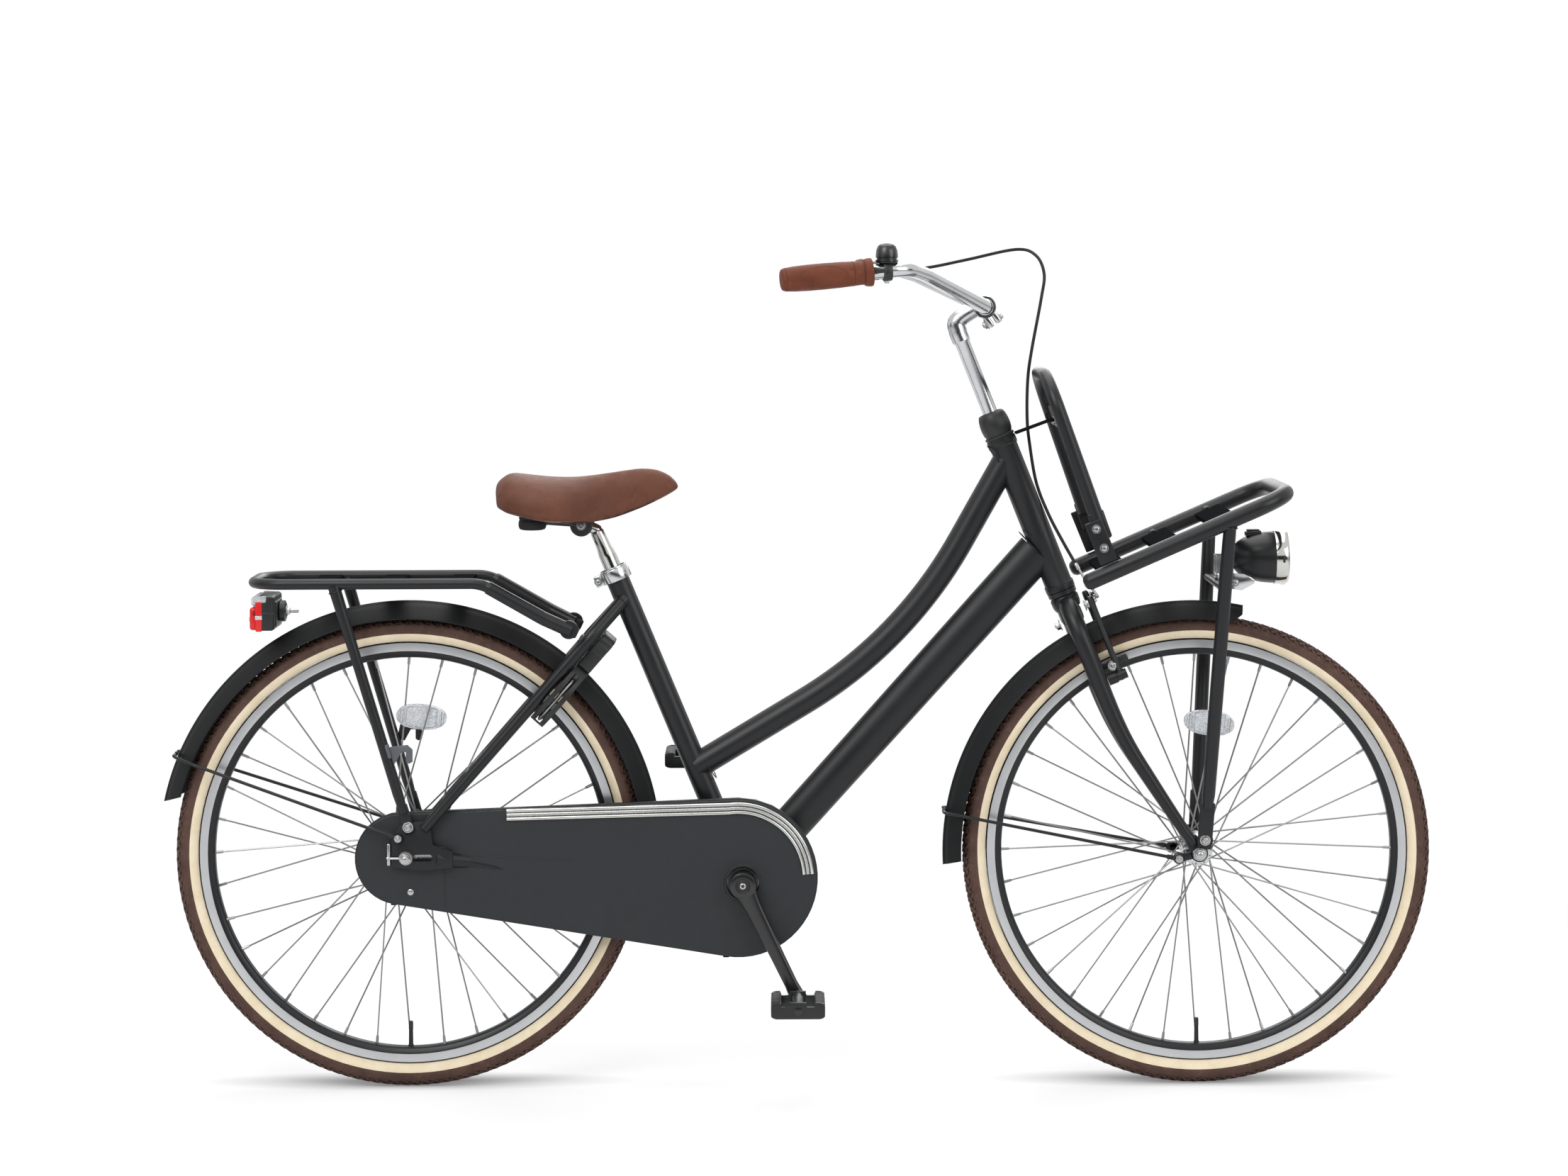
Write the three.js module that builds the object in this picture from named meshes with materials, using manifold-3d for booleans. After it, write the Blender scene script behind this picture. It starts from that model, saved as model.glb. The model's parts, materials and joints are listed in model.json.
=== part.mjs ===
// Dutch city bicycle. Millimetres, +Z up, X from the rear hub to the front hub, +Y to the left side.
import * as THREE from 'three';
import { mergeVertices } from 'three/addons/utils/BufferGeometryUtils.js';
import Module from 'manifold-3d';

const wasm = await Module();
wasm.setup();

// General fits
const fit = 0.3;
const overrun = 6;

// Counts and angles
const wheelSegments = 36;
const spokesPerFlange = 18;
const spokeCrossAngle = 60;
const tubeSides = 10;
const roundSides = 12;
const rodSides = 8;
const wireSides = 6;
const spokeSides = 3;
const chainSides = 16;
const caseSides = 28;
const pedalCornerSides = 4;
const bendAngle = 30;
const longBendAngle = 7;

// Wheels
const tyreRadius = 353;
const tyreHalfWidth = 21;
const rimOuterRadius = 316.7;
const rimHalfWidth = 12;
const rimInnerHalfWidth = 6.5;
const brakeTrackDepth = 13.9;
const rimDepth = 23.3;
const wheelbase = 1186;
const spokeRadius = 1.1;
const spokeStagger = 1.6;
const spokeRimStagger = 1.2;
const spokeRimOffset = 3;
const flangeHalfThickness = 2.8;
const spokeHoleInset = 4;
const valveRadius = 3;
const valveLength = 42;
const axleRadius = 4.7;
const axleNutRadius = 8.5;
const axleNutThickness = 9;
const axleEnd = 5;
const locknutRadius = 9;
const locknutThickness = 5;
const tyreShares = [[0, 0.5], [0.36, 1], [0.78, 0.8], [1, 0.26]];

// Front hub
const frontFlangeRadius = 22.5;
const frontFlangeOut = 32;
const frontBarrelRadius = 15;
const frontCapRadius = 13;
const frontHubHalf = 44;
const frontDropoutInner = 50;

// Rear coaster hub
const rearFlangeRadius = 35;
const rearFlangeOut = 29;
const rearBarrelRadius = 25;
const rearCapRadius = 18;
const rearHubRight = 33.2;
const rearHubLeft = 52;
const rearDropoutInner = 60;

// Spoke reflectors
const reflectorLength = 77;
const reflectorHeight = 39;
const reflectorThickness = 12;
const reflectorRearPlace = 204;
const reflectorFrontPlace = 190;
const reflectorClipRadius = 4.5;
const reflectorRearAngle = 85;
const reflectorFrontAngle = 83.5;

// Frame
const bottomBracketAhead = 503;
const bottomBracketDrop = 42;
const seatTubeAngle = 67.4;
const seatTubeLength = 506;
const seatTubeRadius = 17.5;
const seatpostRadius = 13;
const shellRadius = 21;
const shellHalfWidth = 34;
const bracketAxleRadius = 8.5;
const bracketAxleHalf = 62;
const headAngle = 68.5;
const forkRake = 44.2;
const headTubeStart = 437.7;
const headTubeLength = 243.9;
const headTubeRadius = 21;
const steererRadius = 14.3;
const topTubeRadius = 20;
const topTubeSeatPlace = 182.5;
const topTubeHeadPlace = 653.7;
const topTubeBendAhead = 244;
const topTubeBendRise = 356;
const topTubeBendRadius = 660;
const downTubeHeadPlace = 510.8;
const downTubeStartGap = 14;
const downTubeEndGap = 8;
const downTubeLowerHalf = 28;
const downTubeUpperHalf = 31;
const downTubeLowerWidth = 20;
const downTubeUpperWidth = 23;

// Stays and dropouts
const seatstayRadius = 10;
const seatstayTopPlace = 459;
const seatstayTopOut = 10.3;
const seatstayLugShare = 0.2;
const seatstayBendAhead = 278;
const seatstayBendRise = 328;
const seatstayBendOut = 44;
const seatstayBendRadius = 60;
const seatstayFootAhead = 27;
const seatstayFootRise = 43;
const seatstayFootOut = 63.5;
const seatstayBridgeRadius = 7;
const chainstayFrontRadius = 11;
const chainstayRearRadius = 8;
const chainstayFrontOut = 22;
const chainstayMidAhead = 400;
const chainstayMidDrop = 35;
const chainstayMidOut = 28;
const chainstayKneeAhead = 96;
const chainstayKneeDrop = 9;
const chainstayKneeOut = 43;
const chainstayEndAhead = 44;
const chainstayEndDrop = 2;
const chainstayEndOut = 58;
const chainstayBridgeRadius = 7;
const dropoutThickness = 5;
const dropoutFront = 70;
const dropoutRise = 55;
const dropoutFall = 19;
const slotHalfHeight = 5.2;
const slotFrontReach = 6;
const eyeletRadius = 10;
const rackEyeletAhead = 4;
const rackEyeletRise = 47;
const stayEyeletBehind = 11;
const stayEyeletRise = 30;
const stayEyeletRadius = 7;
const tensionerReach = 28;
const tensionerThickness = 5.5;
const tensionerHalfHeight = 17;
const washerRadius = 11;
const washerThickness = 4;
const clipShare = 0.22;
const clipHalf = 7;
const dropoutShares = [[1, 0.16], [0.57, 0.35], [0.54, 0.71], [0.43, 1], [-0.09, 0.93], [-0.31, 0.58],
  [-0.31, -0.68], [0.29, -1], [1, -0.79]];

// Seat collar
const collarWall = 4;
const collarHeight = 18;
const collarLip = 3;
const collarEarReach = 14;
const collarEarThickness = 5;
const collarSlit = 3;
const collarBoltRadius = 3;

// Chain drive
const caseOuterSide = 51.5;
const caseInnerSide = 36;
const caseWall = 2;
const caseFrontRadius = 118;
const caseFrontBehind = 7;
const caseFrontRise = 8;
const caseRearRadius = 68;
const caseRearBehind = 9;
const caseRearDrop = 3;
const caseCrankHole = 24;
const caseHubHole = 21;
const caseSlotFront = 60;
const caseSlotRear = 12;
const caseSlotHalf = 14;
const trimInset = 17;
const trimSkin = 1.2;
const trimStand = 1.5;
const trimRidge = 0.9;
const trimShares = [0.8, 0.55, 0.42, 0.3];
const trimStartShare = 0.3;
const trimEndAngle = 3;
const trimDepth = 12;
const chainRightSide = 43;
const chainHalfWidth = 3.9;
const chainHalfHeight = 4.3;
const chainGrooveHalf = 1.9;
const chainringPitchRadius = 89;
const sprocketPitchRadius = 44.6;
const toothTip = 1;
const chainGrooveTeeth = 2.5;
const sprocketThickness = 3;
const driverRadius = 16;
const driverEnd = 48;
const crankLength = 185;
const crankBossRadius = 20;
const crankBossInner = 58.3;
const crankBossOuter = 78;
const crankNeckRadius = 16;
const crankArmMid = 70;
const crankArmEnd = 75;
const crankWideStart = 26;
const crankWideEnd = 20;
const crankDeepStart = 15;
const crankDeepEnd = 12;
const crankEyeRadius = 12;
const crankCapRadius = 8;
const crankCapHeight = 2;
const crankWaist = 0.35;
const crankWrist = 0.8;
const crankAngle = -64;
const pedalInner = 84;
const pedalWidth = 93;
const pedalLength = 80;
const pedalHeight = 25;
const pedalBarrelRadius = 11;
const pedalEndPlate = 6;
const pedalBarDepth = 16;
const pedalAxleRadius = 4.5;
const pedalBoreRadius = 5.1;
const pedalStep = 3;

// Rear fender
const fenderRadius = 379.5;
const fenderHalfWidth = 29.5;
const fenderDrop = 24;
const fenderWall = 1.6;
const fenderRearAngle = 168.3;
const fenderRearEndAngle = -6;
const fenderSteps = 14;
const fenderShares = [[-1, 1], [-0.3, 0.9], [0, 0.36]];
const fenderStayRadius = 2.5;
const fenderStayOut = 34;
const fenderStayAngle = 157;
const fenderStayEdge = 350;
const fenderStayBend = 8;

// Rear rack and light
const rackRadius = 8;
const rackOut = 78;
const rackRise = 410.5;
const rackRear = 229.6;
const rackCornerRadius = 50;
const rackKneeAhead = 115;
const rackDropAhead = 208;
const rackDropRise = 357.4;
const rackLugAhead = 247;
const rackLugRise = 338.7;
const rackLugOut = 64;
const rackKneeRadius = 60;
const rackSlatWidth = 34;
const rackSlatThickness = 4;
const rackStrutBehind = 103;
const rackStrutFootOut = 69;
const rackStrutFlat = 3;
const rackStrutFlatWide = 9;
const rackHookRise = 160;
const rackHookReach = 50;
const rackHookHeight = 26;
const rackHookThickness = 4;
const rackSlatPlaceShares = [-0.544, -0.105, 0.344];
const strutFlatStart = 0.1;
const strutFlatFull = 0.03;
const strutTipShare = 0.7;
const rackHookShares = [[0, 0.1], [0.12, 0.9], [0.8, 1], [1, 0.75], [1, 0.1], [0.86, 0], [0.74, 0.1],
  [0.74, 0.62],
  [0.55, 0.62], [0.3, 0]];
const lugBoltRadius = 6;
const lugBoltLength = 12;
const lugReach = 4;
const lightRear = 236;
const lightFront = 194;
const lightLensDepth = 10;
const lightHalfWidth = 50;
const lightTopRise = 392;
const lightHeight = 53;
const lightEarHalf = 14;
const lightEarThickness = 12;

// Ring lock
const lockCentre = 330;
const lockInnerRadius = 52.5;
const lockOuterRadius = 64;
const lockHalfThickness = 12;
const lockGapAngle = 34;
const lockBoltRing = 57.5;
const lockBoltRadius = 3.4;
const lockBoltPlay = 0.7;
const lockBoltSweep = 96;
const lockHousingTop = 445;
const lockHousingHalf = 40;
const lockHousingInset = 8;
const lockKnobReach = 14;
const lockKnobRadius = 3;
const lockKnobPlay = 1;
const lockTravelAngle = 84;
const lockChannelSlack = 4;

// Fork
const forkCrownPlace = 418;
const forkHalfWidth = 52;
const forkLegRadius = 14;
const steererEnd = 715;
const steererBore = 11.3;
const forkTipThickness = 5;
const forkTipRadius = 12;
const forkEyeletBehind = 31;
const forkEyeletDrop = 7;
const forkStrutEyeletAhead = 7.6;
const forkStrutEyeletRise = 21;
const brakeStudPlace = 290;
const brakeStudForward = 34;
const brakeStudOut = 40;
const brakeBossRadius = 7;
const brakeStudRadius = 4;
const forkShares = [[1, 0, 0.15, 1], [0.965, 0, 0.6, 1], [0.91, 0, 0.88, 1], [0.82, 0, 1, 1],
  [0.6, 0, 1, 0.93], [0.4545, 0.11, 1, 0.84], [0.314, 0.364, 1, 0.75],
  [0.134, 0.722, 1, 0.64], [0.04, 0.94, 1, 0.6]];

// Headset, stem and bar
const headsetRadius = 23;
const headsetHeight = 42;
const headsetNeckRadius = 16.5;
const headsetNeckPlace = 19;
const headsetNeckHeight = 4;
const headsetTopRadius = 20;
const stemRadius = 14;
const stemTopPlace = 866;
const stemPlugRadius = 11;
const stemPlugLength = 60;
const clampAhead = 43;
const clampRise = 29;
const clampRadius = 17;
const clampHalfLength = 20;
const stemArmRadius = 13;
const stemBoltRadius = 4;
const stemBoltReach = 26;
const barRadius = 11.1;
const barSleeveRadius = 12.7;
const barSleeveHalf = 26;
const barReach = 303;
const barHalfWidth = 285;
const barRise = 53.6;
const barFirstBend = 30;
const barMiddleBend = 120;
const barGripBend = 38;
const barShares = [[0, 0.119, 0], [0.32, 0.667, 0.914], [0.409, 0.884, 1.08], [1, 1, 0.797]];
const gripLength = 130;
const gripRadius = 19;
const gripCollarRadius = 21;
const gripCollarLength = 10;
const gripEndCap = 4;
const gripShares = [[0, 0.9], [0.3, 0.97], [0.62, 1], [0.9, 0.93], [1, 0.8]];

// Bell and brake lever
const bellPlace = 20;
const bellClampWidth = 12;
const bellClampRadius = 15;
const bellRadius = 16.5;
const bellLift = 12;
const bellHeight = 28;
const bellShares = [[0, 0], [0.96, 0], [1, 0.25], [0.9, 0.6], [0.6, 0.88], [0.2, 1], [0, 1]];
const bellPostRadius = 4;
const bellLeverReach = 22;
const bellLeverRadius = 3;
const leverClampPlace = 14;
const leverClampWidth = 14;
const leverPivotAhead = 16;
const leverPivotOut = 31;
const leverPivotRadius = 7;
const leverPivotHeight = 14;
const leverBladeLength = 150;
const leverBladeAngle = 18;
const leverBladeWide = 8;
const leverBladeThick = 5;
const leverPinRadius = 2.5;

// Front rim brake
const armThickness = 10;
const armTopPlace = 412;
const armTopOut = 47;
const armPivotRadius = 8;
const armTopRadius = 6;
const padLength = 52;
const padHeight = 8;
const padDrop = 2.5;
const padDepth = 10;
const padGap = 1.5;
const padPostRadius = 3.5;
const cableRadius = 2.5;
const cableSteps = 26;
const cablePlaces = [
  [801.4, 262, 1232], [858.4, 222, 1243.8], [928.4, 150, 1258.7],
  [956.3, 110, 1249.6], [967.5, 85, 1221.2], [961.5, 65, 1183.3],
  [945.7, 45, 1108], [938.6, 38, 1061.8], [936.7, 30, 1002.8],
  [940.1, 20, 963.5], [952.4, 0, 906.7], [961, -5, 889.6],
  [986, -25, 826.4]];
const linkForward = 43;

// Front fender
const frontFenderRadius = 378;
const frontFenderBack = 4;
const frontFenderDrop = 4;
const frontFenderStart = 78.2;
const frontFenderEnd = 182.9;
const frontFenderSteps = 10;
const frontStayAngle = 170.5;
const frontStayEdge = 358;

// Front carrier
const carrierRadius = 12.5;
const carrierOut = 128;
const carrierRearBehind = 167.2;
const carrierRearRise = 414.3;
const carrierSlope = 23.3;
const carrierLength = 320;
const carrierCornerRadius = 50;
const carrierSlatWidth = 40;
const carrierSlatThickness = 5;
const carrierStrutRadius = 8;
const carrierStrutTopAhead = 39.6;
const carrierStrutFootOut = 59;
const carrierBarRise = 401;
const carrierBarRadius = 6;
const carrierSlatPlaceShares = [0.125, 0.403, 0.684];
const hoopRadius = 10;
const hoopOut = 118;
const hoopFootBehind = 150.5;
const hoopFootRise = 488.5;
const hoopTopBehind = 229.6;
const hoopTopRise = 717.4;
const hoopCornerRadius = 60;
const strapWidth = 28;
const strapThickness = 4;
const strapTopShare = 0.06;
const strapFootAhead = 18;
const plateHeight = 34;
const plateThickness = 3;
const plateShare = 0.705;
const headStripHalf = 11;

// Headlamp
const lampRearAhead = 55;
const lampRise = 438.6;
const lampLength = 72;
const lampRadius = 39;
const lampBezelRadius = 40.5;
const lampBezelDepth = 12.6;
const lampWall = 2.5;
const lampLensRadius = 36;
const lampLensThickness = 3;
const lampLensDome = 4;
const lampBossRadius = 7;
const lampBossHalf = 9;
const lampBezelStraight = 0.7;
const lampPinRadius = 3;
const lampEarThickness = 3;
const lampEarRadius = 8;
const switchAhead = 34;
const switchLength = 20;
const switchHalfWidth = 6;
const switchHeight = 3;
const switchSeat = 4;
const switchTravel = 1.5;
const lampShares = [[0, 0.26], [0.1, 0.5], [0.3, 0.8], [0.6, 0.96], [1, 1]];

// Seat
const seatpostInside = 150;
const seatClampAhead = 262;
const seatClampRise = 493;
const seatpostTopAhead = 282;
const seatpostTopRise = 492;
const seatClampRadius = 15;
const seatClampHalf = 30;
const seatBoltRadius = 8;
const seatBoltHalf = 34;
const railRadius = 3.5;
const railOut = 22;
const railBend = 12;
const railFrontAhead = 335;
const railFrontOut = 14;
const railFrontRise = 529;
const saddleRear = 131;
const saddleLength = 275;
const saddleLow = 499;
const saddleHeight = 78;
const saddleHalfWidth = 100;
const saddleBaseShare = 0.86;
const saddleBaseRise = 12;
const saddleBaseThickness = 8;
const saddleRoomShare = 0.03;
const coverBulge = 0.55;
const baseBulge = 0.3;
const roomBulge = 0.1;
const elastomerRadius = 17;
const elastomerAhead = 192;
const elastomerOut = 48;
const elastomerLow = 489;
const saddleSides = 12;
const saddleShares = [[0, 0.55, 0.58, 0.3], [0.025, 0.33, 0.8, 0.58], [0.08, 0.23, 0.92, 0.8],
  [0.17, 0.13, 0.91, 0.97],
  [0.3, 0.06, 0.85, 0.98], [0.43, 0.02, 0.82, 0.8], [0.55, 0.02, 0.87, 0.5], [0.68, 0.13, 0.93, 0.33],
  [0.8, 0.25, 0.97, 0.27], [0.9, 0.4, 0.985, 0.23], [0.965, 0.54, 0.88, 0.17], [1, 0.63, 0.76, 0.08]];

const axleHeight = tyreRadius;
const rimInnerRadius = rimOuterRadius - rimDepth;
const sides = [-1, 1];

const point = (x, y, z) => new THREE.Vector3(x, y, z);
const rear = (ahead, out, rise) => point(ahead, out, axleHeight + rise);
const front = (ahead, out, rise) => point(wheelbase + ahead, out, axleHeight + rise);
const radians = THREE.MathUtils.degToRad;
const across = point(0, 1, 0);
const upward = point(0, 0, 1);

const seatLine = point(-Math.cos(radians(seatTubeAngle)), 0, Math.sin(radians(seatTubeAngle)));
const bracket = rear(bottomBracketAhead, 0, -bottomBracketDrop);
const onSeatTube = (place) => bracket.clone().addScaledVector(seatLine, place);

// The steering line: up along it, forward square to it, from its foot beside the front hub.
const headLine = point(-Math.cos(radians(headAngle)), 0, Math.sin(radians(headAngle)));
const headForward = point(headLine.z, 0, -headLine.x);
const headFoot = front(0, 0, 0).addScaledVector(headForward, -forkRake);
const steer = (forward, out, place) => {
  const at = headFoot.clone().addScaledVector(headForward, forward).addScaledVector(headLine, place);
  return at.setY(out);
};

// A closed geometry becomes a solid with its faces pointing out.
function solid(geometry) {
  const bare = geometry.clone();
  bare.deleteAttribute('normal');
  bare.deleteAttribute('uv');
  const merged = mergeVertices(bare);
  const spots = merged.attributes.position.array;
  const corner = (n) => point(spots[3 * n], spots[3 * n + 1], spots[3 * n + 2]);
  const faces = [];
  let volume = 0;
  for (let n = 0; n < merged.index.count; n += 3) {
    const [a, b, c] = merged.index.array.slice(n, n + 3);
    if (a === b || b === c || c === a) continue;
    faces.push([a, b, c]);
    volume += corner(a).dot(corner(b).cross(corner(c)));
  }
  const outward = volume < 0 ? faces.map(([a, b, c]) => [a, c, b]) : faces;
  return new wasm.Manifold(new wasm.Mesh({
    numProp: 3,
    vertProperties: new Float32Array(spots),
    triVerts: new Uint32Array(outward.flat()),
  }));
}

function geometryOf(body) {
  const mesh = body.getMesh();
  const geometry = new THREE.BufferGeometry();
  geometry.setAttribute('position', new THREE.BufferAttribute(mesh.vertProperties, 3));
  geometry.setIndex(new THREE.BufferAttribute(mesh.triVerts, 1));
  geometry.computeVertexNormals();
  return geometry;
}

const join = (...bodies) => bodies.reduce((whole, body) => whole.add(body));
const cut = (body, ...tools) => tools.reduce((rest, tool) => rest.subtract(tool), body);

// A run of straight and bent lengths, held as stations with a point and a direction each.
class RoutedPath extends THREE.Curve {
  constructor(stations, side) {
    super();
    this.stations = stations;
    this.side = side;
  }

  station(t) {
    return this.stations[Math.round(t * (this.stations.length - 1))];
  }

  getPoint(t) {
    return this.station(t).at.clone();
  }

  getPointAt(t) {
    return this.getPoint(t);
  }

  computeFrenetFrames() {
    const tangents = this.stations.map((station) => station.along.clone().normalize());
    const normals = [];
    const binormals = [];
    let side = this.side.clone();
    tangents.forEach((tangent, n) => {
      if (n > 0) {
        const turnBy = new THREE.Quaternion().setFromUnitVectors(tangents[n - 1], tangent);
        side.applyQuaternion(turnBy);
      }
      side = side.clone().addScaledVector(tangent, -side.dot(tangent)).normalize();
      binormals.push(side.clone());
      normals.push(side.clone().cross(tangent));
    });
    return { tangents, normals, binormals };
  }
}

const heading = (from, to) => to.clone().sub(from).normalize();

// Straight lengths between corners, with a round bend at each corner between the ends.
function bentRoute(corners, radii, stepAngle = bendAngle) {
  const stations = [{ at: corners[0], along: heading(corners[0], corners[1]) }];
  for (let n = 1; n < corners.length - 1; n += 1) {
    const before = heading(corners[n - 1], corners[n]);
    const after = heading(corners[n], corners[n + 1]);
    const angle = before.angleTo(after);
    const radius = Array.isArray(radii) ? radii[n - 1] : radii;
    const inward = after.clone().sub(before).normalize();
    const centre = corners[n].clone().addScaledVector(inward, radius / Math.cos(angle / 2));
    const axis = before.clone().cross(after).normalize();
    const start = corners[n].clone().addScaledVector(before, -radius * Math.tan(angle / 2)).sub(centre);
    const steps = Math.max(2, Math.ceil(angle / radians(stepAngle)));
    for (let step = 0; step <= steps; step += 1) {
      const turnBy = angle * step / steps;
      const at = start.clone().applyAxisAngle(axis, turnBy).add(centre);
      stations.push({ at, along: before.clone().applyAxisAngle(axis, turnBy) });
    }
  }
  const last = corners.length - 1;
  stations.push({ at: corners[last], along: heading(corners[last - 1], corners[last]) });
  return stations;
}

function arcRoute(centre, radius, fromAngle, toAngle, steps) {
  const stations = [];
  for (let step = 0; step <= steps; step += 1) {
    const angle = radians(fromAngle + (toAngle - fromAngle) * step / steps);
    const out = point(Math.cos(angle), 0, Math.sin(angle));
    const along = point(-out.z, 0, out.x).multiplyScalar(Math.sign(toAngle - fromAngle));
    stations.push({ at: centre.clone().addScaledVector(out, radius), along });
  }
  return stations;
}

function sweep(stations, outline, side = across) {
  const shape = new THREE.Shape(outline.map(([a, b]) => new THREE.Vector2(a, b)));
  const extrudePath = new RoutedPath(stations, side);
  return solid(new THREE.ExtrudeGeometry(shape, { steps: stations.length - 1, extrudePath }));
}

function roundOutline(radius, count, from = 0, centre = [0, 0]) {
  return Array.from({ length: count }, (_, n) => {
    const angle = from + 2 * Math.PI * n / count;
    return [centre[0] + radius * Math.cos(angle), centre[1] + radius * Math.sin(angle)];
  });
}

const tube = (corners, radius, radii, count = tubeSides, stepAngle = bendAngle) =>
  sweep(bentRoute(corners, radii, stepAngle), roundOutline(radius, count));

function aimed(geometry, direction, origin) {
  const turnBy = new THREE.Quaternion().setFromUnitVectors(across, direction.clone().normalize());
  return geometry.applyQuaternion(turnBy).translate(origin.x, origin.y, origin.z);
}

// A straight round bar, or a cone when its two radii differ.
function rod(from, to, radius, count = rodSides, endRadius = radius) {
  const geometry = new THREE.CylinderGeometry(endRadius, radius, from.distanceTo(to), count);
  return solid(aimed(geometry, heading(from, to), from.clone().lerp(to, 0.5)));
}

// A turned body: profile points are radius and place along the axis, closed round a bore.
function turned(profile, count, direction = across, origin = point(0, 0, 0)) {
  const points = profile.map(([radius, place]) => new THREE.Vector2(radius, place));
  const onAxis = points[0].x === 0 && points[points.length - 1].x === 0;
  if (!onAxis) points.push(points[0].clone());
  return solid(aimed(new THREE.LatheGeometry(points, count), direction, origin));
}

function block(centre, length, width, height) {
  const geometry = new THREE.BoxGeometry(length, width, height);
  return solid(geometry.translate(centre.x, centre.y, centre.z));
}

// A flat plate with an outline in X and Z, reaching across from one side to the other.
function plate(outline, fromSide, toSide) {
  const shape = new THREE.Shape(outline.map(([a, b]) => new THREE.Vector2(a, b)));
  const depth = toSide - fromSide;
  const geometry = new THREE.ExtrudeGeometry(shape, { depth, bevelEnabled: false });
  return solid(geometry.rotateX(Math.PI / 2).translate(0, toSide, 0));
}

// The outline that goes tightly round some circles, each with a centre and a radius.
function wrap(circles, count = rodSides) {
  const spots = circles.flatMap(([x, z, radius]) => roundOutline(radius, count, 0, [x, z]));
  spots.sort((a, b) => a[0] - b[0] || a[1] - b[1]);
  const turnOf = (o, a, b) => (a[0] - o[0]) * (b[1] - o[1]) - (a[1] - o[1]) * (b[0] - o[0]);
  const half = (list) => {
    const chain = [];
    for (const spot of list) {
      while (chain.length > 1 && turnOf(chain[chain.length - 2], chain[chain.length - 1], spot) <= 0) {
        chain.pop();
      }
      chain.push(spot);
    }
    return chain.slice(0, -1);
  };
  return [...half(spots), ...half(spots.reverse())];
}

// A body through matching rings of points, closed by a fan at each end.
function loft(rings) {
  const count = rings[0].length;
  const spots = rings.flat().flatMap((spot) => [spot.x, spot.y, spot.z]);
  const faces = [];
  for (let ring = 0; ring < rings.length - 1; ring += 1) {
    for (let n = 0; n < count; n += 1) {
      const a = ring * count + n;
      const b = ring * count + (n + 1) % count;
      faces.push(a, b, a + count, b, b + count, a + count);
    }
  }
  const last = (rings.length - 1) * count;
  for (let n = 1; n < count - 1; n += 1) {
    faces.push(0, n + 1, n, last, last + n, last + n + 1);
  }
  const geometry = new THREE.BufferGeometry();
  geometry.setAttribute('position', new THREE.Float32BufferAttribute(spots, 3));
  geometry.setIndex(faces);
  return solid(geometry);
}

// A limb through stations that give a point and two half sizes, in plane and to the side.
function limb(stations, count = tubeSides, side = across) {
  const rings = stations.map(({ at, half, out }, n) => {
    const before = stations[Math.max(n - 1, 0)].at;
    const after = stations[Math.min(n + 1, stations.length - 1)].at;
    const along = heading(before, after);
    const lateral = side.clone().addScaledVector(along, -side.dot(along)).normalize();
    const normal = lateral.clone().cross(along);
    return roundOutline(1, count).map(([a, b]) =>
      at.clone().addScaledVector(normal, a * half).addScaledVector(lateral, b * out));
  });
  return loft(rings);
}

const looks = {
  frame: { color: '#17181a', roughness: 0.42, metalness: 0.3 },
  case: { color: '#2f3336', roughness: 0.5, metalness: 0.1 },
  tyre: { color: '#4a2f26', roughness: 0.9, metalness: 0 },
  rim: { color: '#1b1b1d', roughness: 0.35, metalness: 0.6 },
  silver: { color: '#c8cacc', roughness: 0.28, metalness: 1 },
  steel: { color: '#9da0a3', roughness: 0.35, metalness: 1 },
  chrome: { color: '#dfe1e3', roughness: 0.12, metalness: 1 },
  leather: { color: '#7d4f3f', roughness: 0.6, metalness: 0 },
  grip: { color: '#7a3b22', roughness: 0.65, metalness: 0 },
  plastic: { color: '#141415', roughness: 0.5, metalness: 0 },
  gloss: { color: '#0b0b0c', roughness: 0.12, metalness: 0.2 },
  clear: { color: '#dfe6ea', roughness: 0.1, metalness: 0 },
  red: { color: '#a4161a', roughness: 0.15, metalness: 0 },
};

const bike = new THREE.Group();

function group(parent, at = point(0, 0, 0)) {
  const made = new THREE.Group();
  made.position.copy(at);
  parent.add(made);
  return made;
}

function piece(parent, name, body, look) {
  const mesh = new THREE.Mesh(geometryOf(body), new THREE.MeshStandardMaterial(looks[look]));
  mesh.name = name;
  parent.add(mesh);
  return mesh;
}

const frame = group(bike);
const steering = group(bike);
const rearHub = rear(0, 0, 0);
const frontHub = front(0, 0, 0);

// Wheels: every spoke leaves its flange and crosses three others on the way to the rim.
const mirrored = (half) => [...half, ...half.slice().reverse().map(([r, y]) => [r, -y])];

function tyre() {
  const start = rimOuterRadius + fit;
  const height = tyreRadius - start;
  const half = tyreShares.map(([up, out]) => [start + up * height, out * tyreHalfWidth]);
  return turned(mirrored(half), wheelSegments);
}

function rim() {
  const half = [[rimOuterRadius, rimHalfWidth], [rimOuterRadius - brakeTrackDepth, rimHalfWidth],
    [rimInnerRadius, rimInnerHalfWidth]];
  const top = point(0, 0, -rimInnerRadius - fit);
  const valve = rod(top, point(0, 0, -rimInnerRadius + valveLength), valveRadius, wireSides);
  return join(turned(mirrored(half), wheelSegments), valve);
}

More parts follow.
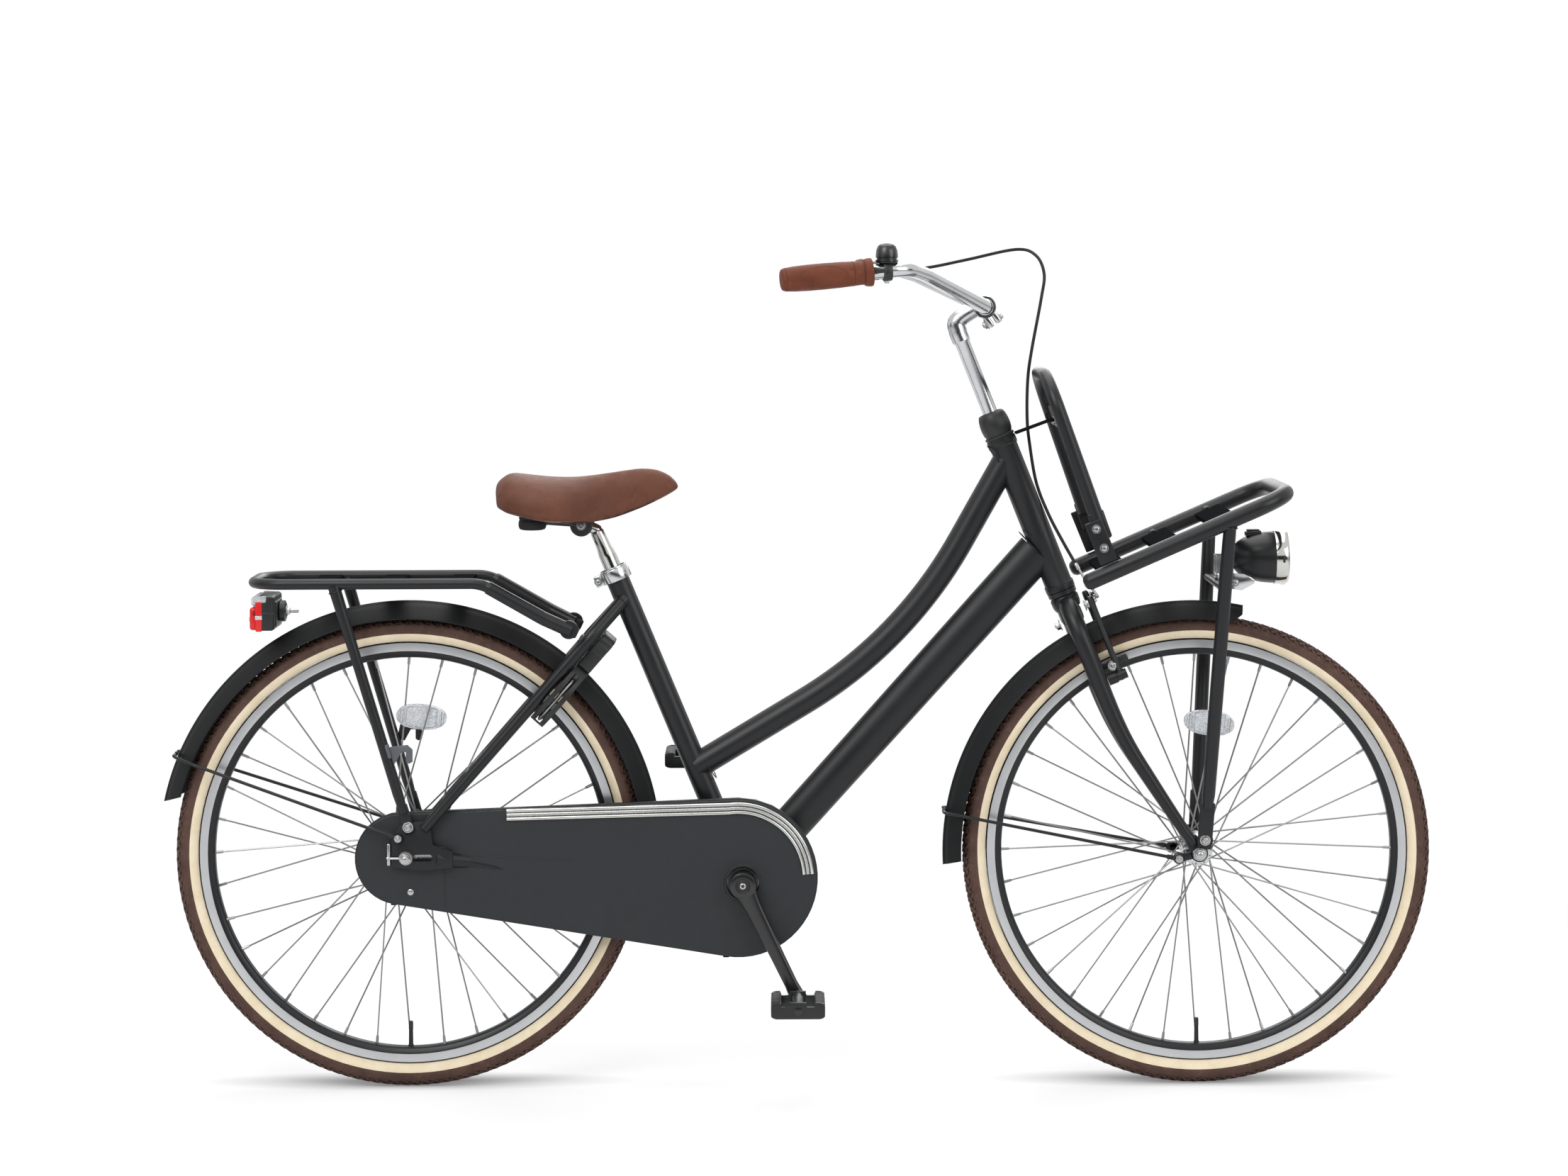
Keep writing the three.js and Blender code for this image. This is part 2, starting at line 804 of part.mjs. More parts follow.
function spokeLines(flangeRadius, flangeOut) {
  const rimEnd = rimInnerRadius * Math.cos(Math.PI / wheelSegments) - fit;
  const lines = [];
  for (const side of sides) {
    for (let n = 0; n < spokesPerFlange; n += 1) {
      const lean = n % 2 === 0 ? 1 : -1;
      const hubAngle = 360 * (n + (side > 0 ? 0.5 : 0)) / spokesPerFlange;
      const rimAngle = hubAngle + lean * spokeCrossAngle;
      const start = radians(hubAngle);
      const end = radians(rimAngle);
      const inset = flangeRadius - spokeHoleInset;
      const from = point(inset * Math.cos(start), side * (flangeOut + lean * spokeStagger),
        inset * Math.sin(start));
      const to = point(rimEnd * Math.cos(end), side * (spokeRimOffset + lean * spokeRimStagger),
        rimEnd * Math.sin(end));
      lines.push({ from, to, side });
    }
  }
  return lines;
}

function hub(profile, lines) {
  const body = turned(profile, tubeSides);
  return join(body, ...lines.map(({ from, to }) => rod(from, to, spokeRadius, spokeSides)));
}

function flangedProfile(left, right, capRadius, barrelRadius, flangeRadius, flangeOut) {
  const bore = axleRadius + 2 * fit;
  const outer = flangeOut + flangeHalfThickness;
  const inner = flangeOut - flangeHalfThickness;
  return [[bore, -right], [capRadius, -right], [capRadius, -outer], [flangeRadius, -outer],
    [flangeRadius, -inner], [barrelRadius, -inner], [barrelRadius, inner], [flangeRadius, inner],
    [flangeRadius, outer], [capRadius, outer], [capRadius, left], [bore, left]];
}

// A reflector sits between the two layers of spokes and clips on where they pass it.
function reflector(lines, place, angle) {
  const ends = (reflectorLength - reflectorHeight) / 2;
  const outline = wrap([[-ends, 0, reflectorHeight / 2], [ends, 0, reflectorHeight / 2]], roundSides);
  const body = plate(outline, -reflectorThickness / 2, reflectorThickness / 2);
  const away = radians(angle);
  const centre = point(place * Math.cos(away), 0, place * Math.sin(away));
  const geometry = geometryOf(body).rotateY(Math.PI / 2 - away).translate(centre.x, 0, centre.z);
  let whole = solid(geometry);
  for (const { from, to, side } of lines) {
    if (side > 0) continue;
    for (let step = 0; step < wheelSegments; step += 1) {
      const near = from.clone().lerp(to, step / wheelSegments);
      const flat = point(near.x, 0, near.z);
      const atPlace = Math.abs(flat.length() - place) < (to.distanceTo(from)) / wheelSegments / 2;
      if (!atPlace || flat.distanceTo(centre) > reflectorLength / 2 - reflectorClipRadius) continue;
      const outer = point(near.x, near.y - reflectorClipRadius / 2, near.z);
      whole = whole.add(rod(flat, outer, reflectorClipRadius, wireSides));
    }
  }
  return cut(whole, ...lines.map(({ from, to }) => rod(from, to, spokeRadius + fit, spokeSides)));
}

const frontWheel = group(bike, frontHub);
const rearWheel = group(bike, rearHub);
const frontSpokes = spokeLines(frontFlangeRadius, frontFlangeOut);
const rearSpokes = spokeLines(rearFlangeRadius, rearFlangeOut);
const frontProfile = flangedProfile(frontHubHalf, frontHubHalf, frontCapRadius, frontBarrelRadius,
  frontFlangeRadius, frontFlangeOut);
const rearProfile = flangedProfile(rearHubLeft, rearHubRight, rearCapRadius, rearBarrelRadius,
  rearFlangeRadius, rearFlangeOut);
piece(frontWheel, 'front_tyre', tyre(), 'tyre');
piece(frontWheel, 'front_rim', rim(), 'rim');
piece(frontWheel, 'front_hub', hub(frontProfile, frontSpokes), 'silver');
piece(frontWheel, 'front_reflector', reflector(frontSpokes, reflectorFrontPlace, reflectorFrontAngle),
  'clear');
piece(rearWheel, 'rear_tyre', tyre(), 'tyre');
piece(rearWheel, 'rear_rim', rim(), 'rim');
piece(rearWheel, 'rear_hub', hub(rearProfile, rearSpokes), 'silver');
piece(rearWheel, 'rear_reflector', reflector(rearSpokes, reflectorRearPlace, reflectorRearAngle), 'clear');

// Frame tubes, each cut back from the tube that it is welded to.
const headEnds = [headTubeStart, headTubeStart + headTubeLength];
const headBore = steererRadius + 2 * fit;
const headTube = turned([[headBore, 0], [headTubeRadius, 0], [headTubeRadius, headTubeLength],
  [headBore, headTubeLength]], roundSides, headLine, steer(0, 0, headTubeStart));
const fatHeadTube = rod(steer(0, 0, headEnds[0] - overrun), steer(0, 0, headEnds[1] + overrun),
  headTubeRadius + fit, roundSides);
const shell = rod(point(bracket.x, -shellHalfWidth, bracket.z), point(bracket.x, shellHalfWidth, bracket.z),
  shellRadius, roundSides);
const fatShell = rod(point(bracket.x, -shellHalfWidth - overrun, bracket.z),
  point(bracket.x, shellHalfWidth + overrun, bracket.z), shellRadius + fit, roundSides);
const shellBore = rod(point(bracket.x, -shellHalfWidth - overrun, bracket.z),
  point(bracket.x, shellHalfWidth + overrun, bracket.z), bracketAxleRadius + 2 * fit, roundSides);
const postBottom = seatTubeLength - seatpostInside;
const seatTubeBody = rod(bracket, onSeatTube(seatTubeLength), seatTubeRadius, roundSides);
const fatSeatTube = rod(bracket, onSeatTube(seatTubeLength + overrun), seatTubeRadius + fit, roundSides);
const seatBore = rod(onSeatTube(postBottom - seatpostInside), onSeatTube(seatTubeLength + overrun),
  seatpostRadius + fit, roundSides);
piece(frame, 'head_tube', headTube, 'frame');
piece(frame, 'seat_tube', cut(join(seatTubeBody, shell), shellBore, seatBore), 'frame');

const topTubeEnds = [onSeatTube(topTubeSeatPlace), steer(0, 0, topTubeHeadPlace)];
const topTubeCorner = bracket.clone().add(point(topTubeBendAhead, 0, topTubeBendRise));
const topTube = tube([topTubeEnds[0], topTubeCorner, topTubeEnds[1]], topTubeRadius, topTubeBendRadius,
  tubeSides, longBendAngle);
piece(frame, 'top_tube', cut(topTube, fatHeadTube, fatSeatTube), 'frame');

const downTubeTop = steer(0, 0, downTubeHeadPlace);
const downLine = heading(bracket, downTubeTop);
const downTube = limb([
  { at: bracket.clone().addScaledVector(downLine, downTubeStartGap), half: downTubeLowerHalf,
    out: downTubeLowerWidth },
  { at: downTubeTop.clone().addScaledVector(downLine, -downTubeEndGap), half: downTubeUpperHalf,
    out: downTubeUpperWidth },
]);
piece(frame, 'down_tube', cut(downTube, fatHeadTube, fatShell, fatSeatTube), 'frame');

// Dropout plates carry the wheel slot and the eyelets, one plate on each side.
const dropoutOutline = dropoutShares.map(([ahead, up]) =>
  [ahead * dropoutFront, axleHeight + (up > 0 ? up * dropoutRise : -up * -dropoutFall)]);
const slotRadius = slotHalfHeight / Math.cos(Math.PI / rodSides);
const slotCut = (grow) => plate(wrap([[slotFrontReach, axleHeight, slotRadius],
  [-dropoutFront, axleHeight, slotRadius]]),
  -grow, grow);
function dropout(side, grow) {
  const inner = Math.min(side * (rearDropoutInner - grow), side
    * (rearDropoutInner + dropoutThickness + grow));
  const outer = inner + dropoutThickness + 2 * grow;
  const rackEye = wrap([[rackEyeletAhead, axleHeight + rackEyeletRise, eyeletRadius + grow],
    [rackEyeletAhead, axleHeight + rackEyeletRise / 2, eyeletRadius + grow]]);
  const stayEye = wrap([[-stayEyeletBehind, axleHeight + stayEyeletRise, stayEyeletRadius + grow],
    [0, axleHeight + stayEyeletRise / 2, stayEyeletRadius + grow]]);
  return join(plate(dropoutOutline, inner, outer), plate(rackEye, inner, outer),
    plate(stayEye, inner, outer));
}

function chainstay(side, grow) {
  const stations = [
    { at: bracket.clone().setY(side * chainstayFrontOut), half: chainstayFrontRadius },
    { at: rear(chainstayMidAhead, side * chainstayMidOut, -chainstayMidDrop), half: chainstayFrontRadius },
    { at: rear(chainstayKneeAhead, side * chainstayKneeOut, -chainstayKneeDrop),
      half: chainstayRearRadius },
    { at: rear(chainstayEndAhead, side * chainstayEndOut, -chainstayEndDrop), half: chainstayRearRadius },
  ];
  return limb(stations.map(({ at, half }) => ({ at, half: half + grow, out: half + grow })), rodSides);
}

const bridgeAhead = fenderRadius + chainstayBridgeRadius + fit;
const bridgeFall = chainstayMidDrop;
const bridgeAlong = Math.sqrt(bridgeAhead ** 2 - bridgeFall ** 2);
const chainstayBridge = rod(rear(bridgeAlong, -chainstayMidOut, -bridgeFall),
  rear(bridgeAlong, chainstayMidOut, -bridgeFall), chainstayBridgeRadius);
const wheelSlot = slotCut(rearDropoutInner + dropoutThickness + overrun);
const chainstays = join(chainstay(-1, 0), chainstay(1, 0), chainstayBridge, dropout(-1, 0), dropout(1, 0));
piece(frame, 'chainstays', cut(chainstays, fatShell, wheelSlot), 'frame');

// The rack's bent tube runs from the lug on one seatstay round the back to the lug on the other.
const rackRun = (side) => [rear(rackLugAhead, side * rackLugOut, rackLugRise),
  rear(rackDropAhead, side * rackOut, rackDropRise), rear(rackKneeAhead, side * rackOut, rackRise),
  rear(-rackRear, side * rackOut, rackRise)];
const rackCorners = [...rackRun(-1), ...rackRun(1).reverse()];
const rackBends = [rackRadius * 2, rackKneeRadius, rackCornerRadius, rackCornerRadius, rackKneeRadius,
  rackRadius * 2];
const rackTube = tube(rackCorners, rackRadius, rackBends, rodSides);
const rackPast = (n, m) => rackCorners[n].clone().addScaledVector(heading(rackCorners[m], rackCorners[n]),
  fit);
const rackPastEnds = [rackPast(0, 1), ...rackCorners.slice(1, -1), rackPast(7, 6)];
const fatRackTube = tube(rackPastEnds, rackRadius + fit, rackBends, rodSides);
const stayTop = (side) => onSeatTube(seatstayTopPlace).setY(side * seatstayTopOut);
const stayBend = (side) => rear(seatstayBendAhead, side * seatstayBendOut, seatstayBendRise);
const stayFoot = (side) => rear(seatstayFootAhead, side * seatstayFootOut, seatstayFootRise);
const seatstay = (side, grow = 0) => tube([stayTop(side), stayBend(side), stayFoot(side)],
  seatstayRadius + grow,
  seatstayBendRadius, rodSides);
const stayHeading = heading(stayFoot(0), stayBend(0));
const bridgeReach = fenderRadius + seatstayBridgeRadius + fit;
const stayNormal = point(stayHeading.z, 0, -stayHeading.x);
const stayOffset = stayFoot(0).sub(rearHub).dot(stayNormal);
const stayBridgeAt = rearHub.clone().addScaledVector(stayHeading, bridgeReach).addScaledVector(stayNormal,
  stayOffset);
const stayBridge = rod(stayBridgeAt.clone().setY(-seatstayBendOut),
  stayBridgeAt.clone().setY(seatstayBendOut),
  seatstayBridgeRadius);
const lugAt = (side, out) => rear(rackLugAhead, side * out, rackLugRise);
const lugRoot = (side) => stayBend(side).lerp(stayTop(side), seatstayLugShare);
const rackLug = (side) => rod(lugRoot(side), lugAt(side, rackLugOut - rackStrutFlat - lugReach),
  lugBoltRadius,
  wireSides);
const fatDropouts = sides.map((side) => dropout(side, fit));
const seatstays = join(seatstay(-1), seatstay(1), stayBridge, rackLug(-1), rackLug(1));
piece(frame, 'seatstays', cut(seatstays, fatSeatTube, fatRackTube, ...fatDropouts), 'frame');

// Seat collar: a split ring with a lip over the tube end, and two ears with a bolt behind.
const collarStart = seatTubeLength - collarHeight + collarLip;
const collarOuter = seatTubeRadius + fit + collarWall;
const collarBore = rod(onSeatTube(collarStart - overrun), onSeatTube(seatTubeLength + fit),
  seatTubeRadius + fit, roundSides);
const postClearance = rod(onSeatTube(collarStart), onSeatTube(seatTubeLength + collarHeight),
  seatpostRadius + 2 * fit, roundSides);
const collarRing = rod(onSeatTube(collarStart), onSeatTube(seatTubeLength + fit + collarLip), collarOuter,
  roundSides);
const behindSeat = point(-seatLine.z, 0, seatLine.x);
const collarMiddle = onSeatTube(seatTubeLength - collarHeight / 2 + collarLip);
const earAt = (out) => collarMiddle.clone().addScaledVector(behindSeat,
  collarOuter + collarEarReach / 3).setY(out);
const earOut = collarSlit / 2 + collarEarThickness;
const collarEars = rod(earAt(-earOut), earAt(earOut), collarHeight / 2);
const collarBolt = rod(earAt(-earOut - collarEarThickness), earAt(earOut + collarEarThickness),
  2 * collarBoltRadius);
const collar = cut(join(collarRing, collarEars, collarBolt), collarBore, postClearance);
piece(frame, 'seat_collar', collar, 'chrome');

// Chain case: an outline round both sprockets, open where the stay, crank and axle pass.
const caseCircles = (grow) => [
  [bracket.x - caseFrontBehind, bracket.z + caseFrontRise, caseFrontRadius + grow],
  [-caseRearBehind, axleHeight - caseRearDrop, caseRearRadius + grow],
];
const caseOutline = (grow) => wrap(caseCircles(grow), caseSides);
const caseFull = plate(caseOutline(0), -caseOuterSide, -caseInnerSide);
const caseHollow = plate(caseOutline(-caseWall), -caseOuterSide + caseWall, -caseInnerSide + overrun);
const crankHole = rod(point(bracket.x, -caseOuterSide - overrun, bracket.z), point(bracket.x, 0, bracket.z),
  caseCrankHole, roundSides);
const caseSlot = block(point((caseSlotFront - caseSlotRear) / 2, -caseOuterSide, axleHeight),
  caseSlotFront + caseSlotRear, 4 * caseWall, 2 * caseSlotHalf);
const fatChainstay = chainstay(-1, 2 * fit);
const caseShell = cut(caseFull, caseHollow, crankHole, caseSlot, fatChainstay);
piece(frame, 'chain_case_cover', caseShell, 'case');
const caseBackPlate = plate(caseOutline(0), -caseInnerSide + fit, -caseInnerSide + fit + caseWall);
const hubHole = rod(point(0, -caseOuterSide, axleHeight), point(0, 0, axleHeight), caseHubHole, roundSides);
const shellHole = rod(point(bracket.x, -caseOuterSide, bracket.z), point(bracket.x, 0, bracket.z),
  caseHubHole + shellRadius - driverRadius, roundSides);
piece(frame, 'chain_case_back', cut(caseBackPlate, hubHole, shellHole, fatChainstay), 'case');

// Trim: an angle strip with two ridges, along the top edge and round the front of the case.
function caseEdgeRoute() {
  const [big, small] = caseCircles(fit);
  const along = Math.atan2(big[1] - small[1], big[0] - small[0]);
  const open = Math.asin((big[2] - small[2]) / Math.hypot(big[0] - small[0], big[1] - small[1]));
  const normal = along + Math.PI / 2 + open;
  const stations = [];
  const startAt = point(small[0] + small[2] * Math.cos(normal), 0, small[1] + small[2] * Math.sin(normal));
  const endAt = point(big[0] + big[2] * Math.cos(normal), 0, big[1] + big[2] * Math.sin(normal));
  const direction = heading(startAt, endAt);
  stations.push({ at: startAt.clone().lerp(endAt, trimStartShare), along: direction.negate() });
  const arcSteps = roundSides;
  for (let step = 0; step <= arcSteps; step += 1) {
    const angle = normal - (normal - radians(trimEndAngle)) * step / arcSteps;
    const out = point(Math.cos(angle), 0, Math.sin(angle));
    const at = point(big[0], 0, big[1]).addScaledVector(out, big[2]);
    stations.push({ at, along: point(-out.z, 0, out.x) });
  }
  return stations.reverse();
}
const trimFace = -caseOuterSide - fit;
const trimRidges = trimShares.map((share, n) => [-share * trimInset,
  trimFace - trimSkin - (n === 2 ? 0 : trimRidge)]);
const trimOutline = [[-trimInset, trimFace], [-trimInset, trimFace - trimSkin], ...trimRidges,
  [0, trimFace - trimSkin - trimRidge], [trimStand, trimFace - trimSkin], [trimStand, trimFace + trimDepth],
  [fit, trimFace + trimDepth], [fit, trimFace]];
piece(frame, 'chain_case_trim', sweep(caseEdgeRoute(), trimOutline), 'chrome');

// Chain: a closed band with the groove that the teeth stand in.
const chainCircles = (grow) => [[bracket.x, bracket.z, chainringPitchRadius + grow],
  [0, axleHeight, sprocketPitchRadius + grow]];
const chainBand = (grow, half) => plate(wrap(chainCircles(grow), chainSides), -chainRightSide - half,
  -chainRightSide + half);
const chain = cut(chainBand(chainHalfHeight, chainHalfWidth),
  chainBand(-chainHalfHeight, chainHalfWidth + overrun),
  chainBand(chainGrooveTeeth * toothTip, chainGrooveHalf));
piece(frame, 'chain', chain, 'steel');

// Arc shell of a fender: a thin curved strip with turned-down edges.
function fenderSection() {
  const outer = fenderShares.map(([down, out]) => [down * fenderDrop, out * fenderHalfWidth]);
  const inner = fenderShares.map(([down, out]) => [Math.max(down * fenderDrop - fenderWall, -fenderDrop),
    out * (fenderHalfWidth) - fenderWall * (out > fenderShares[2][1] ? 1 : out)]);
  const half = [...outer].map(([n, y]) => [n, -y]);
  return [...half, ...outer.slice().reverse(), ...inner,
    ...inner.slice().reverse().map(([n, y]) => [n, -y])];
}
const fenderSide = point(0, -1, 0);
const rearFender = sweep(arcRoute(rearHub, fenderRadius, fenderRearAngle, fenderRearEndAngle, fenderSteps),
  fenderSection(), fenderSide);
piece(frame, 'rear_fender', cut(rearFender, chainstay(-1, 2 * fit), chainstay(1, 2 * fit), fatShell),
  'plastic');

// Fender stay: one wire from eye to eye that goes round behind the fender.
function fenderStay(centre, radius, angle, edge, eyeAt, eyeInner) {
  const out = point(Math.cos(radians(angle)), 0, Math.sin(radians(angle)));
  const turnAt = centre.clone().addScaledVector(out, edge);
  const backAt = centre.clone().addScaledVector(out, radius + fenderStayRadius + fit);
  const eyeOut = eyeInner + fit + 2 * fenderStayRadius;
  const corners = [];
  for (const side of sides) {
    const leg = [eyeAt(side * eyeOut), turnAt.clone().setY(side * fenderStayOut),
      backAt.clone().setY(side * fenderStayOut)];
    corners.push(...(side < 0 ? leg : leg.reverse()));
  }
  const wire = sweep(bentRoute(corners, fenderStayBend), roundOutline(fenderStayRadius, wireSides));
  const eye = (side) => rod(eyeAt(side * (eyeInner + fit)), eyeAt(side * (eyeOut + fenderStayRadius)),
    stayEyeletRadius, wireSides);
  return join(wire, eye(-1), eye(1));
}
const rearEye = (out) => rear(-stayEyeletBehind, out, stayEyeletRise);
const rearStay = fenderStay(rearHub, fenderRadius, fenderStayAngle, fenderStayEdge, rearEye,
  rearDropoutInner + dropoutThickness);
piece(frame, 'rear_fender_stay', rearStay, 'frame');

// Rear rack: slats across the bent tube, and a flattened strut with a hook on each side.
const slats = rackSlatPlaceShares.map((share) => block(rear(share * rackRear, 0, rackRise), rackSlatWidth,
  2 * rackOut, rackSlatThickness));
function strutLimb(top, foot, radius, flat, wide) {
  const near = foot.clone().lerp(top, strutFlatStart);
  const close = foot.clone().lerp(top, strutFlatFull);
  const past = foot.clone().addScaledVector(heading(top, foot), wide);
  return limb([{ at: top, half: radius, out: radius }, { at: near, half: radius, out: radius },
    { at: close, half: wide, out: flat }, { at: past, half: wide * strutTipShare, out: flat }], rodSides);
}
const strutTop = (side) => rear(-rackStrutBehind, side * rackOut, rackRise);
const strutFoot = (side) => rear(rackEyeletAhead, side * rackStrutFootOut, rackEyeletRise);
const rackStrut = (side) => strutLimb(strutTop(side), strutFoot(side), rackRadius, rackStrutFlat,
  rackStrutFlatWide);
function rackHook(side) {
  const share = (rackHookRise - rackEyeletRise) / (rackRise - rackEyeletRise);
  const at = strutFoot(side).lerp(strutTop(side), share);
  const outline = rackHookShares.map(([a, b]) => [at.x + a * rackHookReach,
    at.z + (b - 0.5) * rackHookHeight]);
  return plate(outline, at.y - rackHookThickness / 2, at.y + rackHookThickness / 2);
}
const footBolt = (side) => rod(strutFoot(side), strutFoot(side).addScaledVector(across,
  side * lugBoltRadius),
  lugBoltRadius, wireSides);
const lugBolt = (side) => rod(lugAt(side, rackLugOut), lugAt(side, rackLugOut + lugBoltLength),
  lugBoltRadius,
  wireSides);
const rackParts = sides.flatMap((side) => [rackStrut(side), rackHook(side), footBolt(side), lugBolt(side)]);
const fatStays = sides.map((side) => seatstay(side, 2 * fit));
const rearRack = cut(join(rackTube, ...slats, ...rackParts), ...fatDropouts, ...fatStays);
piece(frame, 'rear_rack', rearRack, 'frame');

// Rear light under the rack tube.
function lightBody(from, to) {
  const middle = axleHeight + lightTopRise - lightHeight / 2;
  const ends = lightHalfWidth - lightHeight / 2;
  const outline = wrap([[-ends, middle, lightHeight / 2], [ends, middle, lightHeight / 2]], roundSides);
  const geometry = geometryOf(plate(outline, 0, to - from));
  return solid(geometry.rotateZ(-Math.PI / 2).translate(from, 0, 0));
}
const ear = block(rear(-rackRear, 0, (rackRise + lightTopRise - rackRadius) / 2), lightEarThickness,
  2 * lightEarHalf, rackRise - lightTopRise + rackRadius);
const lightShell = cut(join(lightBody(-lightRear + lightLensDepth, -lightFront), ear), fatRackTube,
  lightBody(-lightRear - overrun, -lightRear + lightLensDepth + fit / 2));
piece(frame, 'rear_light', lightShell, 'plastic');
piece(frame, 'rear_light_lens', lightBody(-lightRear, -lightRear + lightLensDepth - fit / 2), 'red');

// Ring lock: an open ring round the tyre, just below the seatstays, with its housing on top.
const lockNormal = stayNormal;
const lockPlane = stayOffset + seatstayRadius + fit + lockHalfThickness;
const lockMatrix = new THREE.Matrix4().makeBasis(across, stayHeading, lockNormal.clone().negate());
const lockAt = rearHub.clone().addScaledVector(lockNormal, lockPlane);
lockMatrix.setPosition(lockAt);
const inLock = (body) => solid(geometryOf(body).applyMatrix4(lockMatrix));
function lockPlate(outline, from, to) {
  const shape = new THREE.Shape(outline.map(([a, b]) => new THREE.Vector2(a, b)));
  return solid(new THREE.ExtrudeGeometry(shape, { depth: to - from, bevelEnabled: false }).translate(0, 0,
    from));
}
function lockArc(inner, outer, fromAngle, toAngle, half, steps) {
  const outline = [];
  for (let step = 0; step <= steps; step += 1) {
    const angle = radians(fromAngle + (toAngle - fromAngle) * step / steps);
    outline.push([outer * Math.cos(angle), lockCentre + outer * Math.sin(angle)]);
  }
  for (let step = steps; step >= 0; step -= 1) {
    const angle = radians(fromAngle + (toAngle - fromAngle) * step / steps);
    outline.push([inner * Math.cos(angle), lockCentre + inner * Math.sin(angle)]);
  }
  return lockPlate(outline, -half, half);
}
const lockEnds = [-90 + lockGapAngle, 270 - lockGapAngle];
const lockRing = lockArc(lockInnerRadius, lockOuterRadius, lockEnds[0], lockEnds[1], lockHalfThickness,
  roundSides);
const housingLow = lockCentre + lockInnerRadius + fit;
const lockHousing = lockPlate([[-lockHousingHalf, housingLow], [lockHousingHalf, housingLow],
  [lockHousingHalf, lockHousingTop - lockHousingInset], [lockHousingHalf - lockHousingInset,
    lockHousingTop],
  [-lockHousingHalf + lockHousingInset, lockHousingTop], [-lockHousingHalf,
    lockHousingTop - lockHousingInset]],
  -lockHalfThickness, lockHalfThickness);
const boltStart = 270 - lockGapAngle - lockBoltSweep;
const boltEnd = 270 - lockGapAngle - 1;
const channelHalf = lockBoltRadius + lockBoltPlay;
const lockChannel = lockArc(lockBoltRing - channelHalf, lockBoltRing + channelHalf,
  boltStart - lockChannelSlack,
  lockEnds[1] + lockChannelSlack, channelHalf, roundSides);
const farChannel = lockArc(lockBoltRing - channelHalf, lockBoltRing + channelHalf,
  lockEnds[0] - lockChannelSlack,
  lockEnds[0] + 4 * lockChannelSlack, channelHalf, rodSides);
const knobHalf = lockKnobRadius + lockKnobPlay;
const knobTurn = Math.asin(knobHalf / lockBoltRing) * 180 / Math.PI + lockChannelSlack / 2;
const knobAngle = boltStart + knobTurn;
const lockSlot = lockArc(lockBoltRing, lockOuterRadius + lockHousingTop, knobAngle - knobTurn,
  knobAngle + lockTravelAngle + knobTurn, knobHalf, roundSides);
const lockBody = cut(join(lockRing, lockHousing), lockChannel, farChannel, lockSlot);
piece(frame, 'ring_lock', inLock(lockBody), 'plastic');
const boltArc = lockArc(lockBoltRing - lockBoltRadius, lockBoltRing + lockBoltRadius, boltStart, boltEnd,
  lockBoltRadius, roundSides);
const knobLine = (reach) => point(reach * Math.cos(radians(knobAngle)),
  lockCentre + reach * Math.sin(radians(knobAngle)), 0);
const knob = rod(knobLine(lockBoltRing), knobLine(lockOuterRadius + lockKnobReach), lockKnobRadius);
piece(group(bike), 'lock_bolt', inLock(join(boltArc, knob)), 'steel');

// Rear axle with its locknuts, washers, nuts and the two chain tensioners.
const alongAxle = (centre, from, to, radius, count = rodSides) => rod(centre.clone().setY(from),
  centre.clone().setY(to), radius, count);
function nuts(centre, side, plateInner, plateOuter, packing) {
  const washerEnd = plateOuter + fit + packing;
  return join(
    alongAxle(centre, side * (plateInner - fit - locknutThickness), side * (plateInner - fit),
      locknutRadius,
      wireSides),
    alongAxle(centre, side * (plateOuter + fit), side * washerEnd, washerRadius),
    alongAxle(centre, side * (washerEnd - fit), side * (washerEnd + axleNutThickness), axleNutRadius,
      wireSides));
}
const rearPlateOuter = rearDropoutInner + dropoutThickness;
const rearAxleHalf = rearPlateOuter + washerThickness + axleNutThickness + axleEnd;
function tensioner(side) {
  const mid = side * (rearPlateOuter + fit + washerThickness / 2);
  const rodBody = rod(point(0, mid, axleHeight), point(-tensionerReach, mid, axleHeight),
    washerThickness / 2);
  const capFrom = Math.min(side * (rearDropoutInner - fit), side * (rearPlateOuter + washerThickness));
  const capWidth = dropoutThickness + washerThickness + fit;
  const cap = block(point(-tensionerReach + tensionerThickness / 2, capFrom + capWidth / 2,
    axleHeight + tensionerHalfHeight / 3),
    tensionerThickness, capWidth, 2 * tensionerHalfHeight);
  return join(rodBody, cap);
}
const rearAxle = cut(join(alongAxle(rearHub, -rearAxleHalf, rearAxleHalf, axleRadius),
  nuts(rearHub, -1, rearDropoutInner, rearPlateOuter, washerThickness),
  nuts(rearHub, 1, rearDropoutInner, rearPlateOuter, washerThickness), tensioner(-1), tensioner(1)),
  ...fatDropouts.map((body) => cut(body, wheelSlot)));
piece(frame, 'rear_axle', rearAxle, 'steel');

// Coaster brake arm: from the axle forward to a clip round the left chainstay.
const brakeArmInner = rearHubLeft + fit;
const brakeArmOuter = rearDropoutInner - fit - locknutThickness - fit;
const kneeAt = rear(chainstayKneeAhead, chainstayKneeOut, -chainstayKneeDrop);
const midAt = rear(chainstayMidAhead, chainstayMidOut, -chainstayMidDrop);
const clipAt = kneeAt.clone().lerp(midAt, clipShare);
const clipAlong = heading(kneeAt, midAt);
const clipRadius = chainstayRearRadius + clipShare * (chainstayFrontRadius - chainstayRearRadius);
const clipEnds = [clipAt.clone().addScaledVector(clipAlong, -clipHalf),
  clipAt.clone().addScaledVector(clipAlong, clipHalf)];
const clipRing = rod(clipEnds[0], clipEnds[1], clipRadius + collarWall);
const brakeArmPlate = plate(wrap([[0, axleHeight, washerRadius], [clipAt.x, clipAt.z, clipHalf]]),
  brakeArmInner,
  brakeArmOuter);
const brakeArmLink = rod(clipAt.clone().setY(clipAt.y), clipAt.clone().setY(brakeArmOuter), clipHalf);
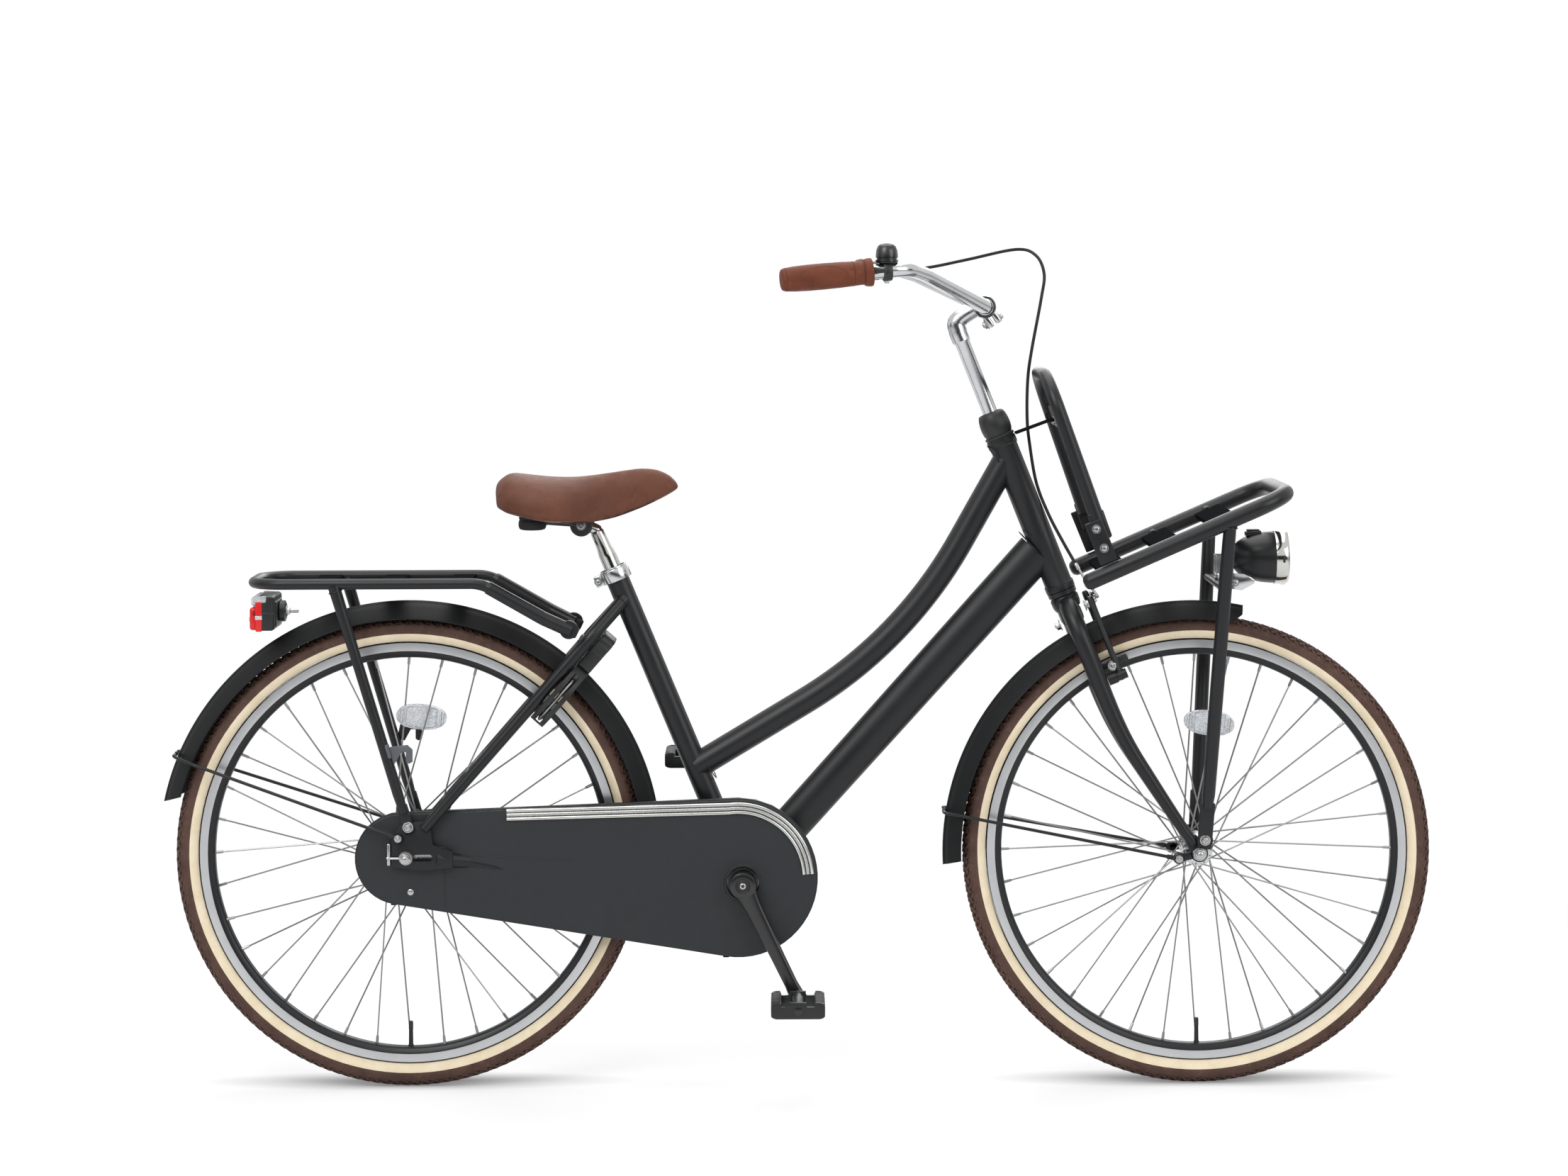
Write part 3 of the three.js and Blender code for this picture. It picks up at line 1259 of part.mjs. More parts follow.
const brakeArm = cut(join(brakeArmPlate, clipRing, brakeArmLink), chainstay(1, 2 * fit),
  alongAxle(rearHub, 0, rearAxleHalf, axleRadius + fit));
piece(frame, 'coaster_brake_arm', brakeArm, 'steel');

// Fork: two bent, tapering legs joined at the crown, with tips, brake bosses and the steerer.
const forkLeg = (side, grow) => limb(forkShares.map(([up, ahead, out, size]) => ({
  at: steer(ahead * forkRake, side * out * forkHalfWidth, up * forkCrownPlace),
  half: size * forkLegRadius + grow,
  out: size * forkLegRadius + grow,
})), rodSides);
const tipInner = frontDropoutInner;
function forkTip(side) {
  const inner = Math.min(side * tipInner, side * (tipInner + forkTipThickness));
  const hubX = frontHub.x;
  const [tipUp, tipAhead] = forkShares[forkShares.length - 1];
  const legEnd = steer(tipAhead * forkRake, 0, tipUp * forkCrownPlace);
  const body = wrap([[hubX, axleHeight, forkTipRadius], [legEnd.x, legEnd.z, forkTipRadius]], wireSides);
  const eyelet = wrap([[hubX - forkEyeletBehind, axleHeight - forkEyeletDrop, stayEyeletRadius],
    [hubX, axleHeight, stayEyeletRadius]],
    wireSides);
  const strutEyelet = wrap([[hubX + forkStrutEyeletAhead, axleHeight + forkStrutEyeletRise,
    stayEyeletRadius],
    [hubX, axleHeight, stayEyeletRadius]], wireSides);
  return join(...[body, eyelet, strutEyelet].map((outline) =>
    plate(outline, inner, inner + forkTipThickness)));
}
const frontSlot = plate(wrap([[frontHub.x, axleHeight, slotRadius],
  [frontHub.x, axleHeight - 4 * forkTipRadius, slotRadius]]),
  -2 * forkHalfWidth, 2 * forkHalfWidth);
const stud = (side, from, to, radius) => rod(steer(from, side * brakeStudOut, brakeStudPlace),
  steer(to, side * brakeStudOut, brakeStudPlace), radius);
const armBack = brakeStudForward - armThickness;
const brakeBosses = sides.flatMap((side) => [stud(side, 0, armBack - fit, brakeBossRadius),
  stud(side, armBack - overrun, brakeStudForward + fit, brakeStudRadius)]);
const steerer = rod(steer(0, 0, forkCrownPlace), steer(0, 0, steererEnd), steererRadius, roundSides);
const steererHole = rod(steer(0, 0, steererEnd - 2 * stemPlugLength), steer(0, 0, steererEnd + overrun),
  steererBore,
  roundSides);
const crownRace = rod(steer(0, 0, forkCrownPlace), steer(0, 0, headTubeStart - fit), headTubeRadius,
  roundSides);
const fork = cut(join(forkLeg(-1, 0), forkLeg(1, 0), steerer, crownRace, forkTip(-1), forkTip(1),
  ...brakeBosses),
  frontSlot, steererHole);
piece(steering, 'fork', fork, 'frame');

const headsetStart = headEnds[1] + fit;
const headsetBore = steererRadius + fit;
const headsetProfile = [[headsetBore, 0], [headsetRadius, 0], [headsetRadius, headsetNeckPlace - overrun],
  [headsetTopRadius, headsetNeckPlace], [headsetNeckRadius, headsetNeckPlace],
  [headsetNeckRadius, headsetNeckPlace + headsetNeckHeight],
    [headsetTopRadius, headsetNeckPlace + headsetNeckHeight],
  [headsetTopRadius, headsetHeight], [headsetBore, headsetHeight]];
piece(steering, 'headset_cap', turned(headsetProfile, roundSides, headLine, steer(0, 0, headsetStart)),
  'frame');

// Stem: quill with a plug in the steerer, a short arm and the bar clamp.
const stemStart = headsetStart + headsetHeight + fit;
const stemTop = steer(0, 0, stemTopPlace);
const clampAt = stemTop.clone().add(point(clampAhead, 0, clampRise));
const stemQuill = rod(steer(0, 0, stemStart), stemTop, stemRadius, roundSides);
const stemPlug = rod(steer(0, 0, stemStart - stemPlugLength), steer(0, 0, stemStart + overrun),
  stemPlugRadius,
  roundSides);
const stemDome = solid(new THREE.SphereGeometry(stemRadius + fit, rodSides,
  wireSides).translate(...stemTop));
const stemArm = rod(stemTop.clone().addScaledVector(headLine, -stemArmRadius / 2), clampAt, stemArmRadius);
const clampBody = alongAxle(clampAt, -clampHalfLength, clampHalfLength, clampRadius, roundSides);
const clampBolt = rod(clampAt.clone().add(point(overrun, 0, 0)),
  clampAt.clone().add(point(overrun, 0, -stemBoltReach)),
  2 * stemBoltRadius, wireSides);
const barBore = alongAxle(clampAt, -clampHalfLength - overrun, clampHalfLength + overrun,
  barSleeveRadius + fit,
  roundSides);
const stem = cut(join(stemQuill, stemPlug, stemDome, stemArm, clampBody, clampBolt), barBore);
piece(steering, 'stem', stem, 'chrome');

// Handlebar: a swept-back bar in one bent tube, with a sleeve in the clamp.
const barPoint = (side) => barShares.map(([back, out, up]) =>
  clampAt.clone().add(point(-back * barReach, side * out * barHalfWidth, up * barRise)));
const barBends = [barFirstBend, barMiddleBend, barGripBend];
const barCorners = [...barPoint(-1).reverse(), ...barPoint(1)];
const barTube = tube(barCorners, barRadius, [...barBends.slice().reverse(), ...barBends]);
const barSleeve = alongAxle(clampAt, -barSleeveHalf, barSleeveHalf, barSleeveRadius, roundSides);
piece(steering, 'handlebar', join(barTube, barSleeve), 'chrome');

const gripEnd = (side) => barPoint(side)[3];
const gripBack = (side) => heading(barPoint(side)[3], barPoint(side)[2]);
const onGrip = (side, place) => gripEnd(side).addScaledVector(gripBack(side), place);
function grip(side) {
  const bore = barRadius + fit;
  const tail = -gripEndCap;
  const outline = gripShares.map(([share, size]) => [size * gripRadius,
    tail + share * (gripLength - gripCollarLength)]);
  const collarFrom = gripLength + tail - gripCollarLength;
  const profile = [[0, tail], ...outline, [gripCollarRadius, collarFrom],
    [gripCollarRadius, gripLength + tail],
    [bore, gripLength + tail], [bore, fit], [0, fit]];
  return turned(profile, tubeSides, gripBack(side), gripEnd(side).addScaledVector(gripBack(side), -fit));
}
piece(steering, 'grip_right', grip(-1), 'grip');
piece(steering, 'grip_left', grip(1), 'grip');

// Bell: a clamp round the bar in front of the right grip, a post and a domed shell on it.
const gripFront = gripLength - gripEndCap;
const clampRing = (side, from, width, outer) => cut(
  rod(onGrip(side, from), onGrip(side, from + width), outer, tubeSides),
  rod(onGrip(side, from - overrun), onGrip(side, from + width + overrun), barRadius + fit, tubeSides));
const bellStart = gripFront + bellPlace;
const bellMiddle = onGrip(-1, bellStart + bellClampWidth / 2);
const bellFoot = bellMiddle.clone().add(point(0, 0, barRadius + fit + 2 * fit));
const bellBase = bellMiddle.clone().add(point(0, 0, bellLift));
const bellProfile = bellShares.map(([radius, rise]) => [radius * bellRadius, rise * bellHeight]);
const bellDome = turned(bellProfile, roundSides, upward, bellBase.clone().add(point(0, 0, fit)));
const bellPost = rod(bellFoot, bellBase.clone().add(point(0, 0, 2 * fit + bellPostRadius)),
  2 * bellPostRadius);
const bellClamp = clampRing(-1, bellStart, bellClampWidth, bellClampRadius);
piece(steering, 'bell', join(bellClamp, bellPost, bellDome), 'gloss');
const bellLeverRoot = bellMiddle.clone().add(point(0, -bellClampRadius - bellLeverRadius - fit, 0));
const bellLeverTip = bellLeverRoot.clone().add(point(-bellLeverReach, 0, 0));
const bellLever = limb([{ at: bellLeverRoot, half: bellLeverRadius, out: bellLeverRadius },
  { at: bellLeverTip, half: 2 * bellLeverRadius, out: bellLeverRadius / 2 }], rodSides);
piece(group(steering), 'bell_lever', bellLever, 'plastic');

// Brake lever: a clamp round the bar in front of the left grip, and the blade on its pivot.
const leverStart = gripFront + leverClampPlace;
const leverMiddle = onGrip(1, leverStart + leverClampWidth / 2);
const pivotAt = leverMiddle.clone().add(point(leverPivotAhead, leverPivotOut, 0));
const pivotPin = rod(pivotAt.clone().add(point(0, 0, -leverPivotHeight)),
  pivotAt.clone().add(point(0, 0, leverPivotHeight)),
  leverPinRadius);
const leverArm = rod(leverMiddle.clone().addScaledVector(across, barRadius + collarWall / 2), pivotAt,
  leverPivotRadius);
const bladeGap = rod(pivotAt.clone().add(point(0, 0, -leverBladeThick - fit)),
  pivotAt.clone().add(point(0, 0, leverBladeThick + fit)), 2 * leverPivotRadius);
const pivotHead = rod(pivotAt.clone().add(point(0, 0, -leverPivotHeight)),
  pivotAt.clone().add(point(0, 0, leverPivotHeight)),
  leverPivotRadius);
const leverClamp = clampRing(1, leverStart, leverClampWidth, bellClampRadius);
const bridgeBack = block(pivotAt.clone().add(point(0, -2 * leverPivotRadius - collarWall / 2, 0)),
  2 * leverPivotRadius,
  collarWall, 2 * leverPivotHeight);
const leverBore = rod(onGrip(1, leverStart - overrun), onGrip(1, leverStart + leverClampWidth + overrun),
  barRadius + fit,
  tubeSides);
const leverMount = join(cut(join(leverArm, pivotHead, bridgeBack), bladeGap, leverBore), pivotPin,
  leverClamp);
piece(steering, 'brake_lever_mount', leverMount, 'plastic');
const bladeWay = radians(180 - leverBladeAngle);
const bladeTip = pivotAt.clone().add(point(leverBladeLength * Math.cos(bladeWay),
  leverBladeLength * Math.sin(bladeWay), 0));
const bladeEye = rod(pivotAt.clone().add(point(0, 0, -leverBladeThick)),
  pivotAt.clone().add(point(0, 0, leverBladeThick)),
  leverPivotRadius);
const blade = limb([{ at: pivotAt, half: leverBladeThick, out: leverBladeWide / 2 },
  { at: pivotAt.clone().lerp(bladeTip, 0.5), half: leverBladeThick, out: leverBladeWide / 2 },
  { at: bladeTip, half: leverBladeThick, out: leverBladeWide / 2 }], rodSides);
const brakeLever = cut(join(blade, bladeEye), rod(pivotAt.clone().add(point(0, 0, -2 * leverPivotHeight)),
  pivotAt.clone().add(point(0, 0, 2 * leverPivotHeight)), leverPinRadius + fit));
piece(group(steering), 'brake_lever', brakeLever, 'plastic');

// Front rim brake: an arm on each stud, with its pad beside the brake track.
const steerMatrix = new THREE.Matrix4().makeBasis(headForward, across, headLine).setPosition(headFoot);
const inSteering = (body) => solid(geometryOf(body).applyMatrix4(steerMatrix));
function brakeArmBody(side) {
  const outline = wrap([[side * brakeStudOut, brakeStudPlace, armPivotRadius],
    [side * armTopOut, armTopPlace, armTopRadius]]);
  const shape = new THREE.Shape(outline.map(([a, b]) => new THREE.Vector2(a, b)));
  const geometry = new THREE.ExtrudeGeometry(shape, { depth: armThickness, bevelEnabled: false });
  const basis = new THREE.Matrix4().makeBasis(across, upward, point(1, 0, 0));
  const body = inSteering(solid(geometry.translate(0, 0, armBack).applyMatrix4(basis)));
  const trackRadius = rimOuterRadius - brakeTrackDepth / 2;
  const studAt = steer(brakeStudForward - armThickness / 2, 0, brakeStudPlace);
  const out = heading(frontHub, studAt);
  const padAt = frontHub.clone().addScaledVector(out, trackRadius - padDrop);
  const padOut = side * (rimHalfWidth + padGap + padDepth / 2);
  const padTurn = Math.atan2(out.x, out.z);
  const padBody = geometryOf(block(point(0, 0, 0), padLength, padDepth, padHeight)).rotateY(padTurn);
  const pad = solid(padBody.translate(padAt.x, padOut, padAt.z));
  const post = rod(padAt.clone().setY(padOut), padAt.clone().setY(side * brakeStudOut), padPostRadius);
  return cut(join(body, pad, post), stud(side, 0, brakeStudForward + overrun, brakeStudRadius + fit));
}
piece(group(steering), 'brake_arm_right', brakeArmBody(-1), 'plastic');
piece(group(steering), 'brake_arm_left', brakeArmBody(1), 'plastic');

// Brake cable: one run from the lever, round in front of the bar and down to the brake.
const cableStart = pivotAt.clone().add(point(leverPivotRadius + fit, 0, 0));
const cablePoints = [cableStart, ...cablePlaces.map((place) => point(...place)),
  steer(linkForward, -armTopOut, armTopPlace + 2 * armTopOut),
  steer(linkForward, -armTopOut, armTopPlace + armTopRadius),
    steer(linkForward, -armTopOut / 2, armTopPlace),
  steer(linkForward, 0, armTopPlace), steer(linkForward, armTopOut, armTopPlace)];
const cableCurve = new THREE.CatmullRomCurve3(cablePoints, false, 'centripetal');
const cableShape = new THREE.Shape(roundOutline(cableRadius,
  wireSides).map(([a, b]) => new THREE.Vector2(a, b)));
const cable = solid(new THREE.ExtrudeGeometry(cableShape, { steps: cableSteps, extrudePath: cableCurve }));
piece(steering, 'brake_cable', cut(cable, clampRing(1, leverStart, leverClampWidth, bellClampRadius + fit),
  rod(pivotAt, leverMiddle, leverPivotRadius + fit)), 'plastic');

// Front fender with the tab up to the fork crown.
const frontFenderCentre = front(-frontFenderBack, 0, -frontFenderDrop);
const frontFenderBody = sweep(arcRoute(frontFenderCentre, frontFenderRadius, frontFenderEnd,
  frontFenderStart,
  frontFenderSteps), fenderSection(), fenderSide);
const crownUnder = forkCrownPlace - forkLegRadius - fit;
const fenderTab = rod(steer(0, 0, crownUnder - forkLegRadius), steer(0, 0, crownUnder - fit),
  brakeBossRadius);
const fenderTop = frontFenderCentre.clone().addScaledVector(heading(frontFenderCentre,
  steer(0, 0, crownUnder)),
  frontFenderRadius - fenderWall);
const fenderTie = rod(fenderTop, steer(0, 0, crownUnder - forkLegRadius / 2), brakeBossRadius);
const frontFender = cut(join(frontFenderBody, fenderTab, fenderTie), forkLeg(-1, fit), forkLeg(1, fit));
piece(steering, 'front_fender', frontFender, 'plastic');
const frontEye = (out) => front(-forkEyeletBehind, out, -forkEyeletDrop);
const frontStay = fenderStay(frontFenderCentre, frontFenderRadius, frontStayAngle, frontStayEdge, frontEye,
  tipInner + forkTipThickness);
piece(steering, 'front_fender_stay', frontStay, 'frame');

// Front carrier: a U of thick tube, slats, two struts and the bar that carries the lamp.
const slopeLine = point(Math.cos(radians(carrierSlope)), 0, Math.sin(radians(carrierSlope)));
const onCarrier = (place, out) => front(-carrierRearBehind, out, carrierRearRise).addScaledVector(slopeLine,
  place);
const carrierCorners = [onCarrier(0, -carrierOut), onCarrier(carrierLength, -carrierOut),
  onCarrier(carrierLength, carrierOut), onCarrier(0, carrierOut)];
const carrierTube = tube(carrierCorners, carrierRadius, carrierCornerRadius);
const fatCarrier = tube(carrierCorners, carrierRadius + fit, carrierCornerRadius);
function carrierSlat(share) {
  const body = new THREE.BoxGeometry(carrierSlatWidth, 2 * carrierOut, carrierSlatThickness);
  const at = onCarrier(share * carrierLength, 0);
  return solid(body.rotateY(-radians(carrierSlope)).translate(at.x, 0, at.z));
}
const carrierStrutPlace = (carrierRearBehind + carrierStrutTopAhead) / slopeLine.x;
const carrierStrutTop = (side) => onCarrier(carrierStrutPlace, side * carrierOut);
const carrierStrutFoot = (side) => front(forkStrutEyeletAhead, side * carrierStrutFootOut,
  forkStrutEyeletRise);
const carrierStrut = (side) => strutLimb(carrierStrutTop(side), carrierStrutFoot(side), carrierStrutRadius,
  rackStrutFlat, stayEyeletRadius);
const barShare = (carrierBarRise - forkStrutEyeletRise) / (carrierStrutTop(1).z - carrierStrutFoot(1).z);
const carrierBarEnd = (side) => carrierStrutFoot(side).lerp(carrierStrutTop(side), barShare);
const carrierBar = rod(carrierBarEnd(-1), carrierBarEnd(1), carrierBarRadius);
const lampAxis = front(lampRearAhead, 0, lampRise);
const lampPivot = lampAxis.clone().add(point(-lampEarRadius - 3 * fit, 0, 0));
function lampEar(side) {
  const inner = Math.min(side * (lampBossHalf + fit), side * (lampBossHalf + fit + lampEarThickness));
  const outline = wrap([[lampPivot.x, lampPivot.z, lampEarRadius],
    [carrierBarEnd(1).x, carrierBarEnd(1).z, lampEarRadius]]);
  return plate(outline, inner, inner + lampEarThickness);
}
const lampPin = alongAxle(lampPivot, -lampBossHalf - lampEarThickness - fit,
  lampBossHalf + lampEarThickness + fit, lampPinRadius, wireSides);
const carrier = join(carrierTube, ...carrierSlatPlaceShares.map(carrierSlat), carrierStrut(-1),
  carrierStrut(1),
  carrierBar, lampEar(-1), lampEar(1), lampPin);
piece(steering, 'front_carrier', carrier, 'frame');

// Carrier back: a hoop on two straps, tied to the headset by a plate and a strip.
const hoopFoot = (side) => front(-hoopFootBehind, side * hoopOut, hoopFootRise);
const hoopTop = (side) => front(-hoopTopBehind, side * hoopOut, hoopTopRise);
const hoopTube = tube([hoopFoot(-1), hoopTop(-1), hoopTop(1), hoopFoot(1)], hoopRadius, hoopCornerRadius,
  rodSides);
function strap(side) {
  const top = hoopFoot(side).lerp(hoopTop(side), strapTopShare);
  const foot = onCarrier((hoopFoot(side).x + strapFootAhead - onCarrier(0, 0).x) / slopeLine.x,
    side * carrierOut);
  foot.z += carrierRadius / 2;
  const outer = side * (carrierOut + strapThickness / 2);
  const inner = side * (carrierOut - strapThickness / 2 - (carrierOut - hoopOut) / 2);
  const outline = wrap([[top.x, top.z, strapWidth / 2], [foot.x, foot.z, strapWidth / 2]]);
  return plate(outline, Math.min(inner, outer), Math.max(inner, outer));
}
const plateAt = hoopFoot(0).lerp(hoopTop(0), plateShare);
const plateTurn = Math.atan2(hoopTop(0).x - hoopFoot(0).x, hoopTop(0).z - hoopFoot(0).z);
const backPlate = solid(new THREE.BoxGeometry(plateThickness, 2 * hoopOut, plateHeight).rotateY(plateTurn)
  .translate(plateAt.x, 0, plateAt.z));
const neckPlace = headsetStart + headsetNeckPlace + headsetNeckHeight / 2;
const stripHalf = headsetNeckHeight / 2 - fit;
const neckRing = cut(rod(steer(0, 0, neckPlace - stripHalf), steer(0, 0, neckPlace + stripHalf),
  headsetRadius, roundSides),
  rod(steer(0, 0, neckPlace - headsetHeight), steer(0, 0, neckPlace + headsetHeight),
    headsetNeckRadius + fit, roundSides));
const stripStart = steer((headsetNeckRadius + headsetRadius) / 2, 0, neckPlace);
const headStrip = limb([{ at: stripStart, half: stripHalf, out: headStripHalf },
  { at: steer(2 * headsetRadius, 0, neckPlace), half: stripHalf, out: headStripHalf },
  { at: plateAt, half: stripHalf, out: headStripHalf }], 4);
const stripSquare = cut(headStrip, rod(steer(0, 0, neckPlace - headsetHeight),
  steer(0, 0, neckPlace + headsetHeight),
  headsetNeckRadius + fit, roundSides));
const carrierBack = cut(join(hoopTube, strap(-1), strap(1), backPlate, neckRing, stripSquare), fatCarrier);
piece(steering, 'carrier_back', carrierBack, 'frame');

const tipOuter = tipInner + forkTipThickness;
const frontAxleHalf = tipOuter + axleNutThickness + washerThickness + axleEnd;
const frontAxle = join(alongAxle(frontHub, -frontAxleHalf, frontAxleHalf, axleRadius),
  nuts(frontHub, -1, tipInner, tipOuter, washerThickness), nuts(frontHub, 1, tipInner, tipOuter,
    washerThickness));
piece(steering, 'front_axle', frontAxle, 'steel');

// Headlamp: an open bowl with a rear boss between the ears, a lens and a bezel.
const lampForward = point(1, 0, 0);
const bowlOuter = lampShares.map(([along, size]) => [size * lampRadius, along * lampLength]);
const bowlInner = lampShares.slice(1).map(([along, size]) =>
  [size * lampRadius - lampWall, along * lampLength])
  .reverse();
const bowlProfile = [[0, 0], ...bowlOuter, ...bowlInner, [0, lampShares[1][0] * lampLength]];
const lampBowl = turned(bowlProfile, roundSides, lampForward, lampAxis);
const lampBoss = alongAxle(lampPivot, -lampBossHalf, lampBossHalf, lampBossRadius);
const lampNeck = rod(lampPivot, lampAxis.clone().add(point(lampBossRadius, 0, 0)), lampBossRadius);
const pinHole = alongAxle(lampPivot, -4 * lampBossHalf, 4 * lampBossHalf, lampPinRadius + fit);
const switchAt = lampAxis.clone().add(point(switchAhead, 0, lampShares[3][1] * lampRadius));
const switchSpan = (grow, low, high) => block(switchAt.clone().add(point(0, 0, (low + high) / 2)),
  switchLength + 2 * grow, 2 * (switchHalfWidth + grow), high - low);
const switchBoss = switchSpan(switchSeat, -switchSeat, switchSeat / 2);
const switchWell = switchSpan(fit, -switchTravel - fit, 2 * switchSeat);
const lampHousing = cut(join(lampBowl, cut(switchBoss, turned([[0, 0], ...lampShares.map(([along, size]) =>
  [size * lampRadius - lampWall, along * lampLength]), [0, lampLength]], roundSides, lampForward,
    lampAxis)),
lampBoss, lampNeck), pinHole, switchWell);
const lampGroup = group(steering);
piece(lampGroup, 'headlamp_housing', lampHousing, 'gloss');
const mouth = lampLength + fit;
const bezelProfile = [[lampLensRadius + fit, mouth], [lampBezelRadius, mouth],
  [lampBezelRadius, mouth + lampBezelDepth * lampBezelStraight],
  [lampLensRadius, mouth + lampBezelDepth], [lampLensRadius - lampWall, mouth + lampBezelDepth],
  [lampLensRadius - lampWall, mouth + lampLensThickness + fit],
    [lampLensRadius + fit, mouth + lampLensThickness + fit]];
piece(lampGroup, 'headlamp_bezel', turned(bezelProfile, roundSides, lampForward, lampAxis), 'chrome');
const lensProfile = [[0, mouth], [lampLensRadius, mouth], [lampLensRadius, mouth + lampLensThickness],
  [lampLensRadius - 2 * lampWall, mouth + lampLensThickness],
    [lampLensRadius / 2, mouth + lampLensDome + lampLensThickness],
  [0, mouth + lampLensDome + lampLensThickness + fit]];
piece(lampGroup, 'headlamp_lens', turned(lensProfile, roundSides, lampForward, lampAxis), 'clear');
piece(group(lampGroup), 'headlamp_switch', switchSpan(0, 0, switchHeight + switchTravel), 'plastic');

// Crankset: axle, two arms with pedal spindles, chainring.
const crankset = group(bike, bracket);
const armWay = (side) => radians(crankAngle + (side > 0 ? 180 : 0));
const crankEnd = (side, out) => point(crankLength * Math.cos(armWay(side)), side * out,
  crankLength * Math.sin(armWay(side)));
function crank(side) {
  const root = (out) => point(0, side * out, 0);
  const boss = rod(root(crankBossInner), root(crankBossOuter), crankBossRadius, roundSides);
  const neck = rod(root(shellHalfWidth + overrun), root(crankBossInner + overrun), crankNeckRadius,
    roundSides);
  const cap = rod(root(crankBossOuter - fit), root(crankBossOuter + crankCapHeight), crankCapRadius);
  const arm = limb([
    { at: root(crankArmMid), half: crankWideStart / 2, out: crankDeepStart / 2 },
    { at: root(crankArmMid).lerp(crankEnd(side, crankArmEnd), crankWaist), half: crankWideEnd / 2,
      out: crankDeepEnd / 2 },
    { at: root(crankArmMid).lerp(crankEnd(side, crankArmEnd), crankWrist), half: crankWideEnd / 2,
      out: crankDeepEnd / 2 },
    { at: crankEnd(side, crankArmEnd), half: crankWideEnd / 2, out: crankDeepEnd / 2 },
  ], rodSides);
  const eye = rod(crankEnd(side, crankArmEnd - crankDeepEnd / 2),
    crankEnd(side, crankArmEnd + crankDeepEnd / 2), crankEyeRadius);
  const spindle = rod(crankEnd(side, crankArmEnd), crankEnd(side, pedalInner + pedalWidth - overrun),
    pedalAxleRadius);
  const axleHole = rod(root(0), root(bracketAxleHalf + fit), bracketAxleRadius + fit, roundSides);
  return cut(join(boss, neck, cap, arm, eye, spindle), axleHole);
}
piece(crankset, 'crank_axle', rod(point(0, -bracketAxleHalf, 0), point(0, bracketAxleHalf, 0),
  bracketAxleRadius,
  roundSides), 'steel');
piece(crankset, 'crank_right', crank(-1), 'plastic');
piece(crankset, 'crank_left', crank(1), 'plastic');
const ringSides = [-chainRightSide - sprocketThickness / 2, -chainRightSide + sprocketThickness / 2];
const chainring = cut(plate(roundOutline(chainringPitchRadius, chainSides), ...ringSides),
  rod(point(0, -caseOuterSide, 0), point(0, 0, 0), crankNeckRadius + fit, roundSides));
piece(crankset, 'chainring', chainring, 'steel');
const sprocketGroup = group(bike, rearHub);
const sprocketDisc = plate(roundOutline(sprocketPitchRadius, chainSides), ...ringSides);
const driver = rod(point(0, -driverEnd, 0), point(0, -rearHubRight - fit, 0), driverRadius, roundSides);
const driverBore = rod(point(0, -2 * driverEnd, 0), point(0, 0, 0), axleRadius + 2 * fit, roundSides);
piece(sprocketGroup, 'sprocket', cut(join(sprocketDisc, driver), driverBore), 'steel');

// Pedal: a barrel on the spindle, two end plates and two tread bars.
function pedal(side) {
  const place = (out) => side * (pedalInner + out);
  const span = (from, to) => [Math.min(place(from), place(to)), Math.max(place(from), place(to))];
  const barrel = rod(point(0, place(0), 0), point(0, place(pedalWidth), 0), pedalBarrelRadius);
  const corner = pedalBarDepth / 4;
  const endX = pedalLength / 2 - corner;
  const endZ = pedalHeight / 2 - corner;
  const outline = wrap([[-endX, -endZ, corner], [endX, -endZ, corner], [endX, endZ, corner],
    [-endX, endZ, corner]],
    pedalCornerSides);
  const ends = [plate(outline, ...span(0, pedalEndPlate)), plate(outline,
    ...span(pedalWidth - pedalEndPlate, pedalWidth))];
  const barAt = pedalLength / 2 - pedalBarDepth / 2;
  const bars = sides.map((way) => block(point(way * barAt, place(pedalWidth / 2), 0), pedalBarDepth,
    pedalWidth,
    pedalHeight - 2 * pedalStep));
  const bore = rod(point(0, place(-overrun), 0), point(0, place(pedalWidth - pedalEndPlate / 2), 0),
    pedalBoreRadius);
  return cut(join(barrel, ...ends, ...bars), bore);
}
piece(group(crankset, crankEnd(-1, 0).setY(0)), 'pedal_right', pedal(-1), 'plastic');
piece(group(crankset, crankEnd(1, 0).setY(0)), 'pedal_left', pedal(1), 'plastic');

// Seat: post with clamp and rails, a base with two springy blocks, and the cover.
const seat = group(bike);
const clampCentre = rear(seatClampAhead, 0, seatClampRise);
const postTop = rear(seatpostTopAhead, 0, seatpostTopRise);
const postOnLine = onSeatTube(postTop.clone().sub(bracket).dot(seatLine));
const seatPost = rod(onSeatTube(postBottom), postOnLine, seatpostRadius, roundSides);
const seatClamp = alongAxle(clampCentre, -seatClampHalf, seatClampHalf, seatClampRadius);
const seatNeck = rod(postOnLine.clone().addScaledVector(seatLine, -seatClampRadius), clampCentre,
  seatpostRadius);
const seatBolt = alongAxle(clampCentre, -seatBoltHalf, seatBoltHalf, seatBoltRadius, 6);
const railRearRise = elastomerLow - fit - railRadius;
const railCorners = (side) => [rear(elastomerAhead - elastomerRadius, side * elastomerOut, railRearRise),
  rear(elastomerAhead + elastomerRadius, side * elastomerOut, railRearRise),
  rear(seatClampAhead, side * railOut, seatClampRise), rear(railFrontAhead, side * railFrontOut,
    railFrontRise)];
const rail = (side) => tube(railCorners(side), railRadius, railBend, wireSides);
const fatRail = (side) => tube(railCorners(side), railRadius + 2 * fit, railBend, wireSides);

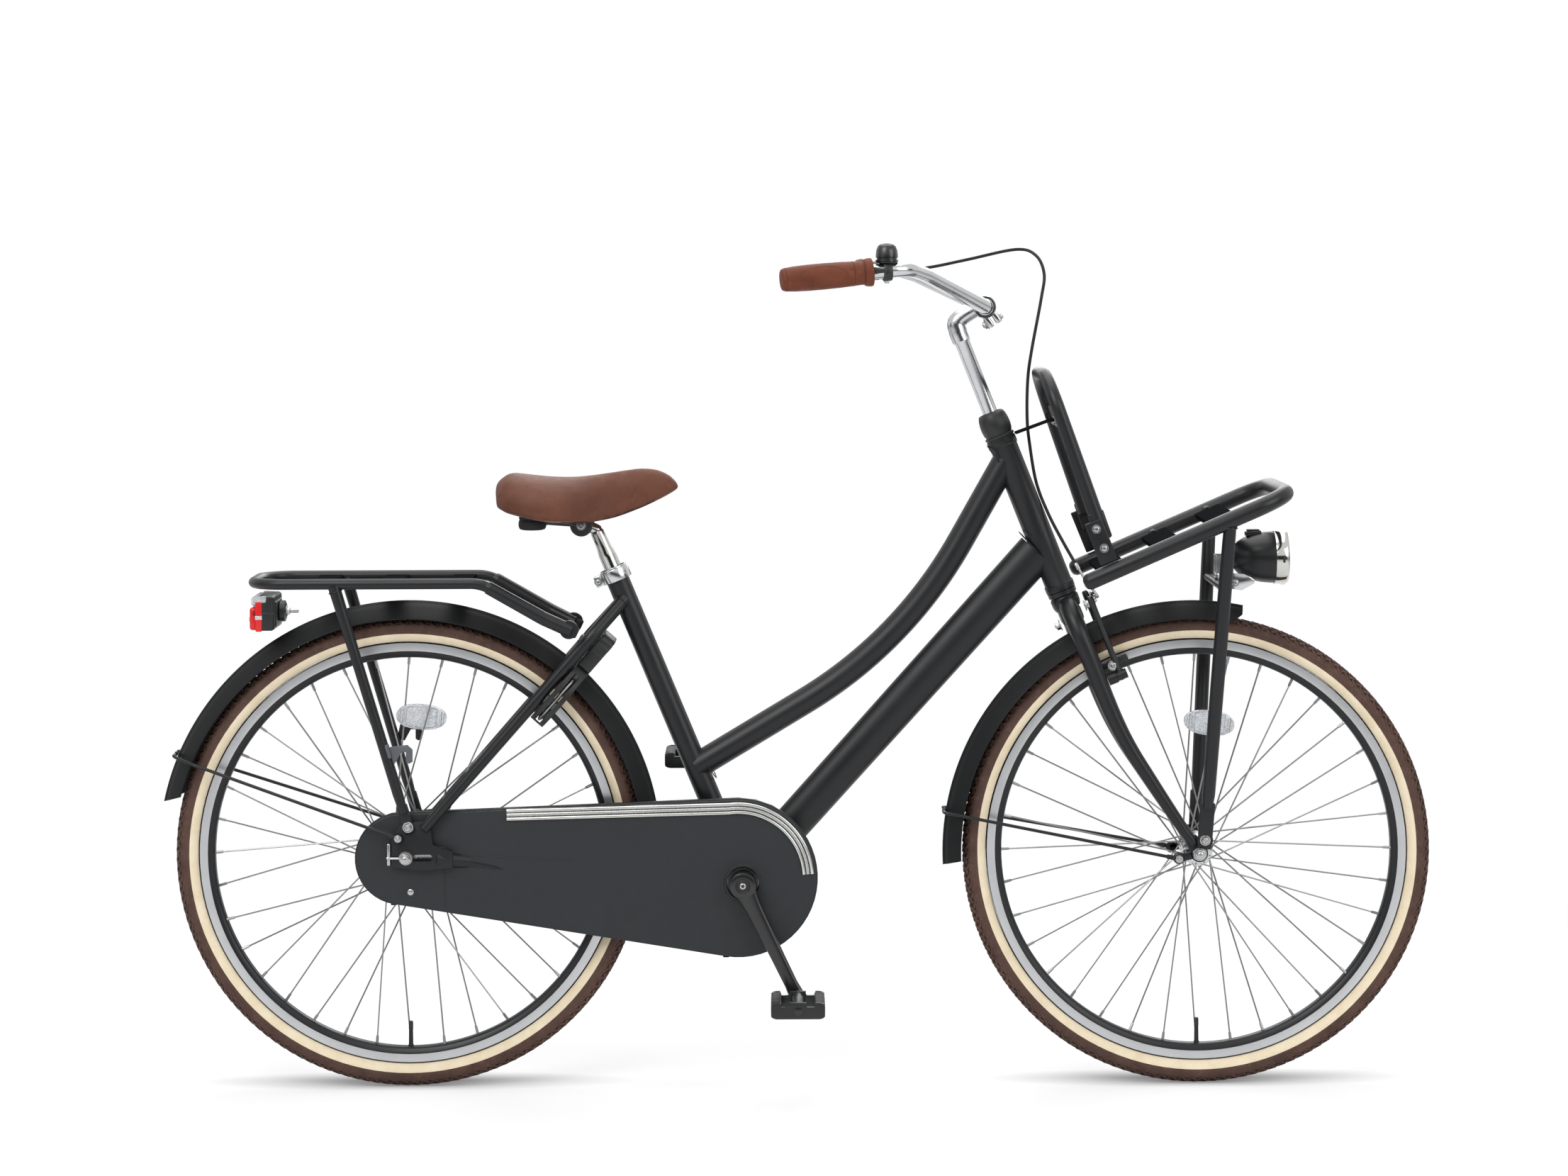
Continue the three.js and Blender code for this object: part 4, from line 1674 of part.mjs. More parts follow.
function saddleRing([along, low, high, wide], share, under, over, bulge) {
  const x = saddleRear + along * saddleLength;
  const lowZ = axleHeight + saddleLow + low * saddleHeight + under;
  const highZ = over === 0 ? axleHeight + saddleLow + high * saddleHeight : lowZ + over;
  const half = Math.max(wide * saddleHalfWidth * share, fit);
  const ring = [];
  for (let n = 0; n < saddleSides; n += 1) {
    const angle = Math.PI * n / (saddleSides - 1);
    const sideways = Math.cos(angle);
    const lift = Math.abs(Math.sin(angle)) ** bulge;
    ring.push(point(x, half * sideways, lowZ + (highZ - lowZ) * lift));
  }
  return ring;
}
const coverRings = saddleShares.map((row) => saddleRing(row, 1, 0, 0, coverBulge));
const baseRings = saddleShares.slice(2, -2).map((row) =>
  saddleRing(row, saddleBaseShare, saddleBaseRise, saddleBaseThickness, baseBulge));
const baseRoom = saddleShares.slice(1, -1).map((row) => saddleRing(row, saddleBaseShare + saddleRoomShare,
  -overrun,
  saddleBaseRise + saddleBaseThickness + overrun + 3 * fit, roomBulge));
const saddleCover = cut(loft(coverRings), loft(baseRoom));
piece(seat, 'saddle_cover', saddleCover, 'leather');
const elastomer = (side) => rod(rear(elastomerAhead, side * elastomerOut, elastomerLow),
  rear(elastomerAhead, side * elastomerOut, saddleLow + saddleBaseRise + saddleBaseThickness),
    elastomerRadius);
const saddleBase = cut(join(loft(baseRings), elastomer(-1), elastomer(1)), fatRail(-1), fatRail(1));
piece(seat, 'saddle_base', saddleBase, 'plastic');
piece(seat, 'seatpost', join(seatPost, seatNeck, seatClamp, seatBolt, rail(-1), rail(1)), 'chrome');

// The origin is the middle of the footprint, on the ground.
const bounds = new THREE.Box3().setFromObject(bike, true);
const middle = bounds.getCenter(point(0, 0, 0));
bike.position.set(-middle.x, -middle.y, -bounds.min.z);

export default bike;
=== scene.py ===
import json
from math import asin, atan2, cos, pi, radians, sin, tan

import bpy
from mathutils import Matrix, Vector


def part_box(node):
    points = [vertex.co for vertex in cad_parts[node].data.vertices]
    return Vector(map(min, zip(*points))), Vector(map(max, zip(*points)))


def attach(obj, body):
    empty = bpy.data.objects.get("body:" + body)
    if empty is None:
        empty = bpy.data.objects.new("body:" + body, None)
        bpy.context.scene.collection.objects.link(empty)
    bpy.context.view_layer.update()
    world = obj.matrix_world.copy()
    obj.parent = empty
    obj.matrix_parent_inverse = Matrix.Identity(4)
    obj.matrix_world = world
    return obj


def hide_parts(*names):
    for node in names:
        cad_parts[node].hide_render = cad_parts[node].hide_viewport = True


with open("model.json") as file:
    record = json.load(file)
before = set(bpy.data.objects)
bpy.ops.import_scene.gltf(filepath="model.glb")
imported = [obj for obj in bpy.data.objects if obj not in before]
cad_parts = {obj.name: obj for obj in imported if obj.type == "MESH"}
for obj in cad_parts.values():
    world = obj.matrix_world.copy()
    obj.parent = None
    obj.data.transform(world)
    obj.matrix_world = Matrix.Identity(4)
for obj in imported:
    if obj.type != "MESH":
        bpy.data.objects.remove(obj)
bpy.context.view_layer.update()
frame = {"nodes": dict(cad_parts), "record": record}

UP = Vector((0, 0, 1))
AHEAD = Vector((1, 0, 0))
LEFT = Vector((0, 1, 0))
RIGHT = Vector((0, -1, 0))
STEER_UP = Vector((-0.366501, 0, 0.930418))
STEER_AHEAD = Vector((0.930418, 0, 0.366501))
SEAT_UP = Vector((-0.384295, 0, 0.92321))
CARRIER_AHEAD = Vector((0.918446, 0, 0.395546))
CARRIER_UP = Vector((-0.395546, 0, 0.918446))

# Main measures in millimetres. The frame's origin stands this far ahead of the rear hub.
ORIGIN_AHEAD = 583.69
HUB_UP = 353
WHEELBASE = 1186
BRACKET_AHEAD, BRACKET_UP = 503, 311
CRANK_LENGTH = 185
LAMP_AHEAD, LAMP_UP = 55, 438.6
SADDLE_AHEAD, SADDLE_LIFT, SADDLE_LONG, SADDLE_HIGH = 133.5, 499, 275, 78
MID_Y = -0.0187
NUT_TURN, SOCKET_TURN = 0.3, 0.2


# Places, given in millimetres ahead of the rear hub, to the left of the middle and above the floor.

def at(ahead, out, up):
    return Vector((ahead - ORIGIN_AHEAD, out - 18.7, up)) / 1000


def way(ahead, out, up):
    return Vector((ahead, out, up)) / 1000


def rear(ahead, out, up):
    return at(ahead, out, HUB_UP + up)


def front(ahead, out, up):
    return at(WHEELBASE + ahead, out, HUB_UP + up)


def steered(ahead, out, up):
    return at(1144.8755, out, 336.8007) + (STEER_AHEAD * ahead + STEER_UP * up) / 1000


def on_seat_tube(up, out=0):
    return at(BRACKET_AHEAD, out, BRACKET_UP) + SEAT_UP * up / 1000


def on_carrier(along, out, up=0):
    return front(-167.2, out, 414.3) + (CARRIER_AHEAD * along + CARRIER_UP * up) / 1000


BRACKET = at(BRACKET_AHEAD, 0, BRACKET_UP)
GRIP_CENTRE = at(870.48, 0, 1171.55)
LEVER_PIVOT = Vector((0.14385, 0.2707, 1.22646))


# Camera, floor and light.

def studio():
    deselect()
    bpy.ops.object.camera_add(location=(-0.0192, -5.5187, 1.2299), rotation=(pi / 2, 0.00451, 0))
    camera = bpy.context.object
    camera.data.lens = 83.6
    camera.data.sensor_width = 36
    camera.data.shift_x = 0.0017
    camera.data.shift_y = -0.2034
    bpy.context.scene.camera = camera

    bpy.ops.mesh.primitive_plane_add(size=60, location=(0, 0, 0))
    floor = bpy.context.object
    floor.name = "studio_floor"
    floor.data.materials.append(floor_finish())

    flag_cloth = Finish("black_studio_cloth", Base_Color=(0.01, 0.01, 0.01, 1), Roughness=0.9)
    flag_cloth.surface(Roughness=flag_cloth.reach(flag_cloth.noise(40), 0.3, 0.7, 0.85, 0.95))
    flag_cloth = flag_cloth.material
    for name, place, aim, size, power in (
        ("key", (-1.9, -3.2, 3.6), (0, 0, 0.5), 2.6, 105),
        ("fill", (2.8, -2.6, 2.2), (0.2, 0, 0.5), 2.2, 42),
        ("top", (0, 0.6, 4.2), (0, 0, 0.3), 3.6, 95),
        ("rim", (0.6, 3.4, 2.6), (0, 0, 0.6), 2.6, 50),
    ):
        aim = Vector(aim) - Vector(place)
        bpy.ops.object.light_add(type="AREA", location=place,
                                 rotation=aim.to_track_quat("-Z", "Y").to_euler())
        light = bpy.context.object
        light.name = name
        light.data.size = size
        light.data.energy = power

    for place, size in (((0, -7.6, 1.0), (11, 2.3)), ((-7.0, -1.5, 1.2), (2.4, 2.2)),
                        ((7.0, -1.5, 1.2), (2.4, 2.2)), ((0, 7.6, 0.9), (9, 1.6))):
        bpy.ops.mesh.primitive_plane_add(size=1, location=place,
                                         rotation=(pi / 2, 0, 0 if abs(place[1]) > 2 else pi / 2))
        flag = bpy.context.object
        flag.name = "studio_flag"
        flag.scale = (size[0], size[1], 1)
        flag.visible_camera = False
        flag.data.materials.append(flag_cloth)

    world = bpy.data.worlds.new("studio_light")
    bpy.context.scene.world = world
    world.use_nodes = True
    tree = world.node_tree
    rays = tree.nodes.new("ShaderNodeLightPath")
    seen = rays.outputs["Is Camera Ray"]
    for ray in ("Is Glossy Ray", "Is Transmission Ray"):
        either = tree.nodes.new("ShaderNodeMath")
        either.operation = "MAXIMUM"
        tree.links.new(seen, either.inputs[0])
        tree.links.new(rays.outputs[ray], either.inputs[1])
        seen = either.outputs[0]
    strength = tree.nodes.new("ShaderNodeMapRange")
    strength.inputs["To Min"].default_value = 0.55
    tree.links.new(seen, strength.inputs["Value"])
    background = tree.nodes["Background"]
    background.inputs["Color"].default_value = (1, 1, 1, 1)
    tree.links.new(strength.outputs[0], background.inputs["Strength"])
    bpy.context.scene.view_settings.view_transform = "Standard"


# Finishes.

def tint(red, green, blue):
    """A colour from its screen values, 0 to 255."""
    linear = [(v / 255 + 0.055) / 1.055 for v in (red, green, blue)]
    return tuple(v ** 2.4 if v > 0.0904 else (v * 1.055 - 0.055) / 12.92 for v in linear) + (1,)


class Value:
    """A node's output. Arithmetic on it adds Math nodes."""

    def __init__(self, finish, socket):
        self.finish = finish
        self.socket = socket

    def maths(self, operation, *others):
        return self.finish.node("Math", {"operation": operation}, dict(enumerate((self, *others))))

    def __add__(self, other):
        return self.maths("ADD", other)

    __radd__ = __add__

    def __mul__(self, other):
        return self.maths("MULTIPLY", other)

    __rmul__ = __mul__


class Finish:
    """A material under work. Named constants go on the shader's own sockets."""

    def __init__(self, name, **constants):
        self.material = bpy.data.materials.new(name)
        self.material.use_nodes = True
        self.tree = self.material.node_tree
        self.shader = self.tree.nodes["Principled BSDF"]
        for socket, value in constants.items():
            self.shader.inputs[socket.replace("_", " ")].default_value = value

    def node(self, kind, settings=None, inputs=None, output=0):
        node = self.tree.nodes.new("ShaderNode" + kind)
        for key, value in (settings or {}).items():
            if key == "stops":
                for stop in value[2:]:
                    node.color_ramp.elements.new(stop[0])
                for element, stop in zip(node.color_ramp.elements, value):
                    element.position, element.color = stop
            else:
                setattr(node, key, value)
        for key, value in (inputs or {}).items():
            self.feed(node.inputs[key], value)
        return Value(self, node.outputs[output])

    def feed(self, socket, value):
        if isinstance(value, Value):
            self.tree.links.new(value.socket, socket)
        else:
            socket.default_value = value

    def surface(self, **inputs):
        for socket, value in inputs.items():
            self.feed(self.shader.inputs[socket.replace("_", " ")], value)
        return self

    def place(self):
        return self.node("TexCoord", output="Object")

    def noise(self, scale, detail=3, rough=0.5):
        settings = {"Vector": self.place(), "Scale": scale, "Detail": detail, "Roughness": rough}
        return self.node("TexNoise", {}, settings)

    def cells(self, scale, feature="F1"):
        return self.node("TexVoronoi", {"feature": feature}, {"Vector": self.place(), "Scale": scale})

    def reach(self, value, low, high, start=0, end=1):
        return self.node("MapRange", {}, {0: value, 1: low, 2: high, 3: start, 4: end})

    def mix(self, share, first, second):
        return self.node("Mix", {"data_type": "RGBA"}, {0: share, 6: first, 7: second}, output=2)

    def bump(self, height, depth, strength=1.0):
        ridges = self.node("Bump", {}, {"Height": height, "Distance": depth, "Strength": strength})
        return self.surface(Normal=ridges)


def floor_finish():
    floor = Finish("floor_white", Base_Color=(0.86, 0.86, 0.87, 1), Roughness=0.9)
    floor.surface(Roughness=floor.reach(floor.noise(3), 0.3, 0.7, 0.8, 0.95))
    rays = floor.node("LightPath", output="Is Camera Ray")
    glow = floor.node("Emission", {}, {"Color": (1, 1, 1, 1), "Strength": 1.0})
    shader = Value(floor, floor.shader.outputs[0])
    away = floor.node("VectorMath", {"operation": "LENGTH"}, {0: floor.place()}, "Value")
    # Painted contact shadow: near each tyre's contact point the floor's colour darkens towards near black
    # and the white glow for camera rays gives way, so a dark patch is painted under both wheels.
    painted_contact_shadow = 1
    for x in (-0.5837, 0.6023):
        aside = floor.node("VectorMath", {"operation": "SUBTRACT"}, {0: floor.place(), 1: (x, 0.01, 0)},
                           "Vector")
        aside = floor.node("VectorMath", {"operation": "MULTIPLY"}, {0: aside, 1: (2.9, 15, 0)}, "Vector")
        near = floor.node("VectorMath", {"operation": "LENGTH"}, {0: aside}, "Value")
        painted_contact_shadow = floor.reach(near, 0.05, 1, 0.02, 1) * painted_contact_shadow
    floor.surface(Base_Color=floor.mix(painted_contact_shadow, (0.02, 0.02, 0.02, 1), (0.86, 0.86, 0.87, 1)))
    mixed = floor.node("MixShader", {}, {0: rays * painted_contact_shadow * floor.reach(away, 1.15, 2.1, 0.5, 1), 1: shader,
                                         2: glow})
    floor.feed(floor.tree.nodes["Material Output"].inputs["Surface"], mixed)
    return floor.material


def paint_finish(name, colour, light, roughness, coat, shine=0.32, peel=0.000003):
    """Sprayed paint with fine orange peel, dull patches and a few rubbed specks."""
    paint = Finish(name, Coat_Roughness=0.3, Specular_IOR_Level=shine)
    cloud = paint.noise(9, 4)
    rubbed = paint.reach(paint.noise(190, 5, 0.7), 0.69, 0.78) * 0.45
    paint.surface(Base_Color=paint.mix(rubbed + cloud * 0.12, colour, light))
    paint.surface(Roughness=paint.reach(cloud, 0.3, 0.7, roughness - 0.05, roughness + 0.07))
    paint.surface(Coat_Weight=paint.reach(paint.noise(30), 0.3, 0.7, coat * 0.8, coat))
    return paint.bump(paint.noise(420, 2), peel, 0.12).material


def moulded_finish(name, colour, light, roughness):
    """Moulded plastic with a fine spark-eroded grain."""
    plastic = Finish(name, Specular_IOR_Level=0.42)
    cloud = plastic.noise(14, 3)
    dust = plastic.reach(plastic.noise(260, 4, 0.65), 0.62, 0.8) * 0.3
    plastic.surface(Base_Color=plastic.mix(cloud * 0.25 + dust, colour, light))
    plastic.surface(Roughness=plastic.reach(plastic.noise(60), 0.3, 0.7, roughness - 0.06,
                                            roughness + 0.06))
    return plastic.bump(plastic.cells(1500), 0.00005, 0.35).material


def metal_finish(name, colour, light, roughness):
    """Polished or brushed metal with hairlines and thin stains."""
    metal = Finish(name, Metallic=1.0)
    hair = metal.noise(420, 3, 0.6)
    stain = metal.noise(22, 4)
    metal.surface(Base_Color=metal.mix(stain * 0.7, colour, light))
    metal.surface(Roughness=metal.reach(hair + stain * 0.4, 0.4, 1.0, roughness - 0.01, roughness + 0.04))
    return metal.bump(hair, 0.0000008, 0.15).material


def leather_finish(name, colour, dark, light, grain):
    """Leather with pebbled grain, darker hollows and rubbed high spots."""
    leather = Finish(name, Specular_IOR_Level=0.2)
    cloud = leather.noise(16, 5, 0.6)
    pebble = leather.cells(grain, "SMOOTH_F1")
    crease = leather.noise(grain * 0.3, 6, 0.7)
    worn = leather.reach(leather.noise(34, 6, 0.65), 0.56, 0.78)
    base = leather.mix(leather.reach(cloud, 0.3, 0.75), dark, colour)
    base = leather.mix(worn * 0.45, base, light)
    leather.surface(Base_Color=leather.mix(leather.reach(pebble, 0.0, 0.5, 0.22, 0), base, dark))
    leather.surface(Roughness=leather.reach(crease + worn * 0.2, 0.3, 0.8, 0.66, 0.48))
    return leather.bump(pebble * -0.7 + crease * 0.6, 0.0003, 0.5).material


def rubber_finish(name, colour, light, dirt):
    """Tyre rubber with dust in its pores."""
    rubber = Finish(name, Specular_IOR_Level=0.3)
    cloud = rubber.noise(28, 5, 0.6)
    pores = rubber.noise(850, 3)
    base = rubber.mix(rubber.reach(cloud, 0.35, 0.7), colour, light)
    rubber.surface(Base_Color=rubber.mix(rubber.reach(rubber.noise(120, 6, 0.7), 0.55, 0.8) * 0.4, base,
                                         dirt))
    rubber.surface(Roughness=rubber.reach(pores, 0.3, 0.7, 0.62, 0.85))
    return rubber.bump(pores, 0.0001, 0.6).material


def clear_finish(name, colour, cells, roughness=0.08):
    """Clear moulding with a grid of prisms behind its face."""
    clear = Finish(name, IOR=1.46, Transmission_Weight=0.35)
    prism = clear.cells(cells)
    clear.surface(Base_Color=clear.mix(clear.reach(prism, 0.1, 0.7), colour, (0.9, 0.92, 0.95, 1)))
    clear.surface(Roughness=clear.reach(clear.noise(80), 0.3, 0.7, roughness, roughness + 0.1))
    return clear.bump(prism, 0.0002, 0.5).material


def finishes():
    return {
        "paint": paint_finish("satin_black_paint", tint(20, 21, 23), tint(46, 48, 50), 0.36, 0.03),
        "guard": paint_finish("guard_black_paint", tint(22, 23, 24), tint(46, 48, 49), 0.5, 0.0, 0.16),
        "matt": paint_finish("matt_black_paint", tint(24, 25, 27), tint(44, 46, 48), 0.8, 0.0, 0.0),
        "gloss": paint_finish("glossy_black", tint(14, 14, 15), tint(36, 37, 38), 0.2, 0.5, 0.4, 0.000001),
        "case": moulded_finish("slate_case_plastic", tint(25, 29, 32), tint(43, 47, 50), 0.55),
        "plastic": moulded_finish("black_plastic", tint(24, 25, 26), tint(50, 51, 53), 0.42),
        "hook": moulded_finish("grey_hook_coating", tint(78, 81, 87), tint(104, 107, 113), 0.5),
        "tread": rubber_finish("brown_tread_rubber", tint(70, 50, 43), tint(88, 65, 56), tint(118, 99, 87)),
        # The groove rubber is the tread brown made darker: painted shade between the tread blocks.
        "groove": rubber_finish("groove_rubber_painted_shade", tint(46, 31, 27), tint(60, 42, 36), tint(84, 66, 58)),
        "wall": rubber_finish("cream_wall_rubber", tint(222, 206, 176), tint(234, 221, 195),
                              tint(204, 188, 160)),
        "grey_rubber": rubber_finish("black_rubber", tint(22, 22, 23), tint(38, 38, 40), tint(62, 60, 58)),
        "silver": metal_finish("polished_alloy", (0.46, 0.47, 0.48, 1), (0.62, 0.63, 0.64, 1), 0.17),
        "spoke": metal_finish("stainless_spoke_wire", (0.2, 0.2, 0.2, 1), (0.36, 0.36, 0.36, 1), 0.34),
        "steel": metal_finish("zinc_plated_steel", (0.36, 0.36, 0.36, 1), (0.6, 0.6, 0.59, 1), 0.26),
        "chrome": metal_finish("bright_chrome", (0.46, 0.46, 0.44, 1), (0.64, 0.64, 0.61, 1), 0.1),
        "track": metal_finish("brushed_brake_track", (0.48, 0.49, 0.5, 1), (0.66, 0.67, 0.68, 1), 0.32),
        "saddle": leather_finish("brown_saddle_leather", tint(106, 66, 50), tint(84, 50, 38),
                                 tint(126, 84, 66), 520),
        "grip": leather_finish("brown_grip_leather", tint(116, 62, 42), tint(86, 44, 29), tint(142, 86, 60),
                               700),
        "thread": leather_finish("stitching_thread", tint(92, 52, 38), tint(74, 40, 28), tint(128, 84, 62),
                                 2400),
        "clear": clear_finish("clear_reflector", (0.5, 0.54, 0.57, 1), 420),
        "glass": clear_finish("clear_lens", (0.72, 0.75, 0.78, 1), 160, 0.03),
        "red": moulded_finish("red_lens", tint(204, 22, 26), tint(236, 70, 62), 0.28),
    }


# Ways of shaping.

def deselect():
    if bpy.context.object and bpy.context.object.mode != "OBJECT":
        bpy.ops.object.mode_set(mode="OBJECT")
    bpy.ops.object.select_all(action="DESELECT")


def pick(*pieces):
    deselect()
    for piece in pieces:
        piece.select_set(True)
    bpy.context.view_layer.objects.active = pieces[0]
    return pieces[0]


def set_down(piece, matrix=None):
    """Puts a piece in its place and keeps that place in its mesh."""
    pick(piece)
    if matrix is not None:
        piece.matrix_world = matrix @ piece.matrix_world
    bpy.ops.object.transform_apply(location=True, rotation=True, scale=True)
    return piece


def facing(place, axis, turn=0.0):
    """A place whose up is the given way."""
    aim = Vector(axis).to_track_quat("Z", "Y").to_matrix().to_4x4()
    return Matrix.Translation(place) @ aim @ Matrix.Rotation(turn, 4, "Z")


def edit(piece):
    pick(piece)
    bpy.ops.object.mode_set(mode="EDIT")
    bpy.ops.mesh.select_all(action="SELECT")


def close_up(piece):
    """Merges doubles and turns the faces outwards."""
    edit(piece)
    bpy.ops.mesh.remove_doubles(threshold=0.00001)
    bpy.ops.mesh.normals_make_consistent(inside=False)
    bpy.ops.object.mode_set(mode="OBJECT")
    return piece


def modify(piece, kind, **settings):
    """Adds one modifier with its settings and applies it."""
    pick(piece)
    modifier = piece.modifiers.new(kind.lower(), kind)
    for key, value in settings.items():
        setattr(modifier, key, value)
    bpy.ops.object.modifier_apply(modifier=modifier.name)
    return piece


def rounded_edges(piece, width, segments=2, angle=35):
    return modify(piece, "BEVEL", width=width / 1000, segments=segments, limit_method="ANGLE",
                  angle_limit=radians(angle), use_clamp_overlap=True)


def chain(points, closed=False):
    """One vertex drawn out from point to point."""
    deselect()
    bpy.ops.mesh.primitive_plane_add(size=0.001, location=points[0])
    piece = bpy.context.object
    bpy.ops.object.mode_set(mode="EDIT")
    bpy.ops.mesh.merge(type="CENTER")
    for here, there in zip(points, points[1:]):
        bpy.ops.mesh.extrude_vertices_move(TRANSFORM_OT_translate={"value": there - here})
    if closed:
        bpy.ops.mesh.select_all(action="SELECT")
        bpy.ops.mesh.edge_face_add()
    bpy.ops.object.mode_set(mode="OBJECT")
    return set_down(piece)


def turned(profile, place, axis, steps=48, ring=False):
    """A profile of (radius, along) in millimetres, spun round an axis. A ring's profile is closed."""
    points = [way(radius, 0, along) for radius, along in profile]
    if ring:
        points.append(points[0])
    piece = chain(points)
    edit(piece)
    bpy.ops.mesh.spin(steps=steps, angle=2 * pi, center=(0, 0, 0), axis=(0, 0, 1))
    close_up(piece)
    return set_down(piece, facing(place, axis))


def tube(points, radius, shares=None, roundness=5, caps=True):
    """A round bar along points, as thick at each as its share of the radius."""
    piece = chain(points)
    pick(piece)
    bpy.ops.object.convert(target="CURVE")
    spline = piece.data.splines[0]
    if shares:
        for knot in spline.points:
            near = min(range(len(points)), key=lambda n: (points[n] - Vector(knot.co[:3])).length)
            knot.radius = shares[near]
    piece.data.bevel_depth = radius / 1000
    piece.data.bevel_resolution = roundness
    piece.data.use_fill_caps = caps
    bpy.ops.object.convert(target="MESH")
    return close_up(piece)


def bent(points, radius, steps=8):
    """A path with its corners rounded, by one radius or one for each corner."""
    route = [points[0]]
    corners = len(points) - 2
    radii = radius if isinstance(radius, (list, tuple)) else [radius] * corners
    for before, corner, after, r in zip(points, points[1:], points[2:], radii):
        back, on = (before - corner).normalized(), (after - corner).normalized()
        half = back.angle(on) / 2
        centre = corner + (back + on).normalized() * (r / 1000 / sin(half))
        start = corner + back * (r / 1000 / tan(half)) - centre
        end = corner + on * (r / 1000 / tan(half)) - centre
        sweep = start.angle(end)
        for n in range(steps + 1):
            share = n / steps
            arm = start * (sin((1 - share) * sweep) / sin(sweep)) + end * (sin(share * sweep) / sin(sweep))
            route.append(centre + arm)
    route.append(points[-1])
    return route


def smooth_path(points, steps=6):
    """A flowing path through points."""
    route = []
    ends = [points[0] * 2 - points[1]] + list(points) + [points[-1] * 2 - points[-2]]
    for a, b, c, d in zip(ends, ends[1:], ends[2:], ends[3:]):
        for n in range(steps):
            t = n / steps
            route.append(0.5 * (2 * b + (c - a) * t + (2 * a - 5 * b + 4 * c - d) * t ** 2
                                + (3 * b - a - 3 * c + d) * t ** 3))
    return route + [points[-1]]


def plate(outline, thick, bevel=0.4, segments=2):
    """A flat outline drawn out by a vector, with its edges rounded."""
    piece = chain(outline, closed=True)
    edit(piece)
    bpy.ops.mesh.extrude_region_move(TRANSFORM_OT_translate={"value": thick})
    close_up(piece)
    return rounded_edges(piece, bevel, segments) if bevel else piece


def block(place, size, bevel=1, matrix=None, segments=2):
    """A rounded block of the given size in millimetres."""
    deselect()
    bpy.ops.mesh.primitive_cube_add(size=1, location=(0, 0, 0))
    piece = bpy.context.object
    piece.scale = Vector(size) / 1000
    set_down(piece)
    if bevel:
        rounded_edges(piece, bevel, segments)
    return set_down(piece, Matrix.Translation(place) @ (matrix or Matrix()))


def frame_of(x_way, y_way):
    """The turn that lays a block's length and width along two ways."""
    x, y = Vector(x_way).normalized(), Vector(y_way).normalized()
    z = x.cross(y).normalized()
    return Matrix((x, z.cross(x), z)).transposed().to_4x4()


def cut(piece, *tools):
    """Takes tools away from a piece."""
    for tool in tools:
        modify(piece, "BOOLEAN", operation="DIFFERENCE", object=tool, solver="EXACT")
        bpy.data.objects.remove(tool)
    return piece


def around(piece, count, place, axis):
    """Repeats a piece round an axis."""
    edit(piece)
    bpy.ops.mesh.spin(steps=count - 1, dupli=True, angle=2 * pi * (count - 1) / count, center=place,
                      axis=axis)
    bpy.ops.object.mode_set(mode="OBJECT")
    return piece


def mirrored(piece):
    """The same piece on the other side of the bike."""
    pick(piece)
    bpy.ops.object.duplicate()
    twin = bpy.context.object
    middle = Matrix.Translation((0, MID_Y, 0))
    set_down(twin, middle @ Matrix.Scale(-1, 4, LEFT) @ middle.inverted())
    return close_up(twin)


def wear(finish, *pieces):
    for piece in pieces:
        piece.data.materials.clear()
        piece.data.materials.append(FINISH[finish])
    return pieces[0]


def joined(*pieces):
    if len(pieces) > 1:
        pick(*pieces)
        bpy.ops.object.join()
    return pieces[0]


def built(**parts):
    """Joins pieces, each list of them in the finish that it is named by."""
    return joined(*[wear(finish, piece) for finish, pieces in parts.items() for piece in pieces])


def hang(piece, name, body, finish=None, nodes=(), smooth=38):
    """Names a piece, gives it its finish and lets it ride on its body."""
    if finish:
        wear(finish, piece)
    pick(piece)
    piece.name = name
    bpy.ops.object.shade_smooth_by_angle(angle=radians(smooth))
    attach(piece, body)
    if nodes:
        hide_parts(*nodes)
    return piece


FINISH = finishes()
studio()


# Small fittings, each modelled at the origin with its head upwards and then set down in its place.


def hex_nut(across, height, place, axis, bore=None, washer=1.35):
    """A hexagon nut with chamfered corners on a washer, and the screw's end in it."""
    deselect()
    bpy.ops.mesh.primitive_cylinder_add(vertices=6, radius=across / 1000, depth=height / 1000,
                                        location=(0, 0, height / 2000))
    nut = bpy.context.object
    rounded_edges(nut, across * 0.1, 2, 50)
    bore = bore or across * 0.55
    end = turned([(0, height + across * 0.3), (bore * 0.7, height + across * 0.3),
                  (bore, height + across * 0.12), (bore, 0)], Vector(), UP, 16)
    disc = turned([(0, across * 0.22), (across * washer * 0.94, across * 0.22),
                   (across * washer, across * 0.12), (across * washer, 0), (0, 0)], Vector(), UP, 24)
    return set_down(joined(nut, end, disc), facing(place, axis, NUT_TURN))


def socket_bolt(radius, height, place, axis):
    """A round-headed bolt with a hexagon socket."""
    dome = turned([(0, height * 0.45), (radius * 0.42, height * 0.45), (radius * 0.5, height),
                   (radius * 0.8, height * 0.9),
                   (radius, height * 0.55), (radius, 0), (0, 0)], Vector(), UP, 20)
    ring = turned([(0, 0.7), (radius * 1.3, 0.7), (radius * 1.36, 0.3), (radius * 1.36, 0), (0, 0)],
                  Vector(), UP, 20)
    return set_down(joined(dome, ring), facing(place, axis, SOCKET_TURN))


def weld(middle, axis, radius, bead=1.3, steps=40, stretch=None):
    """A rippled bead of weld round a tube."""
    side = Vector(axis).normalized().orthogonal().normalized()
    over = Vector(axis).normalized().cross(side)
    points = []
    for n in range(steps + 1):
        turn = 2 * pi * n / steps
        spread = (side * cos(turn) + over * sin(turn)) * radius / 1000
        if stretch is not None:
            spread += stretch * spread.dot(LEFT) ** 2 / (radius / 1000)
        points.append(middle + spread)
    return tube(points, bead, [0.8 + 0.25 * (n % 2) for n in range(steps + 1)], 2, caps=False)


# Wheels.

